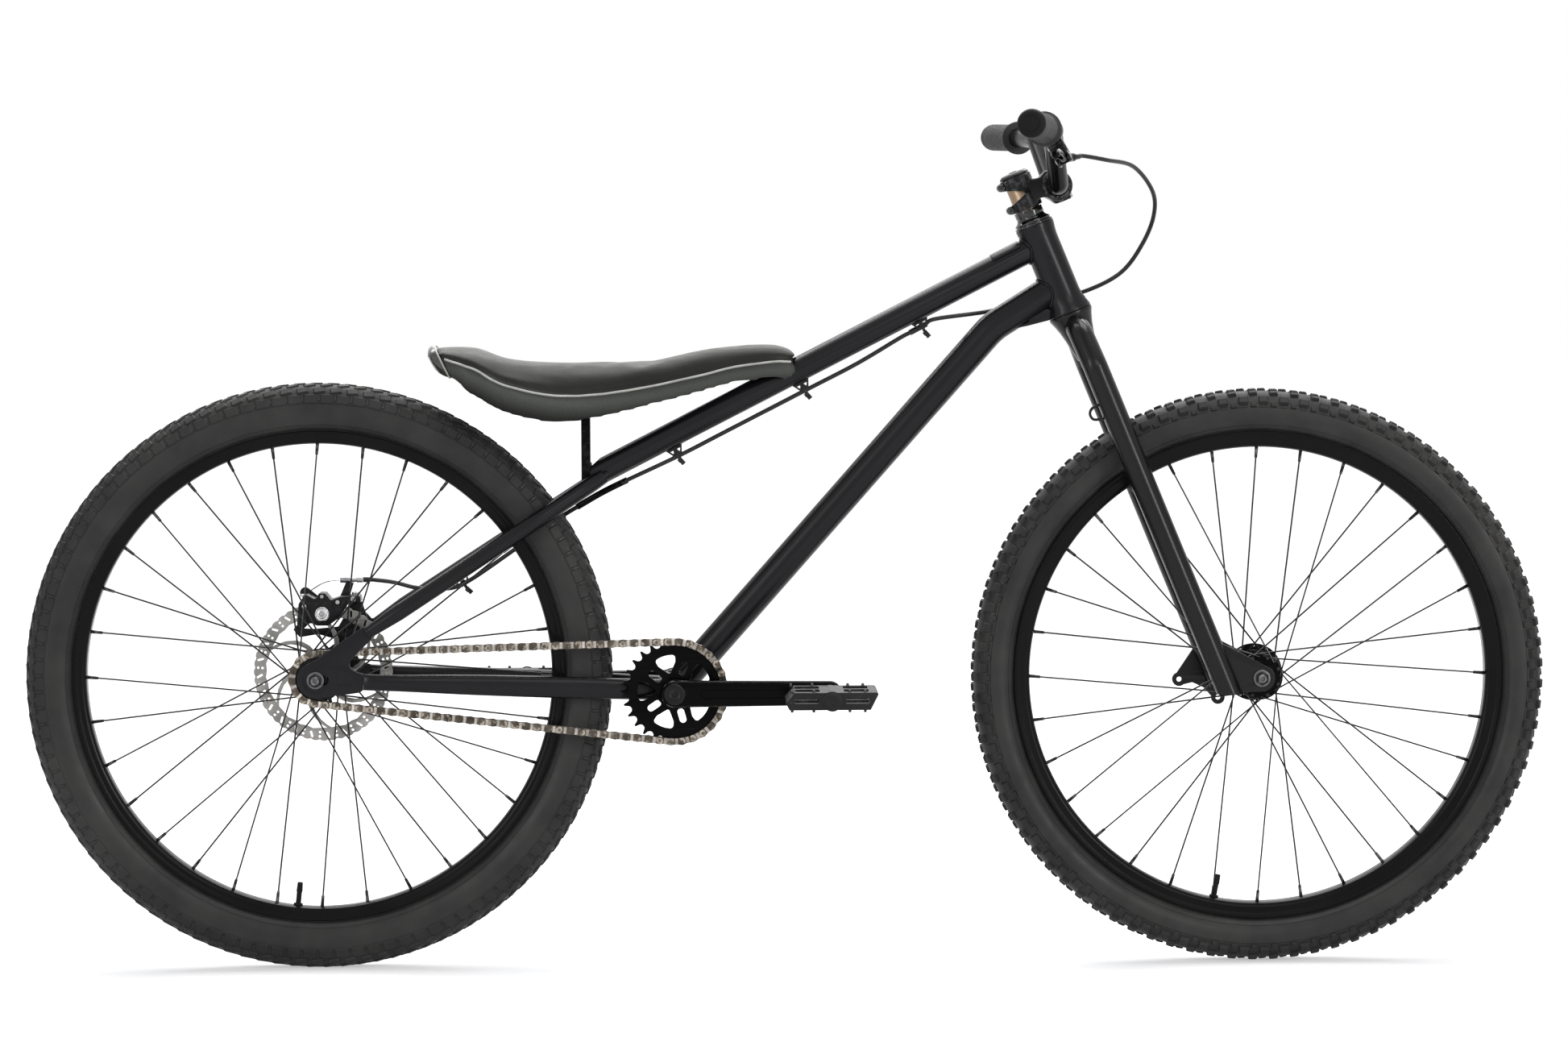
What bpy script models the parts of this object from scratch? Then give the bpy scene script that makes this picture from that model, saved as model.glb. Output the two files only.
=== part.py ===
"""Rigid dirt jump bicycle: steel frame and fork, two spoked wheels, half-link chain, rear disc brake.

Metres, +Z up, +X forward, the drive side at -Y. The origin is on the ground, midway along the bicycle.
"""
from math import asin, atan2, cos, pi, radians, sin, sqrt, tan

import bmesh
import bpy
from mathutils import Matrix, Vector

# Fits
GAP = 0.0003
RIGHT = -1
LEFT = 1

# Wheels
WHEELBASE = 1.0705
REAR_TYRE_HEIGHT = 0.0485
FRONT_TYRE_HEIGHT = 0.0422
TYRE_WIDTH = 0.057
TYRE_WALL = 0.0035
TREAD_HEIGHT = 0.003
RIM_DEPTH = 0.020
RIM_LIP_RADIUS = 0.2855
RIM_WIDTH = 0.032
SPOKES_PER_FLANGE = 16
SPOKE_RADIUS = 0.00105
SPOKE_SPLAY = 0.0018
FLANGE_THICKNESS = 0.0062
RIM_STEPS = 36

# Frame
BRACKET_HEIGHT = 0.3164
BRACKET_RADIUS = 0.020
BRACKET_WIDTH = 0.073
HEAD_ANGLE = radians(67.8)
HEAD_LENGTH = 0.1074
HEAD_RADIUS = 0.0205
HEAD_TOP_RADIUS = 0.0225
HEAD_BOTTOM_RADIUS = 0.0255
AXLE_TO_HEAD_TOP = 0.5721
FORK_RAKE = 0.0399
TOP_TUBE_RADIUS = 0.0143
TOP_TUBE_DROP = 0.0225
TOP_TUBE_SLOPE = radians(27.0)
TOP_TUBE_LENGTH = 0.5780
DOWN_TUBE_RADIUS = 0.01745
DOWN_TUBE_HEAD_SLOPE = radians(32.0)
DOWN_TUBE_DROP = 0.0738
DOWN_TUBE_BEND = 0.080
DOWN_TUBE_HEAD_RUN = 0.0900
SEAT_STAY_RADIUS = 0.0093
DROPOUT_SPACING = 0.135
DROPOUT_THICKNESS = 0.006

# Bearings and axles
STEERER_RADIUS = 0.0143
AXLE_RADIUS = 0.005
LOCKNUT_RADIUS = 0.009
LOCKNUT_LENGTH = 0.0045
NUT_RADIUS = 0.0100
NUT_LENGTH = 0.0075
FORK_SPACING = 0.101
FORK_LEG_RADIUS = 0.014

# Drive
CHAIN_PITCH = 0.0127
CHAIN_LINKS = 85
CHAINRING_TEETH = 28
COG_TEETH = 14
CHAINLINE = 0.047
SPROCKET_THICKNESS = 0.003
LINK_HALF_HEIGHT = 0.0043
LINK_HALF_WIDTH = 0.0050
LINK_INNER_WIDTH = 0.0038
LINK_SLOT = 0.0020
ROLLER_HALF = 0.0036
TOOTH_HALF = 0.0015
TOOTH_TIP_HALF = 0.0009
TOOTH_TIP_RISE = 0.0030
CRANK_LENGTH = 0.175
CRANK_INNER = 0.0705
CRANK_THICKNESS = 0.015
CRANK_BOSS_RADIUS = 0.0150
CRANK_TIP_RADIUS = 0.0135
CRANK_EDGE = 0.0022
SPINDLE_RADIUS = 0.012
PEDAL_SPINDLE_RADIUS = 0.0048
PEDAL_LENGTH = 0.103
PEDAL_WIDTH = 0.100
PEDAL_THICKNESS = 0.0195
PEDAL_BARREL_RADIUS = 0.0095

# Brake
ROTOR_RADIUS = 0.080
ROTOR_TRACK = 0.017
ROTOR_THICKNESS = 0.002
ROTOR_Y = 0.0558
HOUSING_RADIUS = 0.0025
WIRE_RADIUS = 0.0008

# Cockpit
STEM_HALF_HEIGHT = 0.0195
STEM_BASE = 0.0200
BAR_FORWARD = 0.040
BAR_RISE = 0.032
BAR_CLAMP_RADIUS = 0.0127
BAR_RADIUS = 0.0111
BAR_HALF_LENGTH = 0.366
GRIP_RADIUS = 0.0160
GRIP_LENGTH = 0.138
GRIP_FLANGE_RADIUS = 0.0195

# Seat
SEAT_WIDTH = 0.062
POST_DEPTH = 0.0103
POST_WIDTH = 0.028

# Places that follow from the sizes above
REAR_TYRE_RADIUS = RIM_LIP_RADIUS + REAR_TYRE_HEIGHT
FRONT_TYRE_RADIUS = RIM_LIP_RADIUS + FRONT_TYRE_HEIGHT
RIM_BED_RADIUS = RIM_LIP_RADIUS - RIM_DEPTH
LENGTH = WHEELBASE + REAR_TYRE_RADIUS + FRONT_TYRE_RADIUS
REAR_AXLE = Vector((REAR_TYRE_RADIUS - LENGTH / 2, 0, REAR_TYRE_RADIUS))
FRONT_AXLE = Vector((LENGTH / 2 - FRONT_TYRE_RADIUS, 0, FRONT_TYRE_RADIUS))
AXIS_UP = Vector((-cos(HEAD_ANGLE), 0, sin(HEAD_ANGLE)))
AXIS_FORWARD = Vector((sin(HEAD_ANGLE), 0, cos(HEAD_ANGLE)))
HEAD_TOP = FRONT_AXLE - AXIS_FORWARD * FORK_RAKE + AXIS_UP * AXLE_TO_HEAD_TOP
SIDEWAYS = Vector((0, 1, 0))

workshop = None


def clear_scene():
    for old in list(bpy.data.objects):
        bpy.data.objects.remove(old)


def new_collection(name):
    made = bpy.data.collections.new(name)
    bpy.context.scene.collection.children.link(made)
    return made


def bake(source, matrix=None):
    """Turn an object into a plain closed mesh in world space, with its loose caps welded."""
    bpy.context.view_layer.update()
    graph = bpy.context.evaluated_depsgraph_get()
    mesh = bpy.data.meshes.new_from_object(source.evaluated_get(graph))
    if matrix is not None:
        mesh.transform(matrix)
    name = source.name
    bpy.data.objects.remove(source)
    shape = bmesh.new()
    shape.from_mesh(mesh)
    bmesh.ops.remove_doubles(shape, verts=shape.verts, dist=1e-6)
    bmesh.ops.recalc_face_normals(shape, faces=shape.faces)
    shape.to_mesh(mesh)
    shape.free()
    baked = bpy.data.objects.new(name, mesh)
    workshop.objects.link(baked)
    return baked


def from_bmesh(name, shape, matrix=None):
    bmesh.ops.recalc_face_normals(shape, faces=shape.faces)
    mesh = bpy.data.meshes.new(name)
    shape.to_mesh(mesh)
    shape.free()
    if matrix is not None:
        mesh.transform(matrix)
    made = bpy.data.objects.new(name, mesh)
    workshop.objects.link(made)
    return made


def combine(body, tool, operation):
    modifier = body.modifiers.new("Combine", "BOOLEAN")
    modifier.operation = operation
    modifier.solver = "EXACT"
    modifier.object = tool
    baked = bake(body)
    bpy.data.objects.remove(tool)
    return baked


def fuse(body, *pieces):
    for piece in pieces:
        body = combine(body, piece, "UNION")
    return body


def cut(body, *cutters):
    for cutter in cutters:
        body = combine(body, cutter, "DIFFERENCE")
    return body


def facing(origin, direction):
    """A frame at the origin whose Z runs along the direction."""
    return Matrix.Translation(origin) @ direction.to_track_quat("Z", "Y").to_matrix().to_4x4()


def rod(name, start, end, radius, sides, end_radius=None):
    shape = bmesh.new()
    along = end - start
    bmesh.ops.create_cone(shape, cap_ends=True, segments=sides, radius1=radius,
                          radius2=radius if end_radius is None else end_radius, depth=along.length)
    return from_bmesh(name, shape, facing((start + end) / 2, along))


def block(name, centre, size, turn=None):
    shape = bmesh.new()
    bmesh.ops.create_cube(shape, size=1.0)
    matrix = Matrix.Translation(centre) @ (turn or Matrix()) @ Matrix.Diagonal((*size, 1.0))
    return from_bmesh(name, shape, matrix)


def area(outline):
    total = 0.0
    for index, (x, y) in enumerate(outline):
        next_x, next_y = outline[(index + 1) % len(outline)]
        total += x * next_y - next_x * y
    return total / 2


def revolve(name, profile, origin, axis, steps, closed=True):
    """Turn a profile of (radius, height) about the axis; an open one starts and ends on it."""
    outline = list(profile)
    if area(outline) > 0:
        outline.reverse()
    mesh = bpy.data.meshes.new(name)
    edges = [(index, index + 1) for index in range(len(outline) - 1)]
    if closed:
        edges.append((len(outline) - 1, 0))
    mesh.from_pydata([(radius, 0, height) for radius, height in outline], edges, [])
    turned = bpy.data.objects.new(name, mesh)
    workshop.objects.link(turned)
    screw = turned.modifiers.new("Screw", "SCREW")
    screw.steps = steps
    screw.render_steps = steps
    screw.use_merge_vertices = True
    screw.merge_threshold = 1e-6
    return bake(turned, facing(origin, axis))


def plate(name, loops, thickness, matrix):
    """A flat piece: closed loops in the frame's own X and Y, the later ones holes in the first."""
    data = bpy.data.curves.new(name, "CURVE")
    data.dimensions = "2D"
    data.fill_mode = "BOTH"
    data.extrude = thickness / 2
    for loop in loops:
        spline = data.splines.new("POLY")
        spline.points.add(len(loop) - 1)
        for point, (x, y) in zip(spline.points, loop):
            point.co = (x, y, 0, 1)
        spline.use_cyclic_u = True
    flat = bpy.data.objects.new(name, data)
    workshop.objects.link(flat)
    return bake(flat, matrix)


def smooth(points, spans=4):
    """A Catmull-Rom curve through the points."""
    padded = [points[0] * 2 - points[1], *points, points[-1] * 2 - points[-2]]
    curve = []
    for index in range(1, len(padded) - 2):
        before, start, end, after = padded[index - 1:index + 3]
        for step in range(spans):
            t = step / spans
            curve.append((start * 2 + (end - before) * t
                          + (before * 2 - start * 5 + end * 4 - after) * t ** 2
                          + (start * 3 - before - end * 3 + after) * t ** 3) / 2)
    curve.append(points[-1].copy())
    return curve


def tube(name, points, radius, resolution=3, radii=None):
    """A round bar along the points; radii scale it point by point."""
    data = bpy.data.curves.new(name, "CURVE")
    data.dimensions = "3D"
    data.bevel_depth = radius
    data.bevel_resolution = resolution
    data.use_fill_caps = True
    spline = data.splines.new("POLY")
    spline.points.add(len(points) - 1)
    for index, (point, place) in enumerate(zip(spline.points, points)):
        point.co = (*place, 1)
        point.radius = radii[index] if radii else 1.0
    made = bpy.data.objects.new(name, data)
    workshop.objects.link(made)
    return bake(made)


def loft(name, rings):
    """A closed skin over rings of equally many points, capped at both ends."""
    shape = bmesh.new()
    rows = [[shape.verts.new(place) for place in ring] for ring in rings]
    count = len(rows[0])
    for row, after in zip(rows, rows[1:]):
        for index in range(count):
            follow = (index + 1) % count
            shape.faces.new((row[index], row[follow], after[follow], after[index]))
    shape.faces.new(rows[0])
    shape.faces.new(rows[-1])
    return from_bmesh(name, shape)


def oval(centre, across, upright, half_width, half_height, sides):
    return [centre + across * cos(2 * pi * side / sides) * half_width
            + upright * sin(2 * pi * side / sides) * half_height for side in range(sides)]


def oval_tube(name, stations, across=None, sides=12):
    """A bar whose section changes: stations of (centre, half width, half height), its width along one axis."""
    axis = across or SIDEWAYS
    rings = []
    for index, (centre, half_width, half_height) in enumerate(stations):
        before = stations[max(index - 1, 0)][0]
        after = stations[min(index + 1, len(stations) - 1)][0]
        along = (after - before).normalized()
        wide = (axis - along * axis.dot(along)).normalized()
        rings.append(oval(centre, wide, wide.cross(along), half_width, half_height, sides))
    return loft(name, rings)


def bent(points, radius, steps=4):
    """A path through corners in space, each turned on an arc of the radius."""
    path = [points[0]]
    for before, here, after in zip(points, points[1:], points[2:]):
        back, onward = (before - here).normalized(), (after - here).normalized()
        half = back.angle(onward) / 2
        centre = here + (back + onward).normalized() * radius / sin(half)
        first = here + back * radius / tan(half) - centre
        last = here + onward * radius / tan(half) - centre
        for step in range(steps + 1):
            path.append(centre + (first * (steps - step) + last * step).normalized() * radius)
    path.append(points[-1])
    return path


def arc(centre, radius, start, end, steps):
    return [(centre[0] + radius * cos(start + (end - start) * step / steps),
             centre[1] + radius * sin(start + (end - start) * step / steps)) for step in range(steps + 1)]


def circle(centre, radius, steps):
    return arc(centre, radius, 0, 2 * pi, steps)[:-1]


def rounded(corners, steps=3):
    """A closed outline through (x, y, radius) corners, each rounded by an arc."""
    outline = []
    for index, (x, y, radius) in enumerate(corners):
        here = Vector((x, y))
        if not radius:
            outline.append((x, y))
            continue
        before = (Vector(corners[index - 1][:2]) - here).normalized()
        after = (Vector(corners[(index + 1) % len(corners)][:2]) - here).normalized()
        half = before.angle(after) / 2
        centre = here + (before + after).normalized() * radius / sin(half)
        first = here + before * radius / tan(half) - centre
        last = here + after * radius / tan(half) - centre
        for step in range(steps + 1):
            spoke = (first * (steps - step) + last * step).normalized() * radius
            outline.append(tuple(centre + spoke))
    return outline


def slot_loop(centre, angle, length, width, steps=4):
    """A slot with round ends, its length along the angle."""
    reach = (length - width) / 2
    ends = []
    for turn in (0, pi):
        middle = (centre[0] + reach * cos(angle + turn), centre[1] + reach * sin(angle + turn))
        ends += arc(middle, width / 2, angle + turn - pi / 2, angle + turn + pi / 2, steps)
    return ends


def belt(first, first_radius, second, second_radius, steps=8):
    """The outline round two circles and their outer tangents."""
    span = Vector(second) - Vector(first)
    heading = atan2(span.y, span.x)
    lean = asin((first_radius - second_radius) / span.length)
    return (arc(first, first_radius, heading + pi / 2 - lean, heading + 3 * pi / 2 + lean, steps)
            + arc(second, second_radius, heading - pi / 2 + lean, heading + pi / 2 - lean, steps))


def side_plane(y=0.0, origin=None):
    """The frame of a plate seen from the side: its X forward, its Y up, its middle at y."""
    place = Vector((0, y, 0)) + (origin or Vector())
    return Matrix.Translation(place) @ Matrix.Rotation(pi / 2, 4, "X")


def steer(forward, y, up):
    """A place by the steering axis, measured from the top of the head tube."""
    return HEAD_TOP + AXIS_FORWARD * forward + SIDEWAYS * y + AXIS_UP * up


finishes = {}


def finish(name, colour, roughness, metallic=0.0):
    material = bpy.data.materials.new(name)
    material.use_nodes = True
    shader = material.node_tree.nodes["Principled BSDF"]
    shader.inputs["Base Color"].default_value = (*colour, 1.0)
    shader.inputs["Roughness"].default_value = roughness
    shader.inputs["Metallic"].default_value = metallic
    finishes[name] = material


bicycle = None


def keep(made, name, finish_name, pivot=None):
    """Name a finished piece, give it its own material and hang it on its joint's pivot."""
    made.name = name
    made.data.name = name
    material = finishes[finish_name].copy()
    material.name = name
    made.data.materials.clear()
    made.data.materials.append(material)
    made.data.shade_smooth()
    made.data.set_sharp_from_angle(angle=radians(35))
    workshop.objects.unlink(made)
    bicycle.objects.link(made)
    if pivot is not None:
        made.parent = pivot
        made.matrix_parent_inverse = pivot.matrix_world.inverted()
    return made


def pivot_empty(name, place, parent=None):
    empty = bpy.data.objects.new(name, None)
    empty.empty_display_size = 0.03
    bicycle.objects.link(empty)
    if parent is not None:
        empty.parent = parent
        empty.location = place - parent.matrix_world.translation
    else:
        empty.location = place
    bpy.context.view_layer.update()
    return empty


# Wheels

BEAD_RADIUS = RIM_LIP_RADIUS - 0.0052
BEAD_HALF = RIM_WIDTH / 2 - 0.0035


def tyre(name, axle, radius):
    """A hollow casing open at the beads, round in section, with a raised tread."""
    half = TYRE_WIDTH / 2
    middle = radius - half
    shoulder = radius - TREAD_HEIGHT
    outer = [(BEAD_RADIUS, BEAD_HALF), (RIM_LIP_RADIUS + 0.0012, BEAD_HALF + 0.0006),
             (middle - half * 0.10, half * 0.995), (shoulder - half * 0.12, half * 0.70), (radius, half * 0.16)]
    inner_half = half - TYRE_WALL
    inner = [(radius - TREAD_HEIGHT - TYRE_WALL, inner_half * 0.45), (middle, inner_half),
             (BEAD_RADIUS, BEAD_HALF - TYRE_WALL)]
    profile = outer + [(r, -y) for r, y in reversed(outer)]
    profile += [(r, -y) for r, y in reversed(inner)] + inner
    return revolve(name, profile, axle, SIDEWAYS, RIM_STEPS)


def rim(name, axle):
    """A box-section rim: two lips round a shallow well, and a narrower spoke bed."""
    half = RIM_WIDTH / 2
    inner = BEAD_HALF + 0.0008
    well = BEAD_RADIUS - 0.0024
    side = [(RIM_LIP_RADIUS, half), (RIM_BED_RADIUS + 0.0030, half - 0.0005), (RIM_BED_RADIUS, half * 0.60)]
    profile = side + [(r, -y) for r, y in reversed(side)]
    profile += [(RIM_LIP_RADIUS, -inner), (well, -inner), (well, inner), (RIM_LIP_RADIUS, inner)]
    return revolve(name, profile, axle, SIDEWAYS, RIM_STEPS)


def laced_hub(name, axle, profile, flanges, hole_radius):
    """A hub shell with its spokes laced three-cross, leading and trailing ones on either face of a flange."""
    shell = revolve(name, profile, axle, SIDEWAYS, 14)
    step = 2 * pi / SPOKES_PER_FLANGE
    reach = RIM_BED_RADIUS * cos(pi / RIM_STEPS) - 2 * GAP
    spokes = bmesh.new()
    for flange, flange_y in enumerate(flanges):
        side = 1 if flange_y > 0 else -1
        for number in range(SPOKES_PER_FLANGE):
            lead = 1 if number % 2 == 0 else -1
            start = step * (number + flange / 2)
            end = start + lead * step * 3
            inner = axle + Vector((hole_radius * cos(start), flange_y + lead * side * SPOKE_SPLAY,
                                   hole_radius * sin(start)))
            outer = axle + Vector((reach * cos(end), side * SPOKE_SPLAY, reach * sin(end)))
            along = outer - inner
            bmesh.ops.create_cone(spokes, cap_ends=True, segments=3, radius1=SPOKE_RADIUS,
                                  radius2=SPOKE_RADIUS, depth=along.length,
                                  matrix=facing((inner + outer) / 2, along))
    return fuse(shell, from_bmesh("spokes", spokes))


def hub_profile(bore, stations):
    """A hub's half section from its bore outwards: stations of (y, radius)."""
    return [(bore, stations[0][0]), *((radius, y) for y, radius in stations), (bore, stations[-1][0])]


def flange_stations(y, radius, before, after):
    half = FLANGE_THICKNESS / 2
    return [(y - half, before), (y - half, radius), (y + half, radius), (y + half, after)]


REAR_FLANGES = (-0.0225, 0.0325)
FRONT_FLANGES = (-0.0310, 0.0235)
REAR_FLANGE_RADIUS = 0.0285
FRONT_FLANGE_RADIUS = 0.0265
HOLE_INSET = 0.0040
HUB_BORE = AXLE_RADIUS + 3 * GAP
ROTOR_SEAT_RADIUS = 0.0265
ROTOR_FACE = ROTOR_Y - ROTOR_THICKNESS / 2
DISC_FLANGE_RADIUS = 0.033


def rear_hub():
    right, left = REAR_FLANGES
    stations = [(right - 0.0065, 0.0150)]
    stations += flange_stations(right, REAR_FLANGE_RADIUS, 0.0160, 0.0150)
    stations += [((right + left) / 2, 0.0130)]
    stations += flange_stations(left, REAR_FLANGE_RADIUS, 0.0150, 0.0170)
    stations += [(ROTOR_FACE - 0.0040, 0.0175), (ROTOR_FACE - 0.0030, ROTOR_SEAT_RADIUS),
                 (ROTOR_FACE - GAP, ROTOR_SEAT_RADIUS), (ROTOR_FACE - GAP, 0.0150),
                 (ROTOR_Y + 0.0040, 0.0150), (ROTOR_Y + 0.0052, 0.0095)]
    return laced_hub("rear_hub", REAR_AXLE, hub_profile(HUB_BORE, stations), REAR_FLANGES,
                     REAR_FLANGE_RADIUS - HOLE_INSET)


def front_hub():
    right, left = FRONT_FLANGES
    end = FORK_SPACING / 2 - LOCKNUT_LENGTH - 2 * GAP
    stations = [(-end, 0.0090), (right - 0.0070, 0.0150)]
    stations += flange_stations(right, FRONT_FLANGE_RADIUS, 0.0160, 0.0150)
    stations += [((right + left) / 2, 0.0125)]
    stations += flange_stations(left, FRONT_FLANGE_RADIUS, 0.0150, 0.0190)
    stations += [(left + 0.0100, 0.0200), (left + 0.0110, DISC_FLANGE_RADIUS),
                 (left + 0.0145, DISC_FLANGE_RADIUS), (left + 0.0145, 0.0160), (end, 0.0090)]
    return laced_hub("front_hub", FRONT_AXLE, hub_profile(HUB_BORE, stations), FRONT_FLANGES,
                     FRONT_FLANGE_RADIUS - HOLE_INSET)


def axle_bar(name, axle, spacing, thickness):
    """An axle with its two locknuts, which bear on the inner faces of the dropouts."""
    face = spacing / 2 - GAP
    tip = spacing / 2 + thickness + NUT_LENGTH + 0.0020
    half = [(0, tip), (AXLE_RADIUS, tip), (AXLE_RADIUS, face), (LOCKNUT_RADIUS, face),
            (LOCKNUT_RADIUS, face - LOCKNUT_LENGTH), (AXLE_RADIUS, face - LOCKNUT_LENGTH)]
    profile = half + [(radius, -y) for radius, y in reversed(half)]
    return revolve(name, profile, axle, SIDEWAYS, 10, closed=False)


def axle_nut(name, axle, side, spacing, thickness):
    """A flanged hexagon nut against the outer face of a dropout, standing clear of the threads."""
    seat = spacing / 2 + thickness + GAP
    bore = AXLE_RADIUS + GAP
    washer = revolve(name, [(bore, seat), (NUT_RADIUS, seat), (NUT_RADIUS, seat + 0.0022), (bore, seat + 0.0026)],
                     axle, SIDEWAYS * side, 12)
    corner = (bore + GAP) / cos(pi / 6)
    hexagon = revolve("hexagon", [(corner, seat + 0.0010), (0.0084, seat + 0.0010), (0.0084, seat + NUT_LENGTH),
                                  (corner, seat + NUT_LENGTH)], axle, SIDEWAYS * side, 6)
    return fuse(washer, hexagon)


ROTOR_ARMS = 6


def brake_rotor():
    """A stamped rotor: a drilled braking track on bent arms round an open centre."""
    scallops = 18
    edge = []
    for index in range(scallops * 2):
        radius = ROTOR_RADIUS - (0.0012 if index % 2 else 0)
        angle = pi * index / scallops
        edge.append((radius * cos(angle), radius * sin(angle)))
    loops = [edge, circle((0, 0), 0.0178, 16)]
    step = 2 * pi / ROTOR_ARMS
    track = ROTOR_RADIUS - ROTOR_TRACK
    for arm in range(ROTOR_ARMS):
        turn = step * arm
        window = arc((0, 0), track, turn + 0.13, turn + step - 0.13, 4)
        window += arc((0, 0), 0.0285, turn + step - 0.02, turn + 0.34, 2)
        loops.append(window)
        for place in range(2):
            angle = turn + step * (place + 0.5) / 2
            middle = ((ROTOR_RADIUS - ROTOR_TRACK / 2) * cos(angle), (ROTOR_RADIUS - ROTOR_TRACK / 2) * sin(angle))
            loops.append(slot_loop(middle, angle + 0.5, 0.0105, 0.0042, 1))
    return plate("brake_rotor", loops, ROTOR_THICKNESS, side_plane(ROTOR_Y, REAR_AXLE))


# Drive train

RING_RADIUS = CHAIN_PITCH / (2 * sin(pi / CHAINRING_TEETH))
COG_RADIUS = CHAIN_PITCH / (2 * sin(pi / COG_TEETH))


def links_round(distance):
    """How many links a tight chain takes at this distance between the two sprockets."""
    lean = asin((RING_RADIUS - COG_RADIUS) / distance)
    straight = 2 * sqrt(distance ** 2 - (RING_RADIUS - COG_RADIUS) ** 2) / CHAIN_PITCH
    return straight + (CHAINRING_TEETH * (pi + 2 * lean) + COG_TEETH * (pi - 2 * lean)) / (2 * pi)


def sprocket_distance():
    """The distance that the whole number of links sets."""
    near, far = CHAIN_PITCH * CHAIN_LINKS / 8, CHAIN_PITCH * CHAIN_LINKS
    for _ in range(60):
        middle = (near + far) / 2
        if links_round(middle) < CHAIN_LINKS:
            near = middle
        else:
            far = middle
    return (near + far) / 2


SPROCKET_DISTANCE = sprocket_distance()
BRACKET_DROP = REAR_AXLE.z - BRACKET_HEIGHT
BRACKET = REAR_AXLE + Vector((sqrt(SPROCKET_DISTANCE ** 2 - BRACKET_DROP ** 2), 0, -BRACKET_DROP))
BELT_LEAN = asin((RING_RADIUS - COG_RADIUS) / SPROCKET_DISTANCE)
BELT_FORWARD = (BRACKET - REAR_AXLE).normalized()
BELT_UP = Vector((-BELT_FORWARD.z, 0, BELT_FORWARD.x))


def belt_direction(angle):
    """A direction in the plane of the chain, 0 forward along it and a quarter turn up."""
    return BELT_FORWARD * cos(angle) + BELT_UP * sin(angle)


def chain_pin(number):
    """A pin's place: round the chainring, back below, round the cog and forward above."""
    ring_links = CHAINRING_TEETH * (pi + 2 * BELT_LEAN) / (2 * pi)
    run_links = sqrt(SPROCKET_DISTANCE ** 2 - (RING_RADIUS - COG_RADIUS) ** 2) / CHAIN_PITCH
    cog_links = COG_TEETH * (pi - 2 * BELT_LEAN) / (2 * pi)
    upper = pi / 2 + BELT_LEAN
    if number < ring_links:
        return BRACKET + belt_direction(upper - 2 * pi * number / CHAINRING_TEETH) * RING_RADIUS
    number -= ring_links
    if number < run_links:
        leave = BRACKET + belt_direction(-upper) * RING_RADIUS
        return leave.lerp(REAR_AXLE + belt_direction(-upper) * COG_RADIUS, number / run_links)
    number -= run_links
    if number < cog_links:
        return REAR_AXLE + belt_direction(-upper - 2 * pi * number / COG_TEETH) * COG_RADIUS
    number -= cog_links
    leave = REAR_AXLE + belt_direction(upper) * COG_RADIUS
    return leave.lerp(BRACKET + belt_direction(upper) * RING_RADIUS, number / run_links)


CHAIN_START = 0.5
PINS = [chain_pin((CHAIN_START + number) % CHAIN_LINKS) for number in range(CHAIN_LINKS)]


def chain():
    """Half links, each wide round its own pin and narrow where the next one takes it, as one closed loop."""
    line = SIDEWAYS * -CHAINLINE
    shape = bmesh.new()
    starts, ends = [], []
    for number, pin in enumerate(PINS):
        along = (PINS[(number + 1) % CHAIN_LINKS] - PINS[number - 1]).normalized()
        outward = Vector((-along.z, 0, along.x))

        def row(distance, height, widths):
            return [shape.verts.new(pin + line + along * distance + outward * height + SIDEWAYS * y)
                    for y in widths]

        inner_row = (-LINK_INNER_WIDTH, -LINK_SLOT, LINK_SLOT, LINK_INNER_WIDTH)
        outer_row = (-LINK_HALF_WIDTH, -LINK_SLOT, LINK_SLOT, LINK_HALF_WIDTH)
        starts.append([row(-ROLLER_HALF, side * LINK_HALF_HEIGHT, inner_row) for side in (1, -1)])
        ends.append([row(ROLLER_HALF, side * LINK_HALF_HEIGHT, outer_row) for side in (1, -1)])
    for number in range(CHAIN_LINKS):
        start, end = starts[number], ends[number]
        after = starts[(number + 1) % CHAIN_LINKS]
        for level in (0, 1):
            shape.faces.new((*start[level], *reversed(end[level])))
        for edge in (0, -1):
            shape.faces.new((start[0][edge], end[0][edge], end[1][edge], start[1][edge]))
        for wall in (start, end):
            shape.faces.new((wall[0][1], wall[0][2], wall[1][2], wall[1][1]))
        for first, second in ((0, 1), (2, 3)):
            for level in (0, 1):
                shape.faces.new((end[level][first], end[level][second], after[level][second], after[level][first]))
            for edge in (first, second):
                shape.faces.new((end[0][edge], end[1][edge], after[1][edge], after[0][edge]))
    return from_bmesh("chain", shape)


def toothed_edge(teeth, radius, centre):
    """A sprocket's outline, its gaps phased to the chain's pins and its teeth in the chain's slots."""
    pin = min(PINS, key=lambda place: abs((place - centre).length - radius))
    first = atan2(pin.z - centre.z, pin.x - centre.x)
    root = radius * cos(pi / teeth) - LINK_HALF_HEIGHT - GAP
    pitch = 2 * pi / teeth
    outline = []
    for tooth in range(teeth):
        middle = first + pitch * (tooth + 0.5)
        for offset, reach in ((-TOOTH_HALF, root), (-TOOTH_TIP_HALF, radius + TOOTH_TIP_RISE),
                              (TOOTH_TIP_HALF, radius + TOOTH_TIP_RISE), (TOOTH_HALF, root)):
            angle = middle + asin(offset / reach)
            outline.append((reach * cos(angle), reach * sin(angle)))
    return outline


RING_SLOTS = 5


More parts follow.
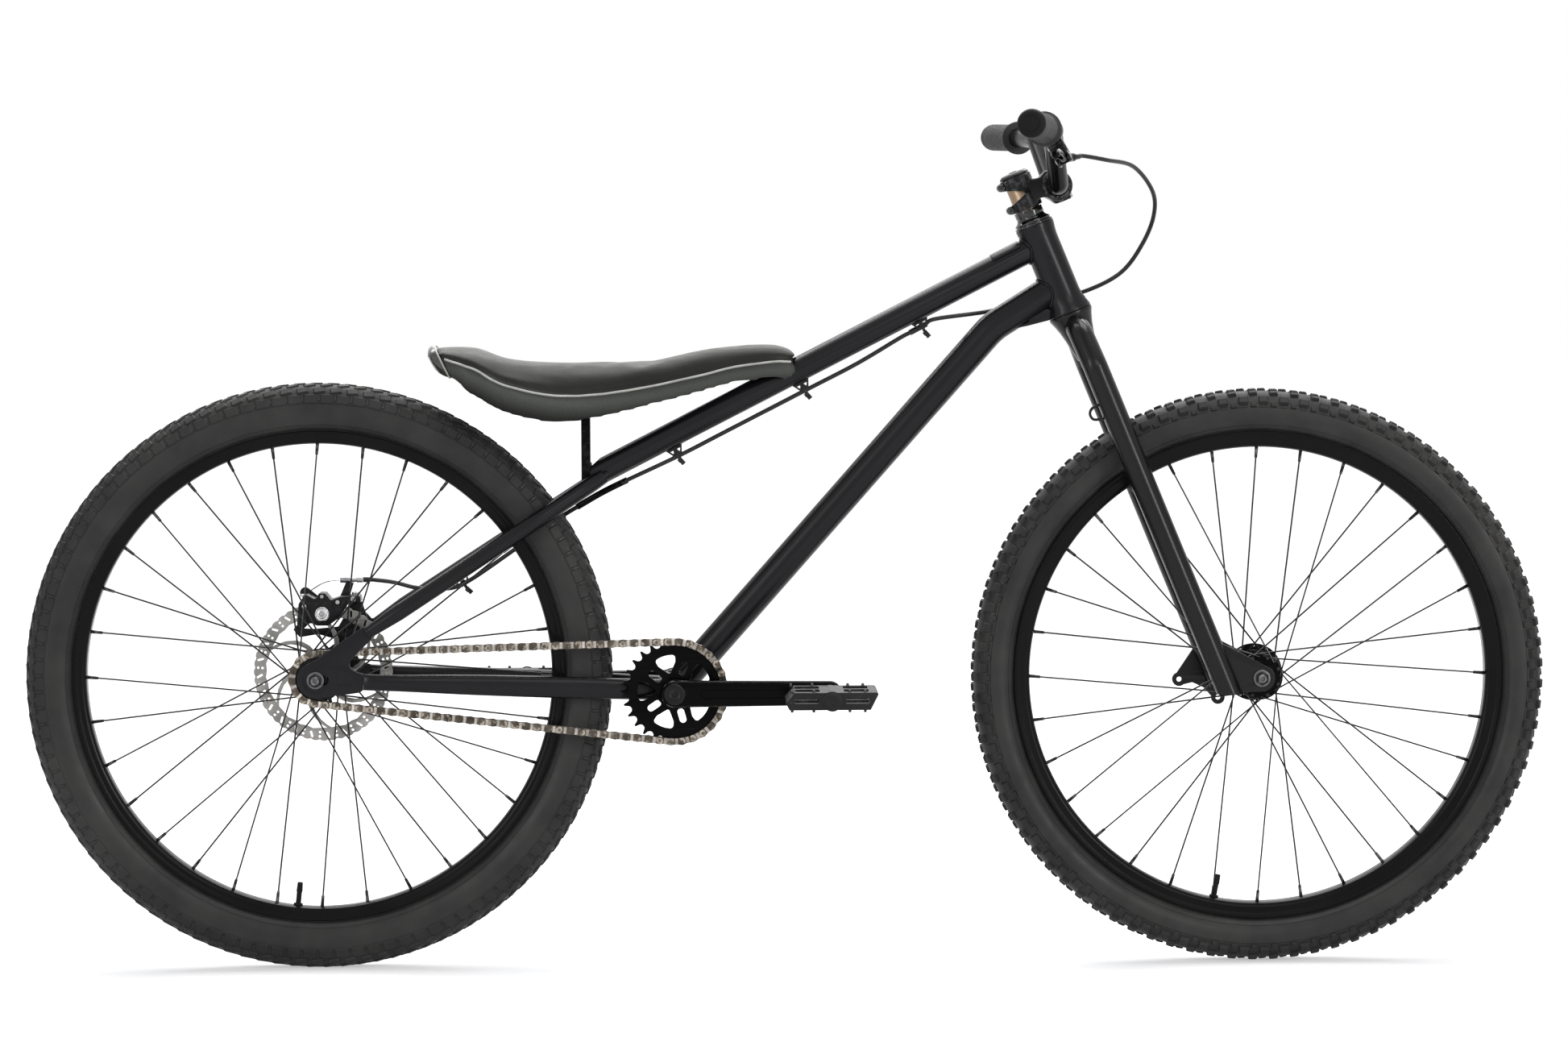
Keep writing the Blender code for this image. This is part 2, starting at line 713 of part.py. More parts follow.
def chainring():
    """The 28-tooth ring: radial slots between rounded three-cornered windows."""
    edge = toothed_edge(CHAINRING_TEETH, RING_RADIUS, BRACKET)
    loops = [edge, circle((0, 0), SPINDLE_RADIUS + GAP, 16)]
    step = 2 * pi / RING_SLOTS
    for number in range(RING_SLOTS):
        turn = radians(-74) + step * number
        loops.append(slot_loop((0.0283 * cos(turn), 0.0283 * sin(turn)), turn, 0.0168, 0.0078, 2))
        middle = turn + step / 2
        corners = [(0.0205, 0, 0.0020), (0.0415, -0.33, 0.0030), (0.0415, 0.33, 0.0030)]
        loops.append(rounded([(radius * cos(middle + swing), radius * sin(middle + swing), fillet)
                              for radius, swing, fillet in corners], 1))
    return plate("chainring", loops, SPROCKET_THICKNESS, side_plane(-CHAINLINE, BRACKET))


DRIVER_RADIUS = 0.0165
BORE_OVERCUT = 0.00001


def rear_cog():
    """The 14-tooth cog on the driver that turns on the rear axle."""
    edge = toothed_edge(COG_TEETH, COG_RADIUS, REAR_AXLE)
    bore = circle((0, 0), HUB_BORE, 12)
    disc = plate("rear_cog", [edge, bore], SPROCKET_THICKNESS, side_plane(-CHAINLINE, REAR_AXLE))
    inner = -REAR_FLANGES[0] + 0.0070
    outer = DROPOUT_SPACING / 2 - LOCKNUT_LENGTH - 2 * GAP
    inside = HUB_BORE - BORE_OVERCUT
    driver = revolve("driver", [(inside, inner), (DRIVER_RADIUS, inner), (DRIVER_RADIUS * 0.8, outer), (inside, outer)],
                     REAR_AXLE, -SIDEWAYS, 12)
    return fuse(driver, disc)


ARM_MIDDLE = CRANK_INNER + CRANK_THICKNESS / 2
ARM_OUTER = CRANK_INNER + CRANK_THICKNESS


def pedal_centre(side):
    """The right crank points forward at rest and the left one back."""
    reach = CRANK_LENGTH if side == RIGHT else -CRANK_LENGTH
    return BRACKET + Vector((reach, 0, 0))


def crank_arm(name, side):
    """A forged arm: a boss on the spindle, a straight tapering arm and a round pedal eye."""
    tip = CRANK_LENGTH if side == RIGHT else -CRANK_LENGTH
    rings = []
    for inset, y in ((CRANK_EDGE, CRANK_INNER), (0, CRANK_INNER + CRANK_EDGE), (0, ARM_OUTER - CRANK_EDGE),
                     (CRANK_EDGE, ARM_OUTER)):
        outline = belt((0, 0), CRANK_BOSS_RADIUS - inset, (tip, 0), CRANK_TIP_RADIUS - inset, 6)
        rings.append([BRACKET + Vector((x, side * y, z)) for x, z in outline])
    arm = loft(name, rings)
    inside = CHAINLINE + SPROCKET_THICKNESS / 2 + GAP if side == RIGHT else BRACKET_WIDTH / 2 + 0.0045
    boss = rod("boss", BRACKET + SIDEWAYS * side * inside, BRACKET + SIDEWAYS * side * (CRANK_INNER + 0.003),
               CRANK_BOSS_RADIUS - 0.0008, 20)
    end = ARM_OUTER + 0.005
    spindle_bore = rod("bore", BRACKET + SIDEWAYS * side * (inside - 0.01), BRACKET + SIDEWAYS * side * end,
                       SPINDLE_RADIUS + GAP, 20)
    eye = pedal_centre(side)
    pedal_bore = rod("eye", eye + SIDEWAYS * side * (CRANK_INNER - 0.005), eye + SIDEWAYS * side * end,
                     PEDAL_SPINDLE_RADIUS + GAP, 12)
    return cut(fuse(arm, boss), spindle_bore, pedal_bore)


def crank_spindle():
    """The axle through the bottom bracket, with its two crank bolts' heads."""
    end = ARM_OUTER
    half = [(0, end + 0.0005), (0.0050, end + 0.0005), (0.0055, end + 0.0028), (0.0125, end + 0.0022),
            (0.0135, end + 0.0003), (SPINDLE_RADIUS, end + 0.0003)]
    profile = half + [(radius, -y) for radius, y in reversed(half)]
    return revolve("crank_spindle", profile, BRACKET, SIDEWAYS, 14, closed=False)


PEDAL_INNER = ARM_OUTER + 0.006
PEDAL_FLANGE = PEDAL_INNER - 0.0005


def pedal_spindle(name, side):
    """The pedal's own axle: threaded into the arm, a flange outside it, then a long journal."""
    start = CRANK_INNER + 0.001
    flange = ARM_OUTER + GAP
    end = PEDAL_INNER + PEDAL_WIDTH - 0.008
    profile = [(0, start), (PEDAL_SPINDLE_RADIUS, start), (PEDAL_SPINDLE_RADIUS, flange), (0.0078, flange),
               (0.0078, PEDAL_FLANGE), (PEDAL_SPINDLE_RADIUS, PEDAL_FLANGE), (PEDAL_SPINDLE_RADIUS, end), (0, end)]
    return revolve(name, profile, pedal_centre(side), SIDEWAYS * side, 12, closed=False)


def pedal(name, side):
    """A platform: slanting ends, four open windows, slots in its sides and a barrel for the axle."""
    half_length, half_thickness = PEDAL_LENGTH / 2, PEDAL_THICKNESS / 2
    outline = rounded([(-half_length + 0.004, -half_thickness, 0.001), (half_length - 0.009, -half_thickness, 0.001),
                       (half_length, half_thickness * 0.8, 0.001), (half_length - 0.002, half_thickness, 0.001),
                       (-half_length + 0.010, half_thickness, 0.001), (-half_length, -half_thickness * 0.2, 0.001)], 1)
    centre = pedal_centre(side)
    middle = side * (PEDAL_INNER + PEDAL_WIDTH / 2)
    body = plate(name, [outline], PEDAL_WIDTH, side_plane(middle, centre))
    start = centre + SIDEWAYS * side * PEDAL_INNER
    end = start + SIDEWAYS * side * PEDAL_WIDTH
    body = fuse(body, rod("barrel", start, end + SIDEWAYS * side * 0.0015, PEDAL_BARREL_RADIUS + 0.0009, 16))
    windows = []
    wall = 0.011
    clear = PEDAL_BARREL_RADIUS + 0.0040
    length = half_length - wall - clear - 0.002
    width = PEDAL_WIDTH / 2 - wall * 1.4
    for across in (-1, 1):
        for fore in (-1, 1):
            place = centre + Vector((fore * (clear + length / 2), middle + across * (width / 2 + 0.004), 0))
            windows.append(block("window", place, (length, width, PEDAL_THICKNESS * 2)))
    for fore in (-1, 1):
        place = centre + Vector((fore * (clear + length / 2 + 0.001), middle, 0.0005))
        windows.append(block("side slot", place, (length, PEDAL_WIDTH * 1.2, 0.0052)))
    bore = rod("bore", start - SIDEWAYS * side * 0.005, end - SIDEWAYS * side * 0.006,
               PEDAL_SPINDLE_RADIUS + 2 * GAP, 12)
    return cut(body, *windows, bore)


CUP_STEPS = 14


def bracket_cup(name, side):
    """A bearing cup: a flange outside the shell and a sleeve inside it."""
    face = BRACKET_WIDTH / 2 + GAP
    sleeve = BRACKET_RADIUS - 0.0035 - GAP
    bore = (SPINDLE_RADIUS + GAP) / cos(pi / CUP_STEPS)
    profile = [(bore, face - 0.014), (sleeve, face - 0.014), (sleeve, face), (BRACKET_RADIUS + 0.0012, face),
               (BRACKET_RADIUS + 0.0012, face + 0.0028), (bore, face + 0.0036)]
    return revolve(name, profile, BRACKET, SIDEWAYS * side, CUP_STEPS)


# Frame

TOP_TUBE_RUN = Vector((-cos(TOP_TUBE_SLOPE), 0, -sin(TOP_TUBE_SLOPE)))
TOP_TUBE_START = HEAD_TOP - AXIS_UP * TOP_TUBE_DROP
YOKE = TOP_TUBE_START + TOP_TUBE_RUN * TOP_TUBE_LENGTH
DROPOUT_MIDDLE = DROPOUT_SPACING / 2 + DROPOUT_THICKNESS / 2
STAY_FOOT = REAR_AXLE + Vector((0.0594, 0, 0.0535))
STAY_TOP = YOKE + Vector((0.0152, 0, 0.0017))
STAY_RUN = (STAY_TOP - STAY_FOOT).normalized()
STAY_LENGTH = (STAY_TOP - STAY_FOOT).length
CHAIN_STAY_START = 0.0542
CHAIN_STAY_HALF_HEIGHT = 0.0092
BEARING_RADIUS = HEAD_TOP_RADIUS - 0.0024
BEARING_DEPTH = 0.0070
HEAD_BORE = 0.0172


def head_outline(clearance=0.0):
    """The outside of the head tube: a short collar at the top and a flared ring at the bottom."""
    return [(HEAD_TOP_RADIUS + clearance, clearance), (HEAD_TOP_RADIUS + clearance, -0.0090),
            (HEAD_RADIUS + clearance, -0.0135), (HEAD_RADIUS + clearance, 0.0170 - HEAD_LENGTH),
            (HEAD_BOTTOM_RADIUS + clearance, 0.0070 - HEAD_LENGTH),
            (HEAD_BOTTOM_RADIUS + clearance, -HEAD_LENGTH - clearance)]


def head_tube():
    seat = BEARING_RADIUS + GAP
    ledge = BEARING_DEPTH + GAP
    inside = [(seat, -HEAD_LENGTH), (seat, ledge - HEAD_LENGTH), (HEAD_BORE, ledge - HEAD_LENGTH),
              (HEAD_BORE, -ledge), (seat, -ledge), (seat, 0)]
    return revolve("head_tube", head_outline() + inside, HEAD_TOP, AXIS_UP, 18)


def head_room():
    """The space that the head tube takes, with its clearance, as a cutter."""
    outline = head_outline(GAP)
    return revolve("head room", [(0, GAP), *outline, (0, outline[-1][1])], HEAD_TOP, AXIS_UP, 24, closed=False)


def bearing(name, top):
    """A cartridge bearing in its seat, round the steerer."""
    bore = STEERER_RADIUS + GAP
    return revolve(name, [(bore, top), (BEARING_RADIUS, top), (BEARING_RADIUS, top - BEARING_DEPTH),
                          (bore, top - BEARING_DEPTH)], HEAD_TOP, AXIS_UP, 16)


def bracket_room():
    reach = SIDEWAYS * BRACKET_WIDTH
    return rod("bracket room", BRACKET - reach, BRACKET + reach, BRACKET_RADIUS + GAP, 20)


def bracket_shell():
    bore = BRACKET_RADIUS - 0.0035
    half = BRACKET_WIDTH / 2
    return revolve("bottom_bracket_shell", [(bore, -half), (BRACKET_RADIUS, -half), (BRACKET_RADIUS, half),
                                            (bore, half)], BRACKET, SIDEWAYS, 20)


def top_tube():
    """A straight tube whose rear end is squared off where the seat post stands against it."""
    past = 0.020
    body = tube("top_tube", [TOP_TUBE_START, YOKE + TOP_TUBE_RUN * past], TOP_TUBE_RADIUS, 6)
    behind = block("behind", YOKE + Vector((-past, 0, 0)), (past * 2, past * 4, past * 6))
    return cut(body, head_room(), behind)


def down_tube():
    """Straight up from the bottom bracket, then bent forward into the head tube."""
    joint = HEAD_TOP - AXIS_UP * DOWN_TUBE_DROP
    knee = joint - Vector((cos(DOWN_TUBE_HEAD_SLOPE), 0, sin(DOWN_TUBE_HEAD_SLOPE))) * DOWN_TUBE_HEAD_RUN
    body = tube("down_tube", bent([BRACKET, knee, joint], DOWN_TUBE_BEND), DOWN_TUBE_RADIUS, 5)
    return cut(body, head_room(), bracket_room())


SEAT_STAY_SPREAD = ((0.0, 0.0705), (0.157, 0.0690), (0.377, 0.0585), (0.597, 0.0480), (0.712, 0.0425),
                    (0.818, 0.0345), (0.920, 0.0268))


def seat_stay(name, side):
    """Wide past the tyre, then drawn in to lie beside the rear end of the top tube."""
    start = GAP / STAY_LENGTH
    path = []
    for share, spread in SEAT_STAY_SPREAD:
        path.append(STAY_FOOT.lerp(STAY_TOP, max(share, start)) + SIDEWAYS * side * spread)
    path.append(STAY_TOP + SIDEWAYS * side * (TOP_TUBE_RADIUS + SEAT_STAY_RADIUS + 2 * GAP))
    radii = [0.72] + [1.0] * (len(path) - 2) + [0.90]
    return tube(name, path, SEAT_STAY_RADIUS, 5, radii)


def chain_stay(name, side):
    """Tall and flat, dimpled beside the tyre, and scooped round the bottom bracket shell."""
    behind = [(CHAIN_STAY_START, 0.0044, CHAIN_STAY_HALF_HEIGHT, DROPOUT_MIDDLE), (0.0650, 0.0070, 0.0093, 0.0700),
              (0.0995, 0.0080, 0.0096, 0.0660), (0.1722, 0.0085, 0.0115, 0.0550), (0.2443, 0.0080, 0.0123, 0.0465)]
    ahead = [(0.1081, 0.0062, 0.0123, 0.0405), (0.0731, 0.0062, 0.0120, 0.0360), (0.0380, 0.0080, 0.0120, 0.0290),
             (0.0080, 0.0085, 0.0120, 0.0225)]
    stations = [(REAR_AXLE + BELT_FORWARD * distance + SIDEWAYS * side * spread, half_width, half_height)
                for distance, half_width, half_height, spread in behind]
    stations += [(BRACKET - BELT_FORWARD * distance + SIDEWAYS * side * spread, half_width, half_height)
                 for distance, half_width, half_height, spread in ahead]
    return cut(oval_tube(name, stations), bracket_room())


def flat(vector):
    return (vector.x, vector.z)


def dropout(name, side):
    """A flat plate round the axle slot, with an arm to each stay; the left one carries the brake's tab."""
    foot = STAY_FOOT - REAR_AXLE
    out = Vector((-STAY_RUN.z, 0, STAY_RUN.x)) * SEAT_STAY_RADIUS * 0.9
    end = BELT_FORWARD * (CHAIN_STAY_START - GAP)
    low = BELT_UP * CHAIN_STAY_HALF_HEIGHT
    edge = arc((0, 0.0005), 0.0200, radians(118), radians(268), 7)
    edge += [(0.0360, -0.0160), (0.0500, -0.0140), flat(end - low), flat(end + low * 0.98)]
    edge += [(0.0440, 0.0100), (0.0392, 0.0145), (0.0384, 0.0195), (0.0410, 0.0240), flat(foot - out)]
    edge += [flat(foot + out)]
    loops = [edge, slot_loop((0.0035, 0), 0, 0.0230, (AXLE_RADIUS + GAP) * 2, 3)]
    if side == LEFT:
        edge += [(0.0500, 0.0660), (0.0440, 0.0710), (0.0320, 0.0720), (0.0262, 0.0680), (0.0240, 0.0500)]
        loops += [circle((0.0325, 0.0610), 0.0028, 8), circle((0.0430, 0.0625), 0.0028, 8)]
    edge += [(0.0165, 0.0345), (0.0030, 0.0245)]
    body = plate(name, loops, DROPOUT_THICKNESS, side_plane(side * DROPOUT_MIDDLE, REAR_AXLE))
    face = DROPOUT_SPACING / 2 + DROPOUT_THICKNESS
    recess = rod("recess", REAR_AXLE + SIDEWAYS * side * (face - 0.0008),
                 REAR_AXLE + SIDEWAYS * side * (face + 0.010), 0.0142, 16)
    collar = rod("collar", REAR_AXLE + SIDEWAYS * side * (face - 0.0020),
                 REAR_AXLE + SIDEWAYS * side * (face + 0.020), NUT_RADIUS + 0.0014, 16)
    return cut(body, cut(recess, collar))


# Fork

CROWN_TOP = -HEAD_LENGTH - GAP
LEG_Y = FORK_SPACING / 2 + 0.0030
FORK_PLATE = 0.006
STEERER_TOP = STEM_BASE + 2 * STEM_HALF_HEIGHT - 0.0015
CROWN_BORE = 0.0085


def crown_outline(clearance=0.0):
    return [(HEAD_BOTTOM_RADIUS + clearance, CROWN_TOP), (0.0245 + clearance, CROWN_TOP - 0.0080),
            (0.0200 + clearance, CROWN_TOP - 0.0250), (0.0150 + clearance, CROWN_TOP - 0.0450),
            (0.0105 + clearance, CROWN_TOP - 0.0550 - clearance)]


def fork_crown():
    """The steerer and the crown in one turning: a bored steerer on a tapering crown race."""
    outline = crown_outline()
    profile = [(0.0112, STEERER_TOP), (STEERER_RADIUS, STEERER_TOP), (STEERER_RADIUS, CROWN_TOP), *outline,
               (CROWN_BORE, outline[-1][1]), (CROWN_BORE, CROWN_TOP - 0.020), (0.0112, CROWN_TOP - 0.014)]
    return revolve("fork_crown", profile, HEAD_TOP, AXIS_UP, 18)


def crown_room():
    outline = crown_outline(GAP)
    return revolve("crown room", [(0, 0), (STEERER_RADIUS, 0), (STEERER_RADIUS, CROWN_TOP), *outline,
                                  (0, outline[-1][1])], HEAD_TOP, AXIS_UP, 24, closed=False)


def fork_leg(name, side):
    """A straight leg that bends in under the crown, with its plate for the front axle."""
    reach = AXLE_TO_HEAD_TOP + 0.020
    corners = [steer(0, side * 0.016, CROWN_TOP - 0.0180), steer(0, side * 0.0330, CROWN_TOP - 0.0215),
               steer(0, side * LEG_Y, CROWN_TOP - 0.0640), steer(0, side * LEG_Y, -reach)]
    leg = tube(name, bent(corners, 0.020, 2), FORK_LEG_RADIUS, 4)
    floor = FRONT_AXLE + Vector((-0.040, 0, -0.0180 - 0.050))
    leg = cut(leg, crown_room(), block("floor", floor, (0.20, 0.30, 0.10)))
    edge = [(-0.0600, 0.0380), (-0.0450, 0.0400)]
    edge += arc((0, 0), 0.0150, radians(50), radians(-95), 7)
    edge += [(-0.0300, -0.0165)]
    loops = [edge, circle((0, 0), AXLE_RADIUS + GAP, 14)]
    if side == LEFT:
        first, second = (-0.0842, -0.0093), (-0.0393, -0.0304)
        edge += arc(second, 0.0080, radians(10), radians(-190), 4)
        edge += [(-0.0560, -0.0190), (-0.0690, -0.0130)]
        edge += arc(first, 0.0080, radians(-50), radians(-250), 4)
        loops += [circle(first, 0.0030, 6), circle(second, 0.0030, 6)]
    else:
        edge += [(-0.0480, -0.0170)]
    ear = plate("ear", loops, FORK_PLATE, side_plane(side * LEG_Y, FRONT_AXLE))
    return fuse(leg, ear)


def headset_cover():
    """The polished cone over the upper bearing."""
    bore = STEERER_RADIUS + GAP
    top = STEM_BASE - 0.0005 - GAP
    return revolve("headset_cover", [(bore, GAP), (HEAD_TOP_RADIUS - 0.0003, GAP), (HEAD_TOP_RADIUS - 0.0003, 0.0050),
                                     (0.0212, 0.0085), (0.0192, top - 0.0020), (0.0185, top), (bore, top)],
                   HEAD_TOP, AXIS_UP, 18)


# Cockpit

STEM_BODY_RADIUS = 0.0187
STEM_TOP = STEM_BASE + 2 * STEM_HALF_HEIGHT
BAR_CENTRE = steer(BAR_FORWARD, 0, BAR_RISE)
BAR_SHELL = BAR_CLAMP_RADIUS + 0.0048
CLAMP_HALF = 0.0240
FACE_SPLIT = BAR_FORWARD + 0.0012


def steer_block(name, low, high, half_width):
    """A box in the steering frame from one (forward, up) corner to the other."""
    middle = steer((low[0] + high[0]) / 2, 0, (low[1] + high[1]) / 2)
    turn = Matrix((AXIS_FORWARD, AXIS_UP, -SIDEWAYS)).transposed().to_4x4()
    return block(name, middle, (high[0] - low[0], high[1] - low[1], half_width * 2), turn)


def bar_shell(name, radius, half):
    return rod(name, BAR_CENTRE - SIDEWAYS * half, BAR_CENTRE + SIDEWAYS * half, radius, 20)


def stem():
    """A short front-load stem: a split steerer clamp with two pinch lugs, a web, and half of the bar clamp."""
    clamp = rod("stem", steer(0, 0, STEM_BASE), steer(0, 0, STEM_TOP), STEM_BODY_RADIUS, 20)
    web = steer_block("web", (0.0080, BAR_RISE - 0.0125), (BAR_FORWARD - 0.0080, BAR_RISE + 0.0135), 0.0165)
    jaw = bar_shell("jaw", BAR_SHELL, CLAMP_HALF)
    lips = steer_block("lips", (BAR_FORWARD - 0.0100, BAR_RISE - 0.0195), (FACE_SPLIT, BAR_RISE + 0.0195), 0.0200)
    lugs = [steer_block("lug", (-0.0260, height - 0.0060), (-0.0120, height + 0.0060), 0.0115)
            for height in (STEM_BASE + 0.0062, STEM_TOP - 0.0062)]
    body = fuse(clamp, web, jaw, lips, *lugs)
    bore = rod("bore", steer(0, 0, STEM_BASE - 0.010), steer(0, 0, STEM_TOP + 0.010), STEERER_RADIUS + GAP, 20)
    split = steer_block("split", (-0.0400, STEM_BASE - 0.010), (-0.0100, STEM_TOP + 0.010), 0.0010)
    middle = STEM_BASE + STEM_HALF_HEIGHT
    notch = steer_block("notch", (-0.0400, middle - 0.0070), (-0.0080, middle + 0.0070), 0.0200)
    front = steer_block("front", (FACE_SPLIT - GAP, 0), (FACE_SPLIT + 0.040, STEM_TOP + 0.010), 0.040)
    return cut(body, bore, bar_shell("bar room", BAR_CLAMP_RADIUS + GAP, 0.040), split, notch, front)


def stem_faceplate():
    """The front half of the bar clamp, open in the middle, with a bolt lip above and below."""
    shell = bar_shell("stem_faceplate", BAR_SHELL, CLAMP_HALF)
    lips = steer_block("lips", (FACE_SPLIT - 0.002, BAR_RISE - 0.0195), (FACE_SPLIT + 0.0085, BAR_RISE + 0.0195),
                       0.0200)
    body = fuse(shell, lips)
    back = steer_block("back", (-0.040, 0), (FACE_SPLIT, STEM_TOP + 0.010), 0.040)
    window = steer_block("window", (FACE_SPLIT + 0.002, BAR_RISE - 0.0075), (FACE_SPLIT + 0.030, BAR_RISE + 0.0075),
                         0.0090)
    return cut(body, bar_shell("bar room", BAR_CLAMP_RADIUS + GAP, 0.040), back, window)


def stem_cap():
    """The top cap, dished round its bolt, with a spigot inside the steerer clamp."""
    low = STEM_TOP + GAP
    bore = STEERER_RADIUS - GAP
    return revolve("stem_cap", [(0, low - 0.0014), (bore, low - 0.0014), (bore, low), (0.0172, low),
                                (0.0172, low + 0.0022), (0.0140, low + 0.0046), (0.0062, low + 0.0052),
                                (0.0056, low + 0.0034), (0.0040, low + 0.0034), (0.0036, low + 0.0062),
                                (0, low + 0.0062)], HEAD_TOP, AXIS_UP, 14, closed=False)


BEND_Y = 0.145
GRIP_START = BAR_CENTRE + Vector((-0.0132, 0, 0.0567))
BACKSWEEP = 0.170
UPSWEEP = 0.026


def bar_point(y):
    """A place on the straight outer part of the handlebar."""
    past = abs(y) - BEND_Y
    return GRIP_START + Vector((-BACKSWEEP * past, y, UPSWEEP * past))


def outward(side):
    return Vector((-BACKSWEEP, side, UPSWEEP)).normalized()


def handlebar():
    """One bent tube: fat in the clamp, tapered outside it, raised and swept back to the grips."""
    half = [Vector((0, 0.048, 0)) + BAR_CENTRE, bar_point(BEND_Y)]
    tip = bar_point(BAR_HALF_LENGTH)
    right = [place * 1 for place in (bar_point(-BAR_HALF_LENGTH), bar_point(-BEND_Y),
                                     BAR_CENTRE + Vector((0, -0.048, 0)))]
    corners = [*right, *half, tip]
    path = bent(corners, 0.036, 3)
    centre = len(path) // 2
    ends = [BAR_CENTRE + SIDEWAYS * y for y in (-CLAMP_HALF - 0.003, CLAMP_HALF + 0.003)]
    path = path[:centre] + ends + path[centre:]
    fat = BAR_CLAMP_RADIUS / BAR_RADIUS
    radii = [fat if abs(place.y) < CLAMP_HALF + 0.004 else 1.0 for place in path]
    return tube("handlebar", path, BAR_RADIUS, 4, radii)


def grip(name, side):
    """A closed-end rubber grip: an inboard flange, shallow ribs and a rounded cap over the bar's end."""
    start = bar_point(side * (BAR_HALF_LENGTH + 0.004)) - outward(side) * GRIP_LENGTH
    bore = BAR_RADIUS + GAP
    end = GRIP_LENGTH - 0.0036
    profile = [(0, GRIP_LENGTH), (0.0120, GRIP_LENGTH), (0.0160, GRIP_LENGTH - 0.0040),
               (GRIP_RADIUS - 0.0012, GRIP_LENGTH - 0.0120)]
    ribs = 2
    spacing = (GRIP_LENGTH - 0.034) / ribs
    for rib in range(ribs):
        top = GRIP_LENGTH - 0.0150 - spacing * rib
        profile += [(GRIP_RADIUS, top - spacing * 0.3), (GRIP_RADIUS - 0.0010, top - spacing * 0.85)]
    profile += [(GRIP_RADIUS - 0.0006, 0.0080), (GRIP_FLANGE_RADIUS, 0.0040), (GRIP_FLANGE_RADIUS, 0),
                (bore, 0), (bore, end), (0, end)]
    return revolve(name, profile, start, outward(side), 12, closed=False)


# Brake lever: distances run outwards along the bar from the perch, and down from the bar's middle

PERCH_INSET = 0.174
PERCH_Y = PERCH_INSET - BAR_HALF_LENGTH
LEVER_REACH = 0.036
LEVER_ALONG = 0.011
LEVER_ROOT = 0.0060
LEVER_HALF = 0.0050
PERCH_MIDDLE = bar_point(PERCH_Y)
ALONG_BAR = outward(RIGHT)
LEVER_DROP = Vector((0.50, 0, -0.866))
LEVER_DROP = (LEVER_DROP - ALONG_BAR * LEVER_DROP.dot(ALONG_BAR)).normalized()
LEVER_AXIS = ALONG_BAR.cross(LEVER_DROP).normalized()
BARREL_RUN = Vector((0.65, 0.75, 0.09)).normalized()
BARREL_LENGTH = 0.020
LEVER_TURN = Matrix((ALONG_BAR, LEVER_DROP, LEVER_AXIS)).transposed().to_4x4()


def by_lever(along, drop, across=0.0):
    return PERCH_MIDDLE + ALONG_BAR * along + LEVER_DROP * drop + LEVER_AXIS * across


LEVER_PIVOT = by_lever(LEVER_ALONG, LEVER_REACH)
BARREL_START = by_lever(-0.008, 0.0345)
BARREL_END = BARREL_START + BARREL_RUN * BARREL_LENGTH


def brake_lever_perch():
    """The clamp round the bar, the body with two cheeks and a pin for the lever, and the cable's barrel."""
    bore = BAR_RADIUS + GAP
    ring = revolve("brake_lever_perch", [(bore, -0.0065), (0.0162, -0.0065), (0.0162, 0.0065), (bore, 0.0065)],
                   PERCH_MIDDLE, ALONG_BAR, 20)
    cheek = LEVER_HALF + 2 * GAP
    outer = cheek + 0.0028
    body = block("body", by_lever(-0.0045, 0.0265), (0.0170, 0.0270, outer * 2), LEVER_TURN)
    plates = [block("cheek", by_lever(0.0100, LEVER_REACH, side * (cheek + outer) / 2),
                    (0.0180, 0.0130, outer - cheek), LEVER_TURN) for side in (RIGHT, LEFT)]
    pin = rod("pin", by_lever(LEVER_ALONG, LEVER_REACH, -outer - 0.001), by_lever(LEVER_ALONG, LEVER_REACH, outer + 0.001),
              0.0024, 10)
    barrel = rod("barrel", BARREL_START - BARREL_RUN * 0.004, BARREL_END, 0.0046, 12)
    return fuse(ring, body, *plates, pin, barrel)


def brake_lever():
    """A short blade with a curled tip, turning on the perch's pin."""
    stations = [(0.011, 0.0360, 0.0046, 0.0046), (0.020, 0.0352, 0.0046, 0.0042), (0.032, 0.0332, 0.0050, 0.0036),
                (0.050, 0.0315, 0.0056, 0.0034), (0.070, 0.0312, 0.0058, 0.0034), (0.084, 0.0328, 0.0054, 0.0036),
                (0.092, 0.0352, 0.0046, 0.0036), (0.096, 0.0372, 0.0030, 0.0026)]
    blade = oval_tube("brake_lever", [(by_lever(along, drop), half_width, half_height)
                                      for along, drop, half_width, half_height in stations], LEVER_AXIS, 8)
    across = LEVER_AXIS * LEVER_HALF
    root = rod("root", LEVER_PIVOT - across, LEVER_PIVOT + across, LEVER_ROOT, 16)
    bore = rod("bore", LEVER_PIVOT - across * 2, LEVER_PIVOT + across * 2, 0.0024 + GAP, 10)
    return cut(fuse(blade, root), bore)


# Seat: stations run forward from the rear end of the top tube, and heights are measured up from there

SEAT_STATIONS = ((-0.1818, 0.1480, 0.1180, 0.1310, 0.1390, 0.036), (-0.1680, 0.1499, 0.1085, 0.1285, 0.1389, 0.048),
                 (-0.1312, 0.1478, 0.0916, 0.1150, 0.1285, 0.060), (-0.0943, 0.1346, 0.0720, 0.1000, 0.1107, 0.062),
                 (-0.0390, 0.1296, 0.0604, 0.0920, 0.0982, 0.056), (0.0163, 0.1300, 0.0674, 0.0930, 0.0987, 0.046),
                 (0.0716, 0.1342, 0.0807, 0.1020, 0.1065, 0.038), (0.1269, 0.1449, 0.0942, 0.1120, 0.1181, 0.033),
                 (0.1638, 0.1491, 0.1049, 0.1165, 0.1270, 0.030), (0.2006, 0.1507, 0.1083, 0.1218, 0.1322, 0.028),
                 (0.2212, 0.1475, 0.1080, 0.1290, 0.1330, 0.025), (0.2337, 0.1400, 0.1090, 0.1353, 0.1325, 0.0215))
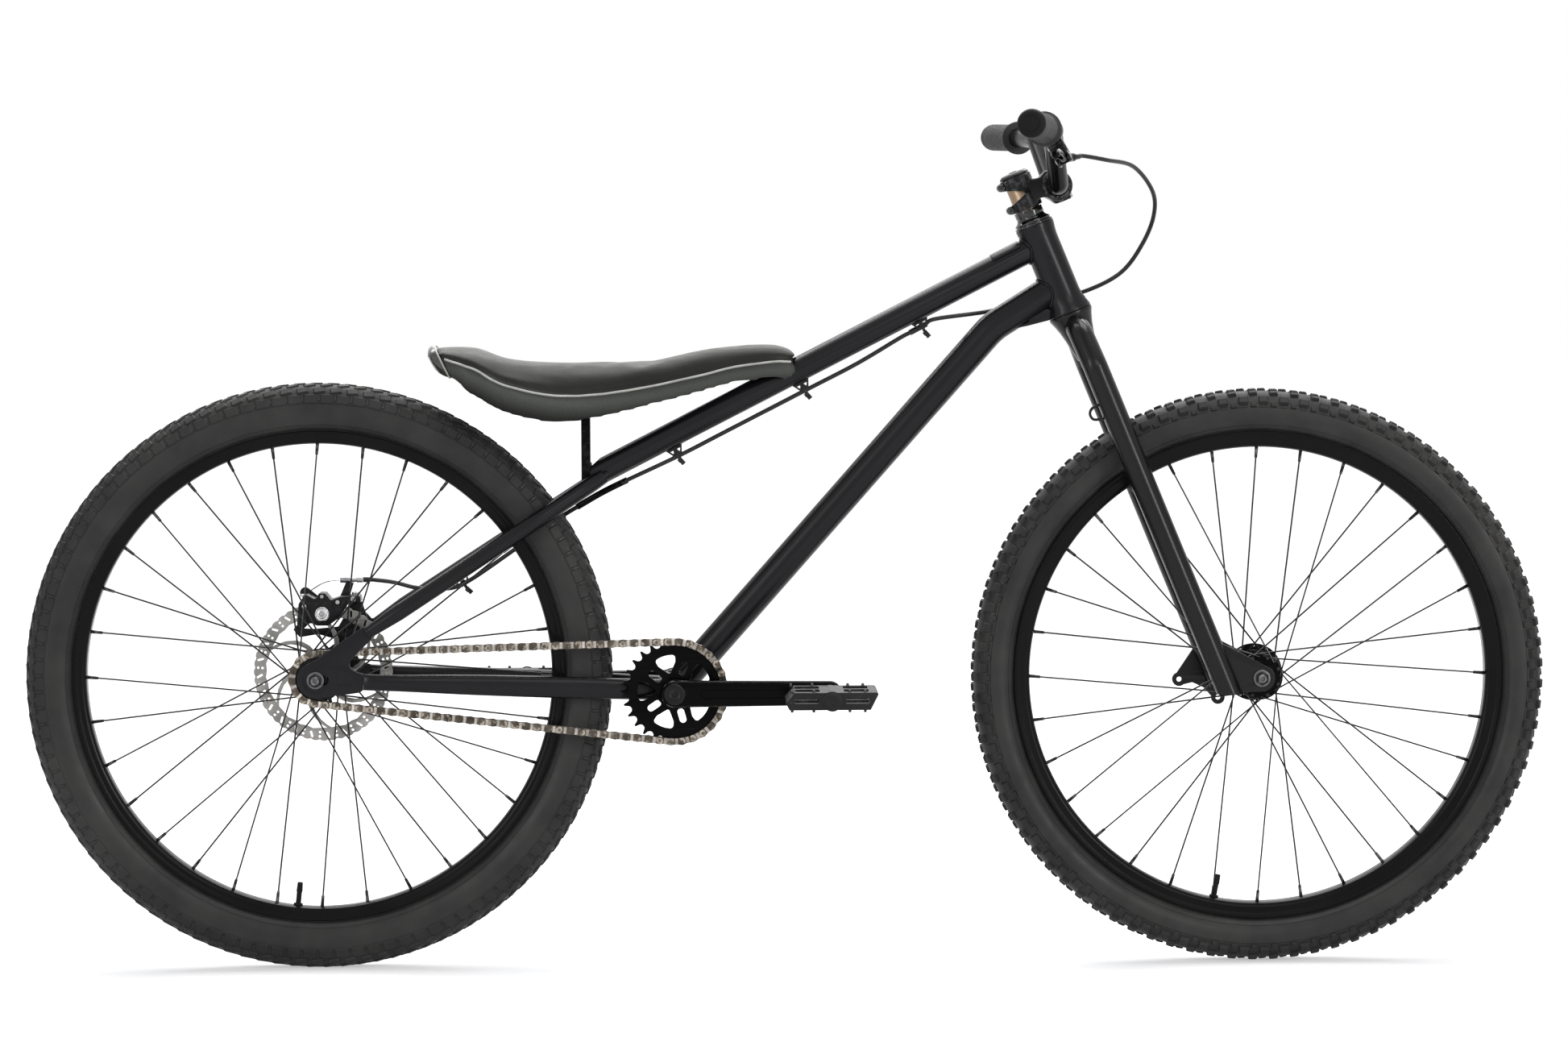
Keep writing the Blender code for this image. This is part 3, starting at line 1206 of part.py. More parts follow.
SEAT_CHANNEL = TOP_TUBE_RADIUS + 3 * GAP
PAN_THICKNESS = 0.0030
POST_FLANGE = 0.0030


def channel_half(width):
    return max(width * 0.74, SEAT_CHANNEL)


def seat_section(forward, top, bottom, roof, piping, width):
    """One cross-section: a crowned top, the piping at its widest, drawn-in sides and the hollow underneath."""
    inner = channel_half(width)
    crown = top - piping
    flap = width - (width - inner) * 0.35
    half = [(0, top), (width * 0.38, top - crown * 0.07), (width * 0.70, top - crown * 0.30),
            (width * 0.92, piping + crown * 0.26), (width, piping),
            (width * 0.955, piping - 0.0035), (flap, bottom + 0.0030),
            (flap - (flap - inner) * 0.4, bottom), (inner, bottom + 0.0030), (inner, roof - 0.0045),
            (inner * 0.82, roof), (0, roof)]
    whole = half + [(-y, z) for y, z in reversed(half[1:-1])]
    return [YOKE + Vector((forward, y, z)) for y, z in whole]


def seat_between(steps):
    """The seat's stations with smooth ones between them."""
    places = [Vector(station[:3]) for station in SEAT_STATIONS]
    others = [Vector(station[3:]) for station in SEAT_STATIONS]
    return [(*first, *second) for first, second in zip(smooth(places, steps), smooth(others, steps))]


def seat_cover():
    """The padded one-piece seat, straddling the top tube at its nose."""
    rings = [seat_section(*station) for station in seat_between(2)[:-2] + seat_between(2)[-1:]]
    return loft("seat_cover", rings)


def seat_base():
    """The thin pan under the padding, from the tail to where it rests on the top tube."""
    inside = [station for station in seat_between(2) if -0.160 < station[0] < 0.206]
    rings = []
    for forward, _, _, roof, _, width in inside:
        half = channel_half(width) * 0.80
        top = roof - GAP
        rings.append([YOKE + Vector((forward, y, z)) for y, z in
                      ((-half, top), (half, top), (half, top - PAN_THICKNESS), (-half, top - PAN_THICKNESS))])
    return loft("seat_base", rings)


POST_X = YOKE.x - GAP - POST_DEPTH / 2
PAN_UNDER = min(station[3] for station in seat_between(2)) - GAP - PAN_THICKNESS


def seat_post():
    """The flat post welded behind the top tube, with the flange that carries the pan."""
    foot = YOKE.z - 0.0123
    top = YOKE.z + PAN_UNDER - 2 * GAP
    post = block("seat_post", Vector((POST_X, 0, (foot + top) / 2)), (POST_DEPTH, POST_WIDTH, top - foot))
    flange = block("flange", Vector((POST_X, 0, top - POST_FLANGE / 2)), (0.030, 0.060, POST_FLANGE))
    return fuse(post, flange)


# Brake: places forward of and above the rear axle

CALIPER = REAR_AXLE + Vector((0.0001, 0, 0.0672))
CALIPER_INNER = 0.0415
CALIPER_OUTER = 0.0770
SLOT_INNER = ROTOR_Y - 0.0030
SLOT_OUTER = ROTOR_Y + 0.0036
PAD_THICKNESS = 0.0015
PAD_FIXED_Y = ROTOR_Y - ROTOR_THICKNESS / 2 - GAP - PAD_THICKNESS / 2
PAD_TRAVEL = 0.0004
PAD_MOVING_Y = ROTOR_Y + ROTOR_THICKNESS / 2 + PAD_TRAVEL + GAP + PAD_THICKNESS / 2
ARM_THICKNESS = 0.0050
ARM_Y = CALIPER_OUTER + GAP + ARM_THICKNESS / 2
ARM_TIP = (-0.0217, 0.0226)
TAB_FACE = DROPOUT_SPACING / 2
ADAPTER_THICKNESS = 0.0062
ADAPTER_Y = TAB_FACE - GAP - ADAPTER_THICKNESS / 2
STOP_Y = 0.0700
STOP_REAR = CALIPER + Vector((0.0190, STOP_Y, 0.0376))
STOP_FRONT = CALIPER + Vector((0.0452, STOP_Y, 0.0376))


def caliper_slice(name, loops, inner, outer):
    return plate(name, loops, outer - inner, side_plane((inner + outer) / 2, CALIPER))


def brake_caliper():
    """A cast mechanical caliper astride the rotor: two post ears, the adjuster disc and the cable's stop."""
    outline = rounded([(-0.0290, -0.0120, 0.0012), (-0.0222, -0.0176, 0.0012), (-0.0140, -0.0100, 0.0040),
                       (-0.0060, -0.0134, 0.0040), (0.0070, -0.0134, 0.0040), (0.0190, -0.0050, 0.0040),
                       (0.0300, 0.0122, 0.0012), (0.0445, 0.0132, 0.0012), (0.0435, 0.0215, 0.0030),
                       (0.0220, 0.0200, 0.0040), (0.0100, 0.0160, 0.0030), (0.0036, 0.0240, 0.0022),
                       (-0.0036, 0.0240, 0.0022), (-0.0075, 0.0165, 0.0030), (-0.0190, 0.0235, 0.0040),
                       (-0.0270, 0.0120, 0.0040)], 1)
    body = caliper_slice("brake_caliper", [outline], CALIPER_INNER, CALIPER_OUTER)
    strut = caliper_slice("strut", [[(0.0170, 0.0140), (0.0290, 0.0150), (0.0350, 0.0340), (0.0260, 0.0350)]],
                          STOP_Y - 0.0026, STOP_Y + 0.0026)
    barrel = rod("barrel", STOP_REAR, STOP_FRONT, 0.0038, 12)
    disc = rod("disc", CALIPER + SIDEWAYS * (CALIPER_INNER - 0.0022), CALIPER + SIDEWAYS * (CALIPER_INNER + 0.002),
               0.0080, 18)
    shaft = rod("shaft", CALIPER + SIDEWAYS * (CALIPER_OUTER - 0.006), CALIPER + SIDEWAYS * (ARM_Y + ARM_THICKNESS),
                0.0042, 11)
    slot = rod("slot", REAR_AXLE + SIDEWAYS * SLOT_INNER, REAR_AXLE + SIDEWAYS * SLOT_OUTER,
               ROTOR_RADIUS + 0.0015, 40)
    return fuse(cut(body, slot), strut, barrel, disc, shaft)


def caliper_adapter():
    """The bracket between the frame's tab and the caliper's two ears."""
    outline = rounded([(-0.02925, -0.01235, 0), (-0.0350, -0.0190, 0.002), (-0.0275, -0.0280, 0.003),
                       (-0.0060, -0.0245, 0.003), (0.0225, -0.0330, 0.003), (0.0530, -0.0110, 0.004),
                       (0.0470, 0.0050, 0.002), (0.0447, 0.0128, 0), (0.0300, 0.0118, 0), (0.0265, 0.0000, 0.002),
                       (0.0170, -0.0160, 0.003), (-0.0100, -0.0185, 0.003), (-0.0222, -0.0180, 0)], 1)
    window = rounded([(0.0230, -0.0230, 0.002), (0.0300, -0.0230, 0.002), (0.0260, -0.0150, 0.002)], 1)
    return plate("caliper_adapter", [outline, window], ADAPTER_THICKNESS, side_plane(ADAPTER_Y, CALIPER))


def brake_pad(name, y):
    outline = rounded([(-0.0125, -0.0035, 0.003), (0.0125, -0.0035, 0.003), (0.0115, 0.0118, 0.003),
                       (-0.0115, 0.0118, 0.003)], 1)
    return plate(name, [outline], PAD_THICKNESS, side_plane(y, CALIPER))


def brake_arm():
    """The outer lever of the caliper, with the clamp that holds the wire's end."""
    edge = belt((0, 0), 0.0100, ARM_TIP, 0.0062, 6)
    body = plate("brake_arm", [edge, circle((0, 0), 0.0042 + GAP, 12)], ARM_THICKNESS, side_plane(ARM_Y, CALIPER))
    tip = CALIPER + Vector((ARM_TIP[0], 0, ARM_TIP[1]))
    anchor = rod("anchor", tip + SIDEWAYS * ARM_Y, tip + SIDEWAYS * (ARM_Y + ARM_THICKNESS / 2 + 0.0045), 0.0042, 10)
    return fuse(body, anchor)


WIRE_END = CALIPER + Vector((ARM_TIP[0] + 0.0042 + 2 * GAP + WIRE_RADIUS, ARM_Y + ARM_THICKNESS / 2 + 0.0020,
                             ARM_TIP[1] + 0.0016))
CLIP = HEAD_TOP + Vector((-0.1350, 0.0100, -0.1136))
CLIP_RUN = Vector((-0.880, -0.080, -0.460)).normalized()


def cable(name, points, radius, resolution, spans):
    return tube(name, smooth([Vector(place) for place in points], spans), radius, resolution)


def brake_housing_front():
    """From the lever's barrel round the head tube to the clip on the down tube."""
    start = BARREL_END + BARREL_RUN * GAP
    loop = [(0.0717, -0.140, 0.0713), (0.1059, -0.090, 0.0645), (0.1310, -0.045, 0.0376),
            (0.1351, -0.015, 0.0103), (0.1244, 0.010, -0.0218), (0.1021, 0.030, -0.0539),
            (0.0653, 0.038, -0.0741), (0.0247, 0.040, -0.0843), (-0.0203, 0.034, -0.0923),
            (-0.0557, 0.026, -0.0990)]
    route = [start, start + BARREL_RUN * 0.014, *(HEAD_TOP + Vector(place) for place in loop),
             CLIP - CLIP_RUN * 0.024, CLIP - CLIP_RUN * 0.010, CLIP - CLIP_RUN * GAP]
    return cable("brake_housing_front", route, HOUSING_RADIUS, 1, 3)


def brake_housing_rear():
    """From the clip along the down side of the top tube and inside the left stay to the caliper's stop."""
    under = Vector((-TOP_TUBE_RUN.z, 0, TOP_TUBE_RUN.x))
    below_tube = [TOP_TUBE_START + TOP_TUBE_RUN * distance + under * drop + SIDEWAYS * y for distance, y, drop in
                  ((0.2494, 0.003, 0.0205), (0.3143, 0.001, 0.0215), (0.4162, 0.001, 0.0216), (0.4792, 0.004, 0.0190))]
    past_yoke = [YOKE + Vector(place) for place in ((0.0245, 0.018, -0.0121), (-0.0126, 0.028, -0.0312))]
    by_stay = [REAR_AXLE + Vector(place) for place in
               ((0.2671, 0.0355, 0.1720), (0.2218, 0.044, 0.1400), (0.1648, 0.050, 0.1018),
                (0.1362, 0.050, 0.0946), (0.1078, 0.052, 0.0963), (0.0821, 0.061, 0.1020))]
    route = [CLIP + CLIP_RUN * GAP, CLIP + CLIP_RUN * 0.010, CLIP + CLIP_RUN * 0.024, *below_tube, *past_yoke, *by_stay,
             STOP_FRONT + Vector((0.014, 0, -0.0004)), STOP_FRONT + Vector((0.007, 0, 0)),
             STOP_FRONT + Vector((2 * GAP, 0, 0))]
    return cable("brake_housing_rear", route, HOUSING_RADIUS, 1, 2)


def brake_cable():
    """The bare wire between the stop and the arm."""
    start = STOP_REAR - Vector((GAP, 0, 0))
    route = [start, start + Vector((-0.0110, 0.0015, -0.0012)), start.lerp(WIRE_END, 0.66) + Vector((0, 0, 0.0030)),
             WIRE_END]
    return cable("brake_cable", route, WIRE_RADIUS, 1, 4)


def make_finishes():
    finish("matte black paint", (0.020, 0.020, 0.022), 0.45)
    finish("gloss black", (0.012, 0.012, 0.013), 0.16)
    finish("seat cloth", (0.030, 0.031, 0.034), 0.80)
    finish("tyre rubber", (0.035, 0.035, 0.037), 0.72)
    finish("grip rubber", (0.060, 0.061, 0.064), 0.65)
    finish("black plastic", (0.030, 0.030, 0.032), 0.55)
    finish("dark chain steel", (0.150, 0.110, 0.080), 0.34, 1.0)
    finish("bright steel", (0.560, 0.560, 0.570), 0.30, 1.0)
    finish("bronze steel", (0.420, 0.290, 0.160), 0.35, 1.0)
    finish("black steel", (0.045, 0.045, 0.048), 0.35, 1.0)


def build_frame():
    keep(head_tube(), "head_tube", "matte black paint")
    keep(top_tube(), "top_tube", "matte black paint")
    keep(down_tube(), "down_tube", "matte black paint")
    keep(bracket_shell(), "bottom_bracket_shell", "matte black paint")
    for side, word in ((RIGHT, "right"), (LEFT, "left")):
        keep(seat_stay("seat_stay", side), "seat_stay_" + word, "matte black paint")
        keep(chain_stay("chain_stay", side), "chain_stay_" + word, "matte black paint")
        keep(dropout("dropout", side), "dropout_" + word, "matte black paint")
        keep(bracket_cup("cup", side), "bottom_bracket_cup_" + word, "black steel")
        keep(axle_nut("nut", REAR_AXLE, side, DROPOUT_SPACING, DROPOUT_THICKNESS), "rear_axle_nut_" + word,
             "bright steel")
    keep(bearing("bearing", 0.0), "headset_bearing_top", "bright steel")
    keep(bearing("bearing", BEARING_DEPTH - HEAD_LENGTH), "headset_bearing_bottom", "bright steel")
    keep(axle_bar("axle", REAR_AXLE, DROPOUT_SPACING, DROPOUT_THICKNESS), "rear_axle", "bright steel")
    keep(seat_cover(), "seat_cover", "seat cloth")
    keep(seat_base(), "seat_base", "black plastic")
    keep(seat_post(), "seat_post", "matte black paint")


def build_steering():
    steering = pivot_empty("steering_pivot", HEAD_TOP)
    keep(fork_crown(), "fork_crown", "bronze steel", steering)
    for side, word in ((RIGHT, "right"), (LEFT, "left")):
        keep(fork_leg("leg", side), "fork_leg_" + word, "matte black paint", steering)
        keep(grip("grip", side), "grip_" + word, "grip rubber", steering)
        keep(axle_nut("nut", FRONT_AXLE, side, FORK_SPACING, FORK_PLATE), "front_axle_nut_" + word, "bright steel",
             steering)
    keep(headset_cover(), "headset_cover", "gloss black", steering)
    keep(stem(), "stem", "matte black paint", steering)
    keep(stem_faceplate(), "stem_faceplate", "matte black paint", steering)
    keep(stem_cap(), "stem_cap", "gloss black", steering)
    keep(handlebar(), "handlebar", "gloss black", steering)
    keep(brake_lever_perch(), "brake_lever_perch", "gloss black", steering)
    keep(axle_bar("axle", FRONT_AXLE, FORK_SPACING, FORK_PLATE), "front_axle", "bright steel", steering)
    keep(brake_lever(), "brake_lever", "black plastic", pivot_empty("brake_lever_pivot", LEVER_PIVOT, steering))
    wheel = pivot_empty("front_wheel_pivot", FRONT_AXLE, steering)
    keep(tyre("tyre", FRONT_AXLE, FRONT_TYRE_RADIUS), "front_tyre", "tyre rubber", wheel)
    keep(rim("rim", FRONT_AXLE), "front_rim", "gloss black", wheel)
    keep(front_hub(), "front_hub", "black steel", wheel)


def build_rear_wheel():
    wheel = pivot_empty("rear_wheel_pivot", REAR_AXLE)
    keep(tyre("tyre", REAR_AXLE, REAR_TYRE_RADIUS), "rear_tyre", "tyre rubber", wheel)
    keep(rim("rim", REAR_AXLE), "rear_rim", "gloss black", wheel)
    keep(rear_hub(), "rear_hub", "black steel", wheel)
    keep(brake_rotor(), "brake_rotor", "bright steel", wheel)


def build_drive():
    keep(rear_cog(), "rear_cog", "dark chain steel", pivot_empty("freewheel_pivot", REAR_AXLE))
    keep(chain(), "chain", "dark chain steel")
    cranks = pivot_empty("crank_pivot", BRACKET)
    keep(crank_spindle(), "crank_spindle", "black steel", cranks)
    keep(chainring(), "chainring", "gloss black", cranks)
    for side, word in ((RIGHT, "right"), (LEFT, "left")):
        keep(crank_arm("arm", side), "crank_arm_" + word, "gloss black", cranks)
        keep(pedal_spindle("spindle", side), "pedal_spindle_" + word, "black steel", cranks)
        pivot = pivot_empty("pedal_pivot_" + word, pedal_centre(side), cranks)
        keep(pedal("pedal", side), "pedal_" + word, "black plastic", pivot)


def build_brake():
    keep(brake_caliper(), "brake_caliper", "black steel")
    keep(caliper_adapter(), "caliper_adapter", "black steel")
    keep(brake_pad("pad", PAD_FIXED_Y), "brake_pad_fixed", "bright steel")
    keep(brake_pad("pad", PAD_MOVING_Y), "brake_pad_moving", "bright steel",
         pivot_empty("pad_pivot", CALIPER + SIDEWAYS * PAD_MOVING_Y))
    keep(brake_arm(), "brake_arm", "black steel", pivot_empty("brake_arm_pivot", CALIPER))
    keep(brake_housing_front(), "brake_housing_front", "black plastic")
    keep(brake_housing_rear(), "brake_housing_rear", "black plastic")
    keep(brake_cable(), "brake_cable", "bright steel")


clear_scene()
workshop = new_collection("workshop")
bicycle = new_collection("dirt_jump_bike")
make_finishes()
build_frame()
build_steering()
build_rear_wheel()
build_drive()
build_brake()
bpy.data.collections.remove(workshop)
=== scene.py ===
"""Looks of the dirt jump bicycle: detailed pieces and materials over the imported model, with the studio round it.

Metres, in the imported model's frame: +Z up, +X forward, the drive side at -Y, the ground at Z 0.
"""
from math import asin, atan2, copysign, cos, exp, hypot, pi, radians, sin, sqrt, tan

import bmesh
import bpy
from mathutils import Matrix, Vector


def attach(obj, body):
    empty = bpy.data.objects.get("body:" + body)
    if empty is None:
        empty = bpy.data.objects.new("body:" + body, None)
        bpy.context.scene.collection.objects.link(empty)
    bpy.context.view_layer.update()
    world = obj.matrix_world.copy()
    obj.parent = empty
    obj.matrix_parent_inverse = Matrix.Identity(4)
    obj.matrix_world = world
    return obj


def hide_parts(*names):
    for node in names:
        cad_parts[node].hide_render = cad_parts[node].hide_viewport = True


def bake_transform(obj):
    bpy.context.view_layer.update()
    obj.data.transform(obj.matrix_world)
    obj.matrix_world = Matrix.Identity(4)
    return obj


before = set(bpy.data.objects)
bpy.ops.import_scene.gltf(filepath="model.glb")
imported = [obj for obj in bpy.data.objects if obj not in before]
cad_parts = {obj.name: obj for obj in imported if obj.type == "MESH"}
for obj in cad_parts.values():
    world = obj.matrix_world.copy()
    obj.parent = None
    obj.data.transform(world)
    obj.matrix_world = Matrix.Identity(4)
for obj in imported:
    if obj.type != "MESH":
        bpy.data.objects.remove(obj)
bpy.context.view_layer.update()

bpy.ops.object.select_all(action="DESELECT")

RIGHT = -1
LEFT = 1
SIDES = ((RIGHT, "right"), (LEFT, "left"))
SIDEWAYS = Vector((0, 1, 0))
UP = Vector((0, 0, 1))

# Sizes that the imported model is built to

GAP = 0.0003
REAR_AXLE = Vector((-0.5321, 0, 0.334))
FRONT_AXLE = Vector((0.5384, 0, 0.3277))
REAR_TYRE_RADIUS = 0.334
FRONT_TYRE_RADIUS = 0.3277
HEAD_ANGLE = radians(67.8)
AXIS_UP = Vector((-cos(HEAD_ANGLE), 0, sin(HEAD_ANGLE)))
AXIS_FORWARD = Vector((sin(HEAD_ANGLE), 0, cos(HEAD_ANGLE)))
HEAD_TOP = FRONT_AXLE - AXIS_FORWARD * 0.0399 + AXIS_UP * 0.5721
HEAD_LENGTH = 0.1074
REAR_RIM = (0.28, 0.2648)
FRONT_RIM = (0.279, 0.2606)
RIM_HALF = 0.016
BEAD_DEPTH = 0.0052
BEAD_HALF = RIM_HALF - 0.0035
TYRE_HALF = 0.0285
DROPOUT_SPACING = 0.135
FORK_SPACING = 0.101
PLATE = 0.006


def steer(forward, y, up):
    """A place by the steering axis, measured from the top of the head tube."""
    return HEAD_TOP + AXIS_FORWARD * forward + SIDEWAYS * y + AXIS_UP * up


def axes(forward, across, up):
    """The turn whose own X, Y and Z run along the three directions."""
    return Matrix((forward, across, up)).transposed().to_4x4()


def turns(count):
    """Equal turns round the circle, beginning at nothing."""
    return [2 * pi * step / count for step in range(count)]


def polar(radius, angle):
    return (radius * cos(angle), radius * sin(angle))


# Camera and light

EYE = Vector((-0.097, -6.0, 0.819))
AIM = Vector((-0.0015, 0.0, 0.5046))
ROLL = radians(0.336)
LENS = 120.9

# Lamps: the name, the place, what it is aimed at, its width, height and watts

LAMPS = (("top_lamp", (0.1, 0.45, 3.3), (0, 0.1, 0.5), 3.6, 1.5, 105.0),
    ("front_lamp", (1.4, -3.4, 2.6), (0.1, 0, 0.5), 2.0, 1.2, 22.0),
    ("near_lamp", (-2.4, -3.4, 2.0), (-0.2, 0, 0.45), 1.6, 1.6, 12.0),
    ("far_lamp", (0.4, 3.2, 2.4), (0, 0, 0.5), 2.4, 2.4, 24.0),
    ("rim_lamp", (0.0, 2.0, 2.9), (0, 0, 0.6), 4.6, 0.5, 64.0),
    ("right_strip", (3.2, -3.8, 1.6), (0, 0, 0.5), 0.55, 2.2, 76.0),
    ("left_strip", (-3.4, -3.2, 1.5), (0, 0, 0.5), 0.5, 2.2, 36.0))
SKY_TINT = (0.95, 0.97, 1.0, 1.0)
SKY_STRENGTH = 0.26
WHITE = (1.0, 1.0, 1.0, 1.0)
FLOOR_GREY = (0.62, 0.62, 0.63, 1.0)
FLOOR_SIZE = 40.0
FLOOR_LEVEL = -0.0004
GLOW_REACH = (1.3, 4.0)
GLOW_STRENGTH = (0.46, 1.0)


def build_camera():
    bpy.ops.object.camera_add()
    camera = bpy.context.active_object
    camera.name = "camera"
    camera.data.lens = LENS
    camera.data.sensor_width = 36.0
    camera.data.clip_end = 50.0
    look = (AIM - EYE).normalized()
    right = look.cross(UP).normalized()
    up = right.cross(look)
    turned_up = up * cos(ROLL) + right * sin(ROLL)
    camera.matrix_world = Matrix.Translation(EYE) @ axes(look.cross(turned_up), turned_up, -look)
    bpy.context.scene.camera = camera


def area_lamp(name, place, target, width, height, watts):
    aim = (Vector(target) - Vector(place)).to_track_quat("-Z", "Y").to_euler()
    bpy.ops.object.light_add(type="AREA", location=place, rotation=aim)
    lamp = bpy.context.active_object
    lamp.name = name
    lamp.data.shape = "RECTANGLE"
    lamp.data.size = width
    lamp.data.size_y = height
    lamp.data.energy = watts


# Shader maths

class Value:
    """A number that varies over a surface: each operator on it adds a Math node."""

    def __init__(self, shop, socket):
        self.shop = shop
        self.socket = socket

    def math(self, operation, *others):
        return self.shop.node("ShaderNodeMath", {"operation": operation}, [self, *others]).value(0)

    def __add__(self, other):
        return self.math("ADD", other)

    def __mul__(self, other):
        return self.math("MULTIPLY", other)

    def __sub__(self, other):
        return self.math("SUBTRACT", other)

    def __rsub__(self, other):
        return (self * -1.0) + other

    __radd__ = __add__
    __rmul__ = __mul__

    def within(self, low, high, out_low=0.0, out_high=1.0):
        """The value stretched from low..high to the outer range and held inside it."""
        sockets = {"Value": self, "From Min": low, "From Max": high, "To Min": out_low, "To Max": out_high}
        return self.shop.node("ShaderNodeMapRange", {}, sockets).value("Result")


class Node:
    def __init__(self, shop, node):
        self.shop = shop
        self.made = node

    def value(self, name):
        return Value(self.shop, self.made.outputs[name])


class Finish:
    """A material under construction: its node tree, and the object's own coordinates."""

    def __init__(self, name):
        self.material = bpy.data.materials.new(name)
        self.material.use_nodes = True
        self.tree = self.material.node_tree
        self.shader = self.tree.nodes["Principled BSDF"]
        self.place = self.node("ShaderNodeTexCoord").value("Object")

    def node(self, kind, settings=None, sockets=None):
        """A node of any type: its settings first, then the values or links of its sockets."""
        made = self.tree.nodes.new(kind)
        for name, setting in (settings or {}).items():
            setattr(made, name, setting)
        named = sockets.items() if isinstance(sockets, dict) else enumerate(sockets or [])
        for name, value in named:
            if isinstance(value, Value):
                self.tree.links.new(value.socket, made.inputs[name])
            else:
                made.inputs[name].default_value = value
        return Node(self, made)

    def noise(self, scale, detail=3.0, stretch=None):
        place = self.place
        if stretch:
            place = self.node("ShaderNodeMapping", {}, {"Vector": place, "Scale": stretch}).value("Vector")
        sockets = {"Vector": place, "Scale": scale, "Detail": detail}
        return self.node("ShaderNodeTexNoise", {}, sockets).value("Fac")

    def cells(self, scale, feature="F1"):
        sockets = {"Vector": self.place, "Scale": scale}
        return self.node("ShaderNodeTexVoronoi", {"feature": feature}, sockets).value("Distance")

    def colour(self, factor, first, second):
        """Two colours mixed by a factor; either may already vary over the surface."""
        first, second = (each if isinstance(each, Value) else (*each, 1.0) for each in (first, second))
        sockets = {"Factor": factor, "A": first, "B": second}
        node = self.tree.nodes.new("ShaderNodeMix")
        node.data_type = "RGBA"
        for name, value in sockets.items():
            socket = [each for each in node.inputs if each.name == name and each.enabled][0]
            if isinstance(value, Value):
                self.tree.links.new(value.socket, socket)
            else:
                socket.default_value = value
        return Value(self, [each for each in node.outputs if each.enabled][0])

    def done(self, colour, roughness, relief, depth, **fixed):
        """Wire the shader: what varies feeds its sockets, and the fixed numbers are set on its own."""
        for name, value in fixed.items():
            self.shader.inputs[name.replace("_", " ")].default_value = value
        normal = self.node("ShaderNodeBump", {}, {"Height": relief, "Strength": 1.0, "Distance": depth})
        for name, value in (("Base Color", colour), ("Roughness", roughness), ("Normal", normal.value("Normal"))):
            self.tree.links.new(value.socket, self.shader.inputs[name])
        return self.material


def painted(name, low, high, rough, metallic=0.0, grain=900.0, depth=0.00002, cloud=14.0, edge_wear_and_highlight=None, coat=0.0,
        stretch=None, sheen=0.0, spread=0.05, pits=0.0, shine=0.5):
    """A hard finish: two shades clouded together, a fine grain, patchy gloss, and sharp edges painted lighter, both
    as edge wear and as a painted highlight.
    """
    shop = Finish(name)
    colour = shop.colour(shop.noise(cloud, 4.0).within(0.35, 0.65), low, high)
    grains = shop.noise(grain, 2.0, stretch)
    relief = grains + shop.cells(grain) * pits if pits else grains
    # Sharp edges are painted lighter: partly edge wear, partly a painted highlight along the edges.
    if edge_wear_and_highlight is not None:
        edge = Value(shop, shop.tree.nodes.new("ShaderNodeNewGeometry").outputs["Pointiness"])
        edge_wear_and_highlight_mask = edge.within(0.53, 0.62) * shop.noise(160.0, 5.0).within(0.48, 0.62)
        colour = shop.colour(edge_wear_and_highlight_mask, colour, edge_wear_and_highlight)
    roughness = shop.noise(cloud * 3.0, 5.0).within(0.3, 0.7, rough - spread, rough + spread)
    return shop.done(colour, roughness, relief, depth, Metallic=metallic, Coat_Weight=coat, Coat_Roughness=0.12,
        Sheen_Weight=sheen, Sheen_Roughness=0.4, Specular_IOR_Level=shine)


def leather(name):
    """Seat hide: dark above the piping and a shade paler below it, with a painted highlight across the belly below
    it, and creases over a soft grain with painted shade along their lines.
    """
    shop = Finish(name)
    above = shop.node("ShaderNodeAttribute", {"attribute_name": "above_piping"}).value("Fac")
    rubbed = shop.noise(11.0, 4.0).within(0.35, 0.68)
    upper = shop.colour(rubbed, (0.007, 0.0072, 0.0052), (0.0115, 0.0118, 0.009))
    lower = shop.colour(rubbed, (0.0085, 0.0092, 0.0074), (0.013, 0.0139, 0.0115))
    # A band across the middle of the lower panel is painted much paler: a painted highlight on the belly.
    painted_belly_highlight = above.within(-3.0, -1.5) * above.within(-1.1, 0.0, 1.0, 0.0)
    lower = shop.colour(painted_belly_highlight, lower, (0.066, 0.07, 0.062))
    colour = shop.colour(above.within(-0.04, 0.04), lower, upper)
    crease = shop.cells(400.0, "DISTANCE_TO_EDGE").within(0.0, 0.22)
    # The colour darkens towards the crease lines: painted shade in the creases.
    colour = shop.colour(crease.within(0.0, 0.5, 0.25, 0.0), colour, (0.007, 0.007, 0.006))
    wrinkle = shop.noise(70.0, 6.0, (1.0, 2.4, 1.0))
    relief = crease + shop.noise(1500.0, 2.0) * 0.5 + wrinkle * 2.5
    roughness = shop.noise(34.0, 5.0).within(0.3, 0.7, 0.34, 0.46)
    return shop.done(colour, roughness, relief, 0.00004, Specular_IOR_Level=0.17)


def cloudy_rubber(name, low, high, rough, dust):
    """Tyre rubber: fine pitting, and a faint dust that lies in patches."""
    shop = Finish(name)
    colour = shop.colour(shop.noise(24.0, 4.0).within(0.35, 0.65), low, high)
    film = shop.noise(7.0, 6.0, (1.0, 2.0, 1.0)).within(0.48, 0.72) * dust
    colour = shop.colour(film, colour, (0.085, 0.082, 0.078))
    relief = shop.cells(900.0) + shop.noise(1700.0, 2.0) * 0.5
    roughness = shop.noise(60.0, 5.0).within(0.3, 0.7, rough - 0.08, rough + 0.08)
    return shop.done(colour, roughness, relief, 0.00004, Specular_IOR_Level=0.2)


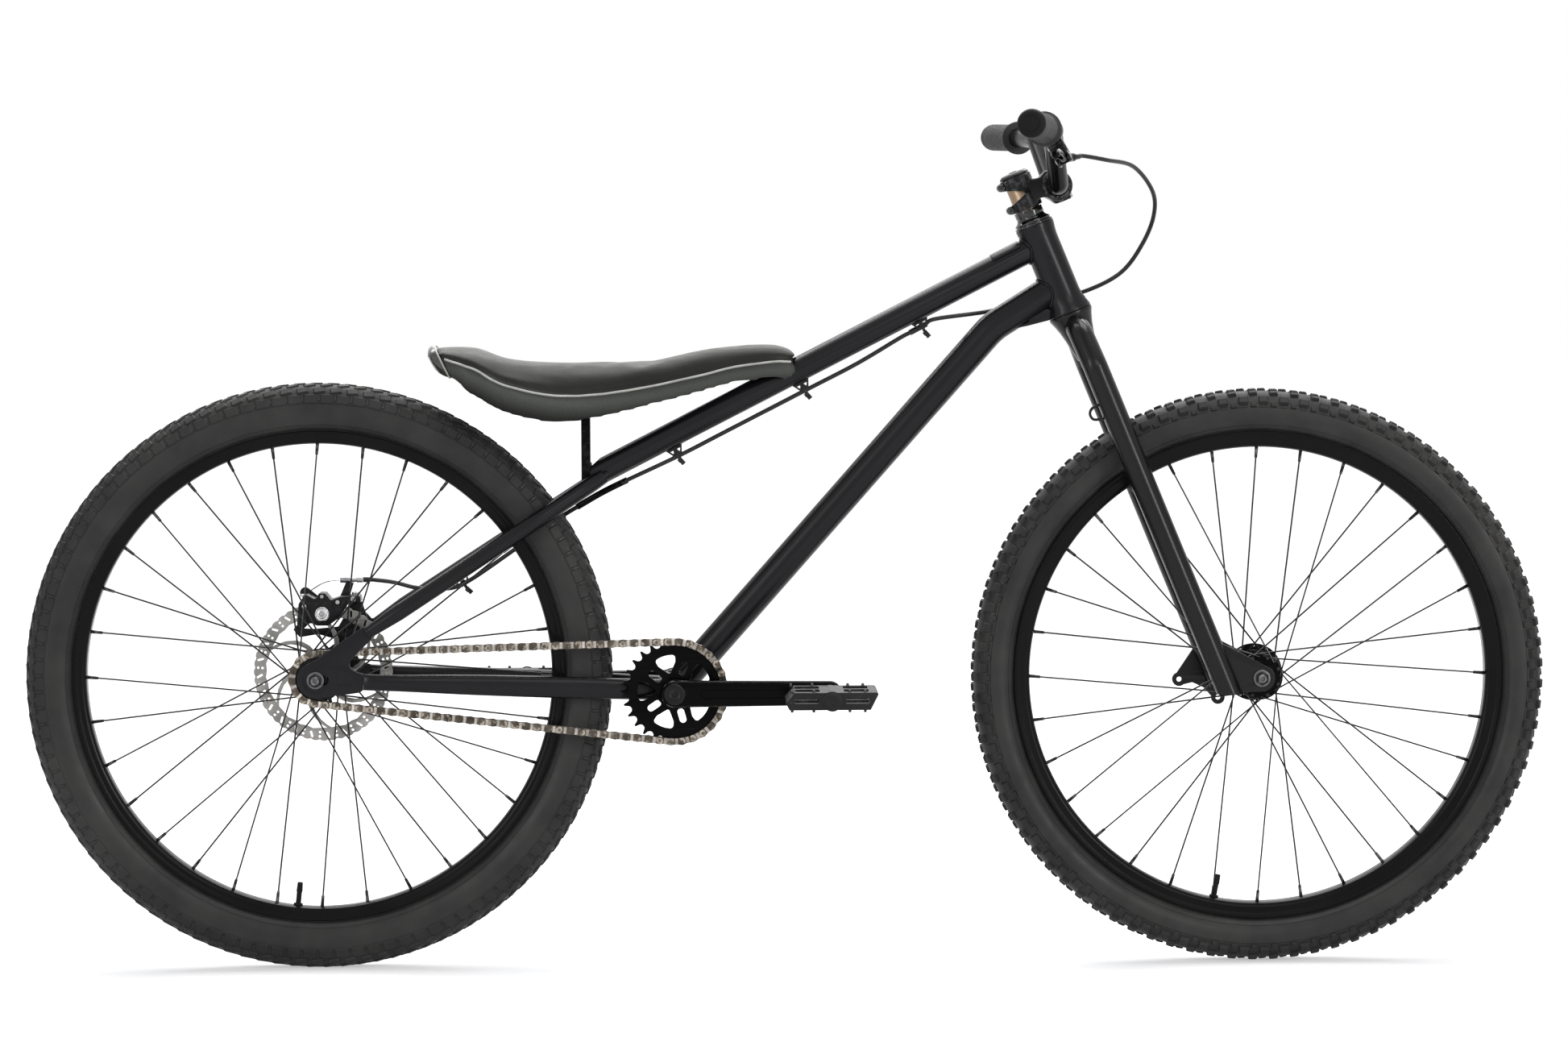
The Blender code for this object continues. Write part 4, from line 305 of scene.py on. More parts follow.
PAINT = painted("matte_black_paint", (0.0044, 0.0039, 0.005), (0.0062, 0.0055, 0.007), 0.27, grain=2600.0,
    depth=0.0000015, cloud=9.0, spread=0.03, shine=0.19)
GLOSS = painted("gloss_black_paint", (0.0022, 0.0022, 0.0024), (0.0036, 0.0036, 0.0039), 0.2, grain=1400.0,
    depth=0.000002, edge_wear_and_highlight=(0.05, 0.05, 0.055), spread=0.04, shine=0.04)
RIM_PAINT = painted("rim_black_paint", (0.0024, 0.0024, 0.0026), (0.004, 0.004, 0.0043), 0.24, grain=1400.0,
    depth=0.000002, spread=0.04, shine=0.09)
FORK = painted("fork_black_paint", (0.0036, 0.0033, 0.004), (0.0054, 0.005, 0.006), 0.25, grain=2600.0,
    depth=0.0000015, cloud=9.0, spread=0.03, shine=0.22)
POLISHED = painted("polished_black_anodise", (0.002, 0.002, 0.0022), (0.0034, 0.0034, 0.0036), 0.1, grain=900.0,
    depth=0.000002, edge_wear_and_highlight=(0.2, 0.2, 0.2), spread=0.03, shine=0.55)
SATIN = painted("satin_black_anodise", (0.0045, 0.0045, 0.005), (0.0072, 0.0072, 0.0078), 0.32, metallic=0.15,
    grain=3200.0, depth=0.000004, edge_wear_and_highlight=(0.14, 0.14, 0.15), shine=0.2)
SPOKE = painted("black_spoke_steel", (0.012, 0.012, 0.013), (0.02, 0.02, 0.022), 0.3, metallic=0.4, depth=0.000004,
    cloud=50.0, shine=0.3)
STEEL = painted("bright_steel", (0.5, 0.5, 0.51), (0.64, 0.64, 0.65), 0.27, metallic=1.0, grain=700.0, depth=0.000008,
    stretch=(1.0, 6.0, 1.0), edge_wear_and_highlight=(0.75, 0.75, 0.75))
ROTOR = painted("ground_rotor_steel", (0.17, 0.165, 0.155), (0.3, 0.29, 0.275), 0.33, metallic=1.0, depth=0.00001,
    stretch=(4.0, 1.0, 1.0), cloud=30.0)
ZINC = painted("dull_zinc", (0.3, 0.3, 0.31), (0.44, 0.44, 0.45), 0.4, metallic=1.0, grain=1100.0, cloud=60.0)
BRONZE = painted("bronze_steerer", (0.22, 0.155, 0.105), (0.3, 0.22, 0.155), 0.33, metallic=1.0, grain=800.0,
    depth=0.000008, stretch=(1.0, 1.0, 8.0))
DARK_STEEL = painted("dark_steel", (0.085, 0.085, 0.088), (0.135, 0.135, 0.138), 0.36, metallic=1.0, grain=900.0,
    depth=0.000008, edge_wear_and_highlight=(0.34, 0.34, 0.34))
PIN_BLACK = painted("blackened_steel", (0.02, 0.02, 0.021), (0.036, 0.036, 0.038), 0.34, metallic=0.8, grain=900.0,
    depth=0.000006, cloud=80.0, shine=0.3)
CHAIN = painted("chain_bronze", (0.048, 0.04, 0.032), (0.115, 0.098, 0.08), 0.36, metallic=1.0, depth=0.00001,
    cloud=75.0, edge_wear_and_highlight=(0.5, 0.44, 0.37))
CHAIN_PIN = painted("chain_pin_steel", (0.19, 0.177, 0.16), (0.36, 0.338, 0.308), 0.3, metallic=1.0, depth=0.000008,
    cloud=60.0)
TREAD = cloudy_rubber("tread_rubber", (0.0155, 0.0149, 0.0149), (0.0245, 0.0236, 0.0229), 0.6, 0.24)
WALL = cloudy_rubber("sidewall_rubber", (0.019, 0.0182, 0.018), (0.03, 0.0288, 0.0278), 0.46, 0.16)
GRIP = painted("grip_rubber", (0.022, 0.022, 0.023), (0.034, 0.034, 0.035), 0.62, grain=1800.0, depth=0.00004,
    cloud=40.0, sheen=0.05, pits=0.6, shine=0.25)
PLASTIC = painted("moulded_plastic", (0.0082, 0.0082, 0.0087), (0.0135, 0.0135, 0.0142), 0.46, grain=1900.0,
    cloud=35.0, edge_wear_and_highlight=(0.08, 0.08, 0.08), pits=0.4, shine=0.18)
HOUSE = painted("housing_plastic", (0.013, 0.013, 0.014), (0.02, 0.02, 0.021), 0.34, grain=1600.0, depth=0.00001,
    cloud=30.0, shine=0.25)
HIDE = leather("seat_leather")
TAIL = painted("tail_cap_moulding", (0.02, 0.019, 0.015), (0.052, 0.05, 0.043), 0.26, grain=900.0, cloud=40.0,
    depth=0.00002, edge_wear_and_highlight=(0.12, 0.12, 0.11), spread=0.06, coat=0.3)
CORD = painted("pale_piping", (0.3, 0.3, 0.275), (0.42, 0.42, 0.39), 0.5, grain=1200.0, depth=0.00005, cloud=70.0)
SEAL = painted("rubber_seal", (0.0045, 0.0045, 0.0045), (0.008, 0.008, 0.008), 0.62, grain=1200.0, shine=0.12)
PAD = painted("brake_pad_compound", (0.085, 0.06, 0.045), (0.15, 0.11, 0.085), 0.78, grain=1500.0, depth=0.00006,
    cloud=200.0, pits=1.0)


def seen(tree, shaded, shown):
    """Mix two shaders: what lights the object, and what the camera and its mirrors see."""
    path = tree.nodes.new("ShaderNodeLightPath")
    either, any_of = (tree.nodes.new("ShaderNodeMath") for _ in range(2))
    for node, first, second in ((either, path.outputs["Is Camera Ray"], path.outputs["Is Glossy Ray"]),
            (any_of, either.outputs[0], path.outputs["Is Transmission Ray"])):
        node.operation = "MAXIMUM"
        tree.links.new(first, node.inputs[0])
        tree.links.new(second, node.inputs[1])
    mix = tree.nodes.new("ShaderNodeMixShader")
    tree.links.new(any_of.outputs[0], mix.inputs[0])
    tree.links.new(shaded, mix.inputs[1])
    tree.links.new(shown, mix.inputs[2])
    return mix.outputs[0]


def build_studio():
    """A white sweep: the floor and the world are white to the camera, and dimmer as a light."""
    world = bpy.data.worlds.new("studio")
    bpy.context.scene.world = world
    world.use_nodes = True
    tree = world.node_tree
    tree.nodes.clear()
    output = tree.nodes.new("ShaderNodeOutputWorld")
    dim, white = (tree.nodes.new("ShaderNodeBackground") for _ in range(2))
    dim.inputs["Color"].default_value = SKY_TINT
    dim.inputs["Strength"].default_value = SKY_STRENGTH
    white.inputs["Color"].default_value = WHITE
    tree.links.new(seen(tree, dim.outputs[0], white.outputs[0]), output.inputs["Surface"])
    bpy.ops.mesh.primitive_plane_add(size=FLOOR_SIZE, location=(0, 0, FLOOR_LEVEL))
    floor = bpy.context.active_object
    floor.name = "floor"
    shop = Finish("floor_white")
    tree = shop.tree
    reach = shop.node("ShaderNodeVectorMath", {"operation": "LENGTH"}, {0: shop.place}).value("Value")
    diffuse = tree.nodes.new("ShaderNodeBsdfDiffuse")
    diffuse.inputs["Color"].default_value = FLOOR_GREY
    glow = shop.node("ShaderNodeEmission", {}, {"Strength": reach.within(*GLOW_REACH, *GLOW_STRENGTH)}).made
    both = tree.nodes.new("ShaderNodeAddShader")
    tree.links.new(diffuse.outputs[0], both.inputs[0])
    tree.links.new(glow.outputs[0], both.inputs[1])
    output = tree.nodes["Material Output"]
    tree.links.new(seen(tree, diffuse.outputs[0], both.outputs[0]), output.inputs["Surface"])
    tree.nodes.remove(shop.shader)
    floor.data.materials.append(shop.material)
    for lamp in LAMPS:
        area_lamp(*lamp)
    bpy.context.scene.view_settings.view_transform = "Standard"


# Working by hand: everything is deselected first, and what is shaped is selected by its place

def only(thing, *others):
    bpy.ops.object.select_all(action="DESELECT")
    for each in (thing, *others):
        each.select_set(True)
    bpy.context.view_layer.objects.active = thing
    return thing


def begin(thing, kind="VERT", action="SELECT"):
    """Open a mesh for editing."""
    only(thing)
    bpy.ops.object.mode_set(mode="EDIT")
    bpy.ops.mesh.select_mode(type=kind)
    bpy.ops.mesh.select_all(action=action)
    return bmesh.from_edit_mesh(thing.data)


def end():
    bpy.ops.object.mode_set(mode="OBJECT")
    return bpy.context.active_object


def pick(thing, kind, test):
    """Open a mesh with only the elements selected that pass the test."""
    shape = begin(thing, kind, "DESELECT")
    for each in {"VERT": shape.verts, "EDGE": shape.edges, "FACE": shape.faces}[kind]:
        if test(each):
            each.select_set(True)
    shape.select_flush_mode()
    bmesh.update_edit_mesh(thing.data)
    return shape


def facing(origin, direction):
    """A frame at the origin whose Z runs along the direction."""
    return Matrix.Translation(origin) @ direction.to_track_quat("Z", "Y").to_matrix().to_4x4()


def side_plane(y=0.0, origin=None):
    """The frame of a plate seen from the side: its X forward, its Y up, its middle at y."""
    return Matrix.Translation(Vector((0, y, 0)) + (origin or Vector())) @ Matrix.Rotation(pi / 2, 4, "X")


def settle(thing, matrix=None):
    """Leave the object at the origin with its place in its mesh."""
    if matrix is not None:
        thing.matrix_world = matrix @ thing.matrix_world
    only(thing)
    bpy.ops.object.transform_apply(location=True, rotation=True, scale=True)
    return thing


def closed_up(thing, tolerance=1e-6):
    """Merge the doubles, drop loose edges and turn the faces outwards."""
    begin(thing)
    bpy.ops.mesh.remove_doubles(threshold=tolerance)
    bpy.ops.mesh.delete_loose()
    bpy.ops.mesh.select_all(action="SELECT")
    bpy.ops.mesh.normals_make_consistent(inside=False)
    return end()


def wire(points):
    """A ring of edges through the points."""
    bpy.ops.mesh.primitive_circle_add(vertices=len(points), radius=1.0)
    ring = bpy.context.active_object
    for vertex, place in zip(ring.data.vertices, points):
        vertex.co = place
    return ring


def turned(section, origin, axis, steps=48):
    """A lathe piece: a section of (radius, height) points, spun once round the axis and closed."""
    ring = wire([(radius, 0, height) for radius, height in section])
    begin(ring)
    bpy.ops.mesh.spin(steps=steps, angle=2 * pi, center=(0, 0, 0), axis=(0, 0, 1))
    end()
    return settle(closed_up(ring), facing(origin, axis))


def softened(section, radius, closed=True, steps=2):
    """A section with its corners rounded."""
    count = len(section)
    made = []
    for index, corner in enumerate(section):
        here = Vector(corner)
        if not closed and index in (0, count - 1):
            made.append(tuple(here))
            continue
        before, after = Vector(section[index - 1]) - here, Vector(section[(index + 1) % count]) - here
        reach = min(radius, before.length * 0.45, after.length * 0.45)
        if reach < 1e-6 or before.angle(after) > radians(165):
            made.append(tuple(here))
            continue
        first, last = here + before.normalized() * reach, here + after.normalized() * reach
        for step in range(steps + 1):
            t = step / steps
            made.append(tuple(first * (1 - t) ** 2 + here * 2 * t * (1 - t) + last * t ** 2))
    return made


def lathe(section, edge, origin, axis, steps=48, closed=True):
    """A lathe piece whose corners are rounded first."""
    return turned(softened(section, edge, closed), origin, axis, steps)


def lofted(rings, closed=False):
    """A skin drawn out ring by ring: each extruded ring is moved to its own place."""
    count = len(rings[0])
    skin = wire(rings[0])
    begin(skin)
    for _ in rings[1:]:
        bpy.ops.mesh.extrude_edges_move()
    end()
    for index, vertex in enumerate(skin.data.vertices):
        vertex.co = rings[index // count][index % count]
    if closed:
        rows = (0, len(rings) - 1)
        pick(skin, "VERT", lambda vertex: vertex.index // count in rows)
        bpy.ops.mesh.bridge_edge_loops()
        end()
    else:
        pick(skin, "EDGE", lambda edge: edge.is_boundary)
        bpy.ops.mesh.fill_holes(sides=0)
        end()
    begin(skin)
    bpy.ops.mesh.normals_make_consistent(inside=False)
    return end()


def rod(start, end_place, radius, sides=24, edge=0.0004, end_radius=None):
    """A turned bar between two places with softened ends."""
    length = (end_place - start).length
    last = radius if end_radius is None else end_radius
    return lathe([(0, 0), (radius, 0), (last, length), (0, length)], edge, start, end_place - start, sides, False)


def block(centre, size, turn=None, edge=0.0):
    """A cube at its size and place, its edges bevelled."""
    bpy.ops.mesh.primitive_cube_add(size=1.0)
    cube = bpy.context.active_object
    cube.scale = size
    settle(cube)
    if edge:
        begin(cube, "EDGE")
        bpy.ops.mesh.bevel(offset=edge, segments=3, affect="EDGES")
        end()
    return settle(cube, Matrix.Translation(centre) @ (turn or Matrix()))


def tube(path, radius, resolution=6, radii=None):
    """A round bar along a path, from a curve with depth."""
    bpy.ops.curve.primitive_nurbs_path_add()
    curve = bpy.context.active_object
    curve.data.splines.clear()
    spline = curve.data.splines.new("POLY")
    spline.points.add(len(path) - 1)
    for index, (point, place) in enumerate(zip(spline.points, path)):
        point.co = (*place, 1.0)
        point.radius = radii[index] if radii else 1.0
    curve.data.bevel_depth = radius
    curve.data.bevel_resolution = resolution
    curve.data.use_fill_caps = True
    only(curve)
    bpy.ops.object.convert(target="MESH")
    return closed_up(bpy.context.active_object)


def plate(loops, thickness, matrix, edge=0.0004):
    """A flat stamped piece with broken edges: closed loops, the later ones holes in the first."""
    bpy.ops.curve.primitive_nurbs_path_add()
    flat = bpy.context.active_object
    data = flat.data
    data.splines.clear()
    data.dimensions = "2D"
    data.fill_mode = "BOTH"
    data.extrude = thickness / 2 - edge
    data.bevel_depth = edge
    data.bevel_resolution = 2
    data.offset = -edge
    for loop in loops:
        spline = data.splines.new("POLY")
        spline.points.add(len(loop) - 1)
        for point, (x, y) in zip(spline.points, loop):
            point.co = (x, y, 0, 1)
        spline.use_cyclic_u = True
    only(flat)
    bpy.ops.object.convert(target="MESH")
    return settle(closed_up(bpy.context.active_object), matrix)


def joined(*things):
    """Several meshes as one object."""
    only(*things)
    bpy.ops.object.join()
    return bpy.context.active_object


def applied(thing, modifier):
    only(thing)
    bpy.ops.object.modifier_apply(modifier=modifier.name)


def worked(body, tool, operation):
    """Cut or fuse with another solid, and put the tool away."""
    modifier = body.modifiers.new("Combine", "BOOLEAN")
    modifier.operation = operation
    modifier.solver = "EXACT"
    modifier.object = tool
    applied(body, modifier)
    bpy.data.objects.remove(tool)
    return closed_up(body, 1e-5)


def fused(body, *tools):
    for tool in tools:
        body = worked(body, tool, "UNION")
    return body


def cut(body, *tools):
    for tool in tools:
        body = worked(body, tool, "DIFFERENCE")
    return body


def round_about(thing, origin, count, axis=None, turn=0.0):
    """Repeat what is in the mesh at equal turns about an axis."""
    if turn:
        settle(thing, about(origin, turn, axis))
    begin(thing)
    bpy.ops.mesh.spin(steps=count - 1, angle=2 * pi * (count - 1) / count, dupli=True, center=origin,
        axis=axis or SIDEWAYS)
    return end()


def about(origin, turn, axis=None):
    """A turn about an axis through a place."""
    return Matrix.Translation(origin) @ Matrix.Rotation(turn, 4, axis or SIDEWAYS) @ Matrix.Translation(-origin)


def copies(thing, matrices):
    """The thing once for each place, each copy with its own mesh, joined."""
    made = []
    for matrix in matrices:
        twin = thing.copy()
        twin.data = thing.data.copy()
        twin.matrix_world = matrix
        bpy.context.scene.collection.objects.link(twin)
        made.append(twin)
    bpy.data.objects.remove(thing)
    return settle(joined(*made))


def finished(name, thing, finish, sharp=35.0):
    """Name a piece, give it its finishes and smooth it between its sharp edges."""
    thing.name = name
    thing.data.name = name
    finishes = finish if isinstance(finish, list) else [finish]
    if list(thing.data.materials) != finishes:
        thing.data.materials.clear()
        for each in finishes:
            thing.data.materials.append(each)
    only(thing)
    bpy.ops.object.shade_smooth_by_angle(angle=radians(sharp))
    return thing


def piece(name, thing, finish, body, replaces=(), sharp=35.0):
    """Finish a piece and let it ride on its body."""
    finished(name, thing, finish, sharp)
    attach(thing, body)
    if replaces:
        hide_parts(*replaces)
    return thing


def smooth(points, spans=4):
    """A Catmull-Rom curve through the points."""
    padded = [points[0] * 2 - points[1], *points, points[-1] * 2 - points[-2]]
    curve = []
    for index in range(1, len(padded) - 2):
        before, start, end_place, after = padded[index - 1:index + 3]
        for step in range(spans):
            t = step / spans
            curve.append((start * 2 + (end_place - before) * t + (before * 2 - start * 5 + end_place * 4 - after)
                * t ** 2 + (start * 3 - before - end_place * 3 + after) * t ** 3) / 2)
    curve.append(points[-1].copy())
    return curve


def bent(points, radius, steps=8):
    """A path through corners in space, each turned on an arc of the radius."""
    path = [points[0]]
    for before, here, after in zip(points, points[1:], points[2:]):
        back, onward = (before - here).normalized(), (after - here).normalized()
        half = back.angle(onward) / 2
        centre = here + (back + onward).normalized() * radius / sin(half)
        first = here + back * radius / tan(half) - centre
        last = here + onward * radius / tan(half) - centre
        for step in range(steps + 1):
            path.append(centre + (first * (steps - step) + last * step).normalized() * radius)
    path.append(points[-1])
    return path


def arc(centre, radius, start, stop, steps):
    return [(centre[0] + radius * cos(start + (stop - start) * step / steps),
        centre[1] + radius * sin(start + (stop - start) * step / steps)) for step in range(steps + 1)]


def circle(centre, radius, steps):
    return arc(centre, radius, 0, 2 * pi, steps)[:-1]


def rounded(corners, steps=5):
    """A closed outline through (x, y, radius) corners, each rounded by an arc."""
    outline = []
    for index, (x, y, radius) in enumerate(corners):
        here = Vector((x, y))
        if not radius:
            outline.append((x, y))
            continue
        before = (Vector(corners[index - 1][:2]) - here).normalized()
        after = (Vector(corners[(index + 1) % len(corners)][:2]) - here).normalized()
        half = before.angle(after) / 2
        centre = here + (before + after).normalized() * radius / sin(half)
        first = here + before * radius / tan(half) - centre
        last = here + after * radius / tan(half) - centre
        for step in range(steps + 1):
            spoke = (first * (steps - step) + last * step).normalized() * radius
            outline.append(tuple(centre + spoke))
    return outline


def slot_loop(centre, angle, length, width, steps=8):
    """A slot with round ends, its length along the angle."""
    reach = (length - width) / 2
    ends = []
    for turn in (0, pi):
        middle = (centre[0] + reach * cos(angle + turn), centre[1] + reach * sin(angle + turn))
        ends += arc(middle, width / 2, angle + turn - pi / 2, angle + turn + pi / 2, steps)
    return ends


def belt(first, first_radius, second, second_radius, steps=14):
    """The outline round two circles and their outer tangents."""
    span = Vector(second) - Vector(first)
    heading = atan2(span.y, span.x)
    lean = asin((first_radius - second_radius) / span.length)
    return (arc(first, first_radius, heading + pi / 2 - lean, heading + 3 * pi / 2 + lean, steps)
        + arc(second, second_radius, heading - pi / 2 + lean, heading + pi / 2 - lean, steps))


def hexagon(radius, depth, up=0.0):
    """A six-sided bar along Z, its middle at the height."""
    bpy.ops.mesh.primitive_cylinder_add(vertices=6, radius=radius, depth=depth, location=(0, 0, up))
    return settle(bpy.context.active_object)


def socket_bolt(place, out, radius, height, sides=24):
    """A round bolt head with a broken edge and a hexagonal socket."""
    head = lathe([(0, 0), (radius, 0), (radius, height), (0, height)], radius * 0.18, Vector(), UP, sides, False)
    return settle(cut(head, hexagon(radius * 0.56, height * 1.6, height * 1.1)), facing(place, out))


def hex_nut(place, out, radius, height, bore):
    """A hexagon bored through, its corners chamfered by a cone."""
    nut = turned([(bore, 0), (radius, 0), (radius, height - radius * 0.16), (radius * 0.8, height), (bore, height)],
        Vector(), UP, 48)
    return settle(worked(nut, hexagon(radius, height * 4), "INTERSECT"), facing(place, out))


def mirrored(half):
    """The same (radius, y) points on the other side, in the order that goes on from the last."""
    return [(radius, -y) for radius, y in reversed(half)]


def oval(centre, wide, upright, power, sides):
    """A ring round a centre: an ellipse that a power below one makes squarer."""
    def part(share):
        return copysign(abs(share) ** power, share)

    return [centre + wide * part(cos(angle)) + upright * part(sin(angle)) for angle in turns(sides)]


THREAD_PITCH = 0.0016


def thread(start, stop, crest, root):
    """The section of a screw thread along its bar, as (radius, distance)."""
    section, place = [], start
    while place < stop:
        section += [(crest, place), (crest, place + 0.0008), (root, place + 0.001), (root, place + 0.0013)]
        place += THREAD_PITCH
    return section


# Wheels

CASING_BULGE = 0.995
CASING_POWER = 0.8


def on_wheel(axle, radius, y, angle):
    return axle + Vector((radius * cos(angle), y, radius * sin(angle)))


def second_finish(thing, test, index=1):
    """Give the faces that pass the test another of the piece's finishes."""
    pick(thing, "FACE", test)
    thing.active_material_index = index
    bpy.ops.object.material_slot_assign()
    end()


def casing_half(radius, tread, lip):
    """The casing's outside from one bead to the crown, as (radius, y)."""
    middle, crown = radius - TYRE_HALF, radius - tread
    half = [(lip - BEAD_DEPTH, BEAD_HALF), (lip + 0.001, BEAD_HALF + 0.0006), (lip + 0.0022, BEAD_HALF + 0.0046),
        (lip + 0.005, BEAD_HALF + 0.009), (lip + 0.009, TYRE_HALF * 0.875)]
    for step in range(9):
        angle = radians(-14) + radians(104) * step / 8
        reach = crown - middle if angle > 0 else TYRE_HALF
        half.append((middle + reach * sin(angle), TYRE_HALF * CASING_BULGE * abs(cos(angle)) ** CASING_POWER))
    half[-1] = (crown, 0.0)
    return half


def knob_places(axle, radius, tread, angle, lean, side, height, twist):
    """Where a knob stands on the casing: its X ahead, its Y across and its Z away from the rubber."""
    out = Vector((cos(angle), 0, sin(angle)))
    ahead = Vector((-sin(angle), 0, cos(angle)))
    normal = out * cos(lean) + SIDEWAYS * sin(lean) * side
    across = SIDEWAYS * cos(lean) - out * sin(lean) * side
    middle = radius - TYRE_HALF
    foot = axle + out * (middle + (TYRE_HALF - tread) * cos(lean))
    foot += SIDEWAYS * side * TYRE_HALF * CASING_BULGE * abs(sin(lean)) ** CASING_POWER
    turn = axes(ahead * cos(twist) + across * sin(twist), across * cos(twist) - ahead * sin(twist), normal)
    return Matrix.Translation(foot + normal * height * 0.3) @ turn


def knob(length, width, height):
    """A block of rubber with its top drawn in and its edges broken; its foot is sunk in the casing."""
    cube = block(Vector(), (length, width, height * 1.4))
    pick(cube, "FACE", lambda face: face.normal.z > 0.9)
    bpy.ops.transform.resize(value=(0.82, 0.8, 1.0), center_override=(0, 0, height * 0.7))
    end()
    pick(cube, "EDGE", lambda edge: edge.verts[0].co.z + edge.verts[1].co.z > 0)
    bpy.ops.mesh.bevel(offset=height * 0.16, segments=1, affect="EDGES")
    return end()


# Knobs: length, width, height, lean round the casing, side, shift along the row and twist

FRONT_KNOBS = ((0.0092, 0.007, 0.0028, 0.16, 1, 0.0, 0.35), (0.0092, 0.007, 0.0028, 0.16, -1, 0.5, -0.35),
    (0.01, 0.0062, 0.0031, 0.5, 1, 0.5, 0.15), (0.01, 0.0062, 0.0031, 0.5, -1, 0.5, -0.15),
    (0.0112, 0.0098, 0.0036, 0.94, 1, 0.0, 0.0), (0.0112, 0.0098, 0.0036, 0.94, -1, 0.0, 0.0),
    (0.007, 0.005, 0.0026, 1.18, 1, 0.5, 0.0), (0.007, 0.005, 0.0026, 1.18, -1, 0.5, 0.0))
REAR_KNOBS = ((0.015, 0.0046, 0.0014, 0.0, 1, 0.0, 0.0), (0.0145, 0.006, 0.0014, 0.32, 1, 0.4, 0.4),
    (0.0145, 0.006, 0.0014, 0.32, -1, 0.4, -0.4), (0.0138, 0.0086, 0.0014, 0.72, 1, 0.8, 0.2),
    (0.0138, 0.0086, 0.0014, 0.72, -1, 0.8, -0.2), (0.0166, 0.0118, 0.0013, 1.16, 1, 0.3, 0.0),
    (0.0166, 0.0118, 0.0013, 1.16, -1, 0.3, 0.0))


def build_tyre(name, axle, radius, body, node, tread, knobs, rows, rim):
    lip = rim[0]
    half = casing_half(radius, tread, lip)
    inner = [(lip - BEAD_DEPTH, -BEAD_HALF + 0.0028), (radius - TYRE_HALF, -TYRE_HALF + 0.0038),
        (radius - 0.007, -0.006)]
    section = half + mirrored(half[:-1]) + inner + mirrored(inner)
    casing = turned(section, axle, SIDEWAYS, 180)
    ribs = []
    for side in (RIGHT, LEFT):
        for reach, width in ((lip + 0.0068, 0.0008), (radius - 0.0212, 0.0007), (radius - 0.0186, 0.0007)):
            below, above = [pair for pair in zip(half, half[1:]) if pair[0][0] <= reach <= pair[1][0]][0]
            place = below[1] + (above[1] - below[1]) * (reach - below[0]) / (above[0] - below[0])
            ribs.append(turned([(reach - width, side * (place - 0.0004)), (reach, side * (place + 0.0005)),
                (reach + width, side * (place - 0.0004)), (reach, side * (place - 0.0012))], axle, SIDEWAYS, 120))
    made = piece(name, joined(casing, *ribs), [WALL, TREAD], body, [node], sharp=40.0)
    shoulder = radius - 0.014
    second_finish(made, lambda face: hypot(*(face.calc_center_median() - axle).xz) > shoulder)
    step = 2 * pi / rows
    blocks = []
    for length, width, height, lean, side, shift, twist in knobs:
        stood = knob(length, width, height)
        blocks.append(settle(stood, knob_places(axle, radius, tread, step * shift, lean, side, height, twist)))
    piece(name + "_tread", round_about(joined(*blocks), axle, rows), TREAD, body, sharp=25.0)


def build_rim(name, axle, body, node, valve_turn, rim):
    """A box rim: an outer lip, a hollow band that catches the light, and a narrower bed."""
    lip, bed = rim
    inner = BEAD_HALF + 0.0008
    well = lip - BEAD_DEPTH - 0.0024
    side = [(lip, RIM_HALF), (lip - 0.0042, RIM_HALF), (lip - 0.0056, RIM_HALF - 0.0012),
        (bed + 0.005, RIM_HALF - 0.0022), (bed + 0.0016, RIM_HALF - 0.004), (bed, RIM_HALF * 0.5)]
    section = side + mirrored(side) + [(lip, -inner), (well, -inner), (well, inner), (lip, inner)]
    piece(name, turned(softened(section, 0.0012, steps=3), axle, SIDEWAYS, 180), RIM_PAINT, body, [node], sharp=40.0)
    foot = on_wheel(axle, bed + 0.0004, 0, valve_turn)
    inwards = (axle - foot).normalized()
    stem_rod = rod(foot, foot + inwards * 0.018, 0.003, 20)
    cap = rod(foot + inwards * 0.016, foot + inwards * 0.027, 0.0036, 12, 0.0006, 0.003)
    collar = rod(foot, foot + inwards * 0.003, 0.0052, 16)
    piece(name + "_valve", joined(stem_rod, cap, collar), SEAL, body)


FLANGE_HALF = 0.0031
SPOKES_A_SIDE = 16


def flange(y, radius, before, after):
    below, above = y - FLANGE_HALF, y + FLANGE_HALF
    return [(below, before), (below, radius), (above, radius), (above, after)]


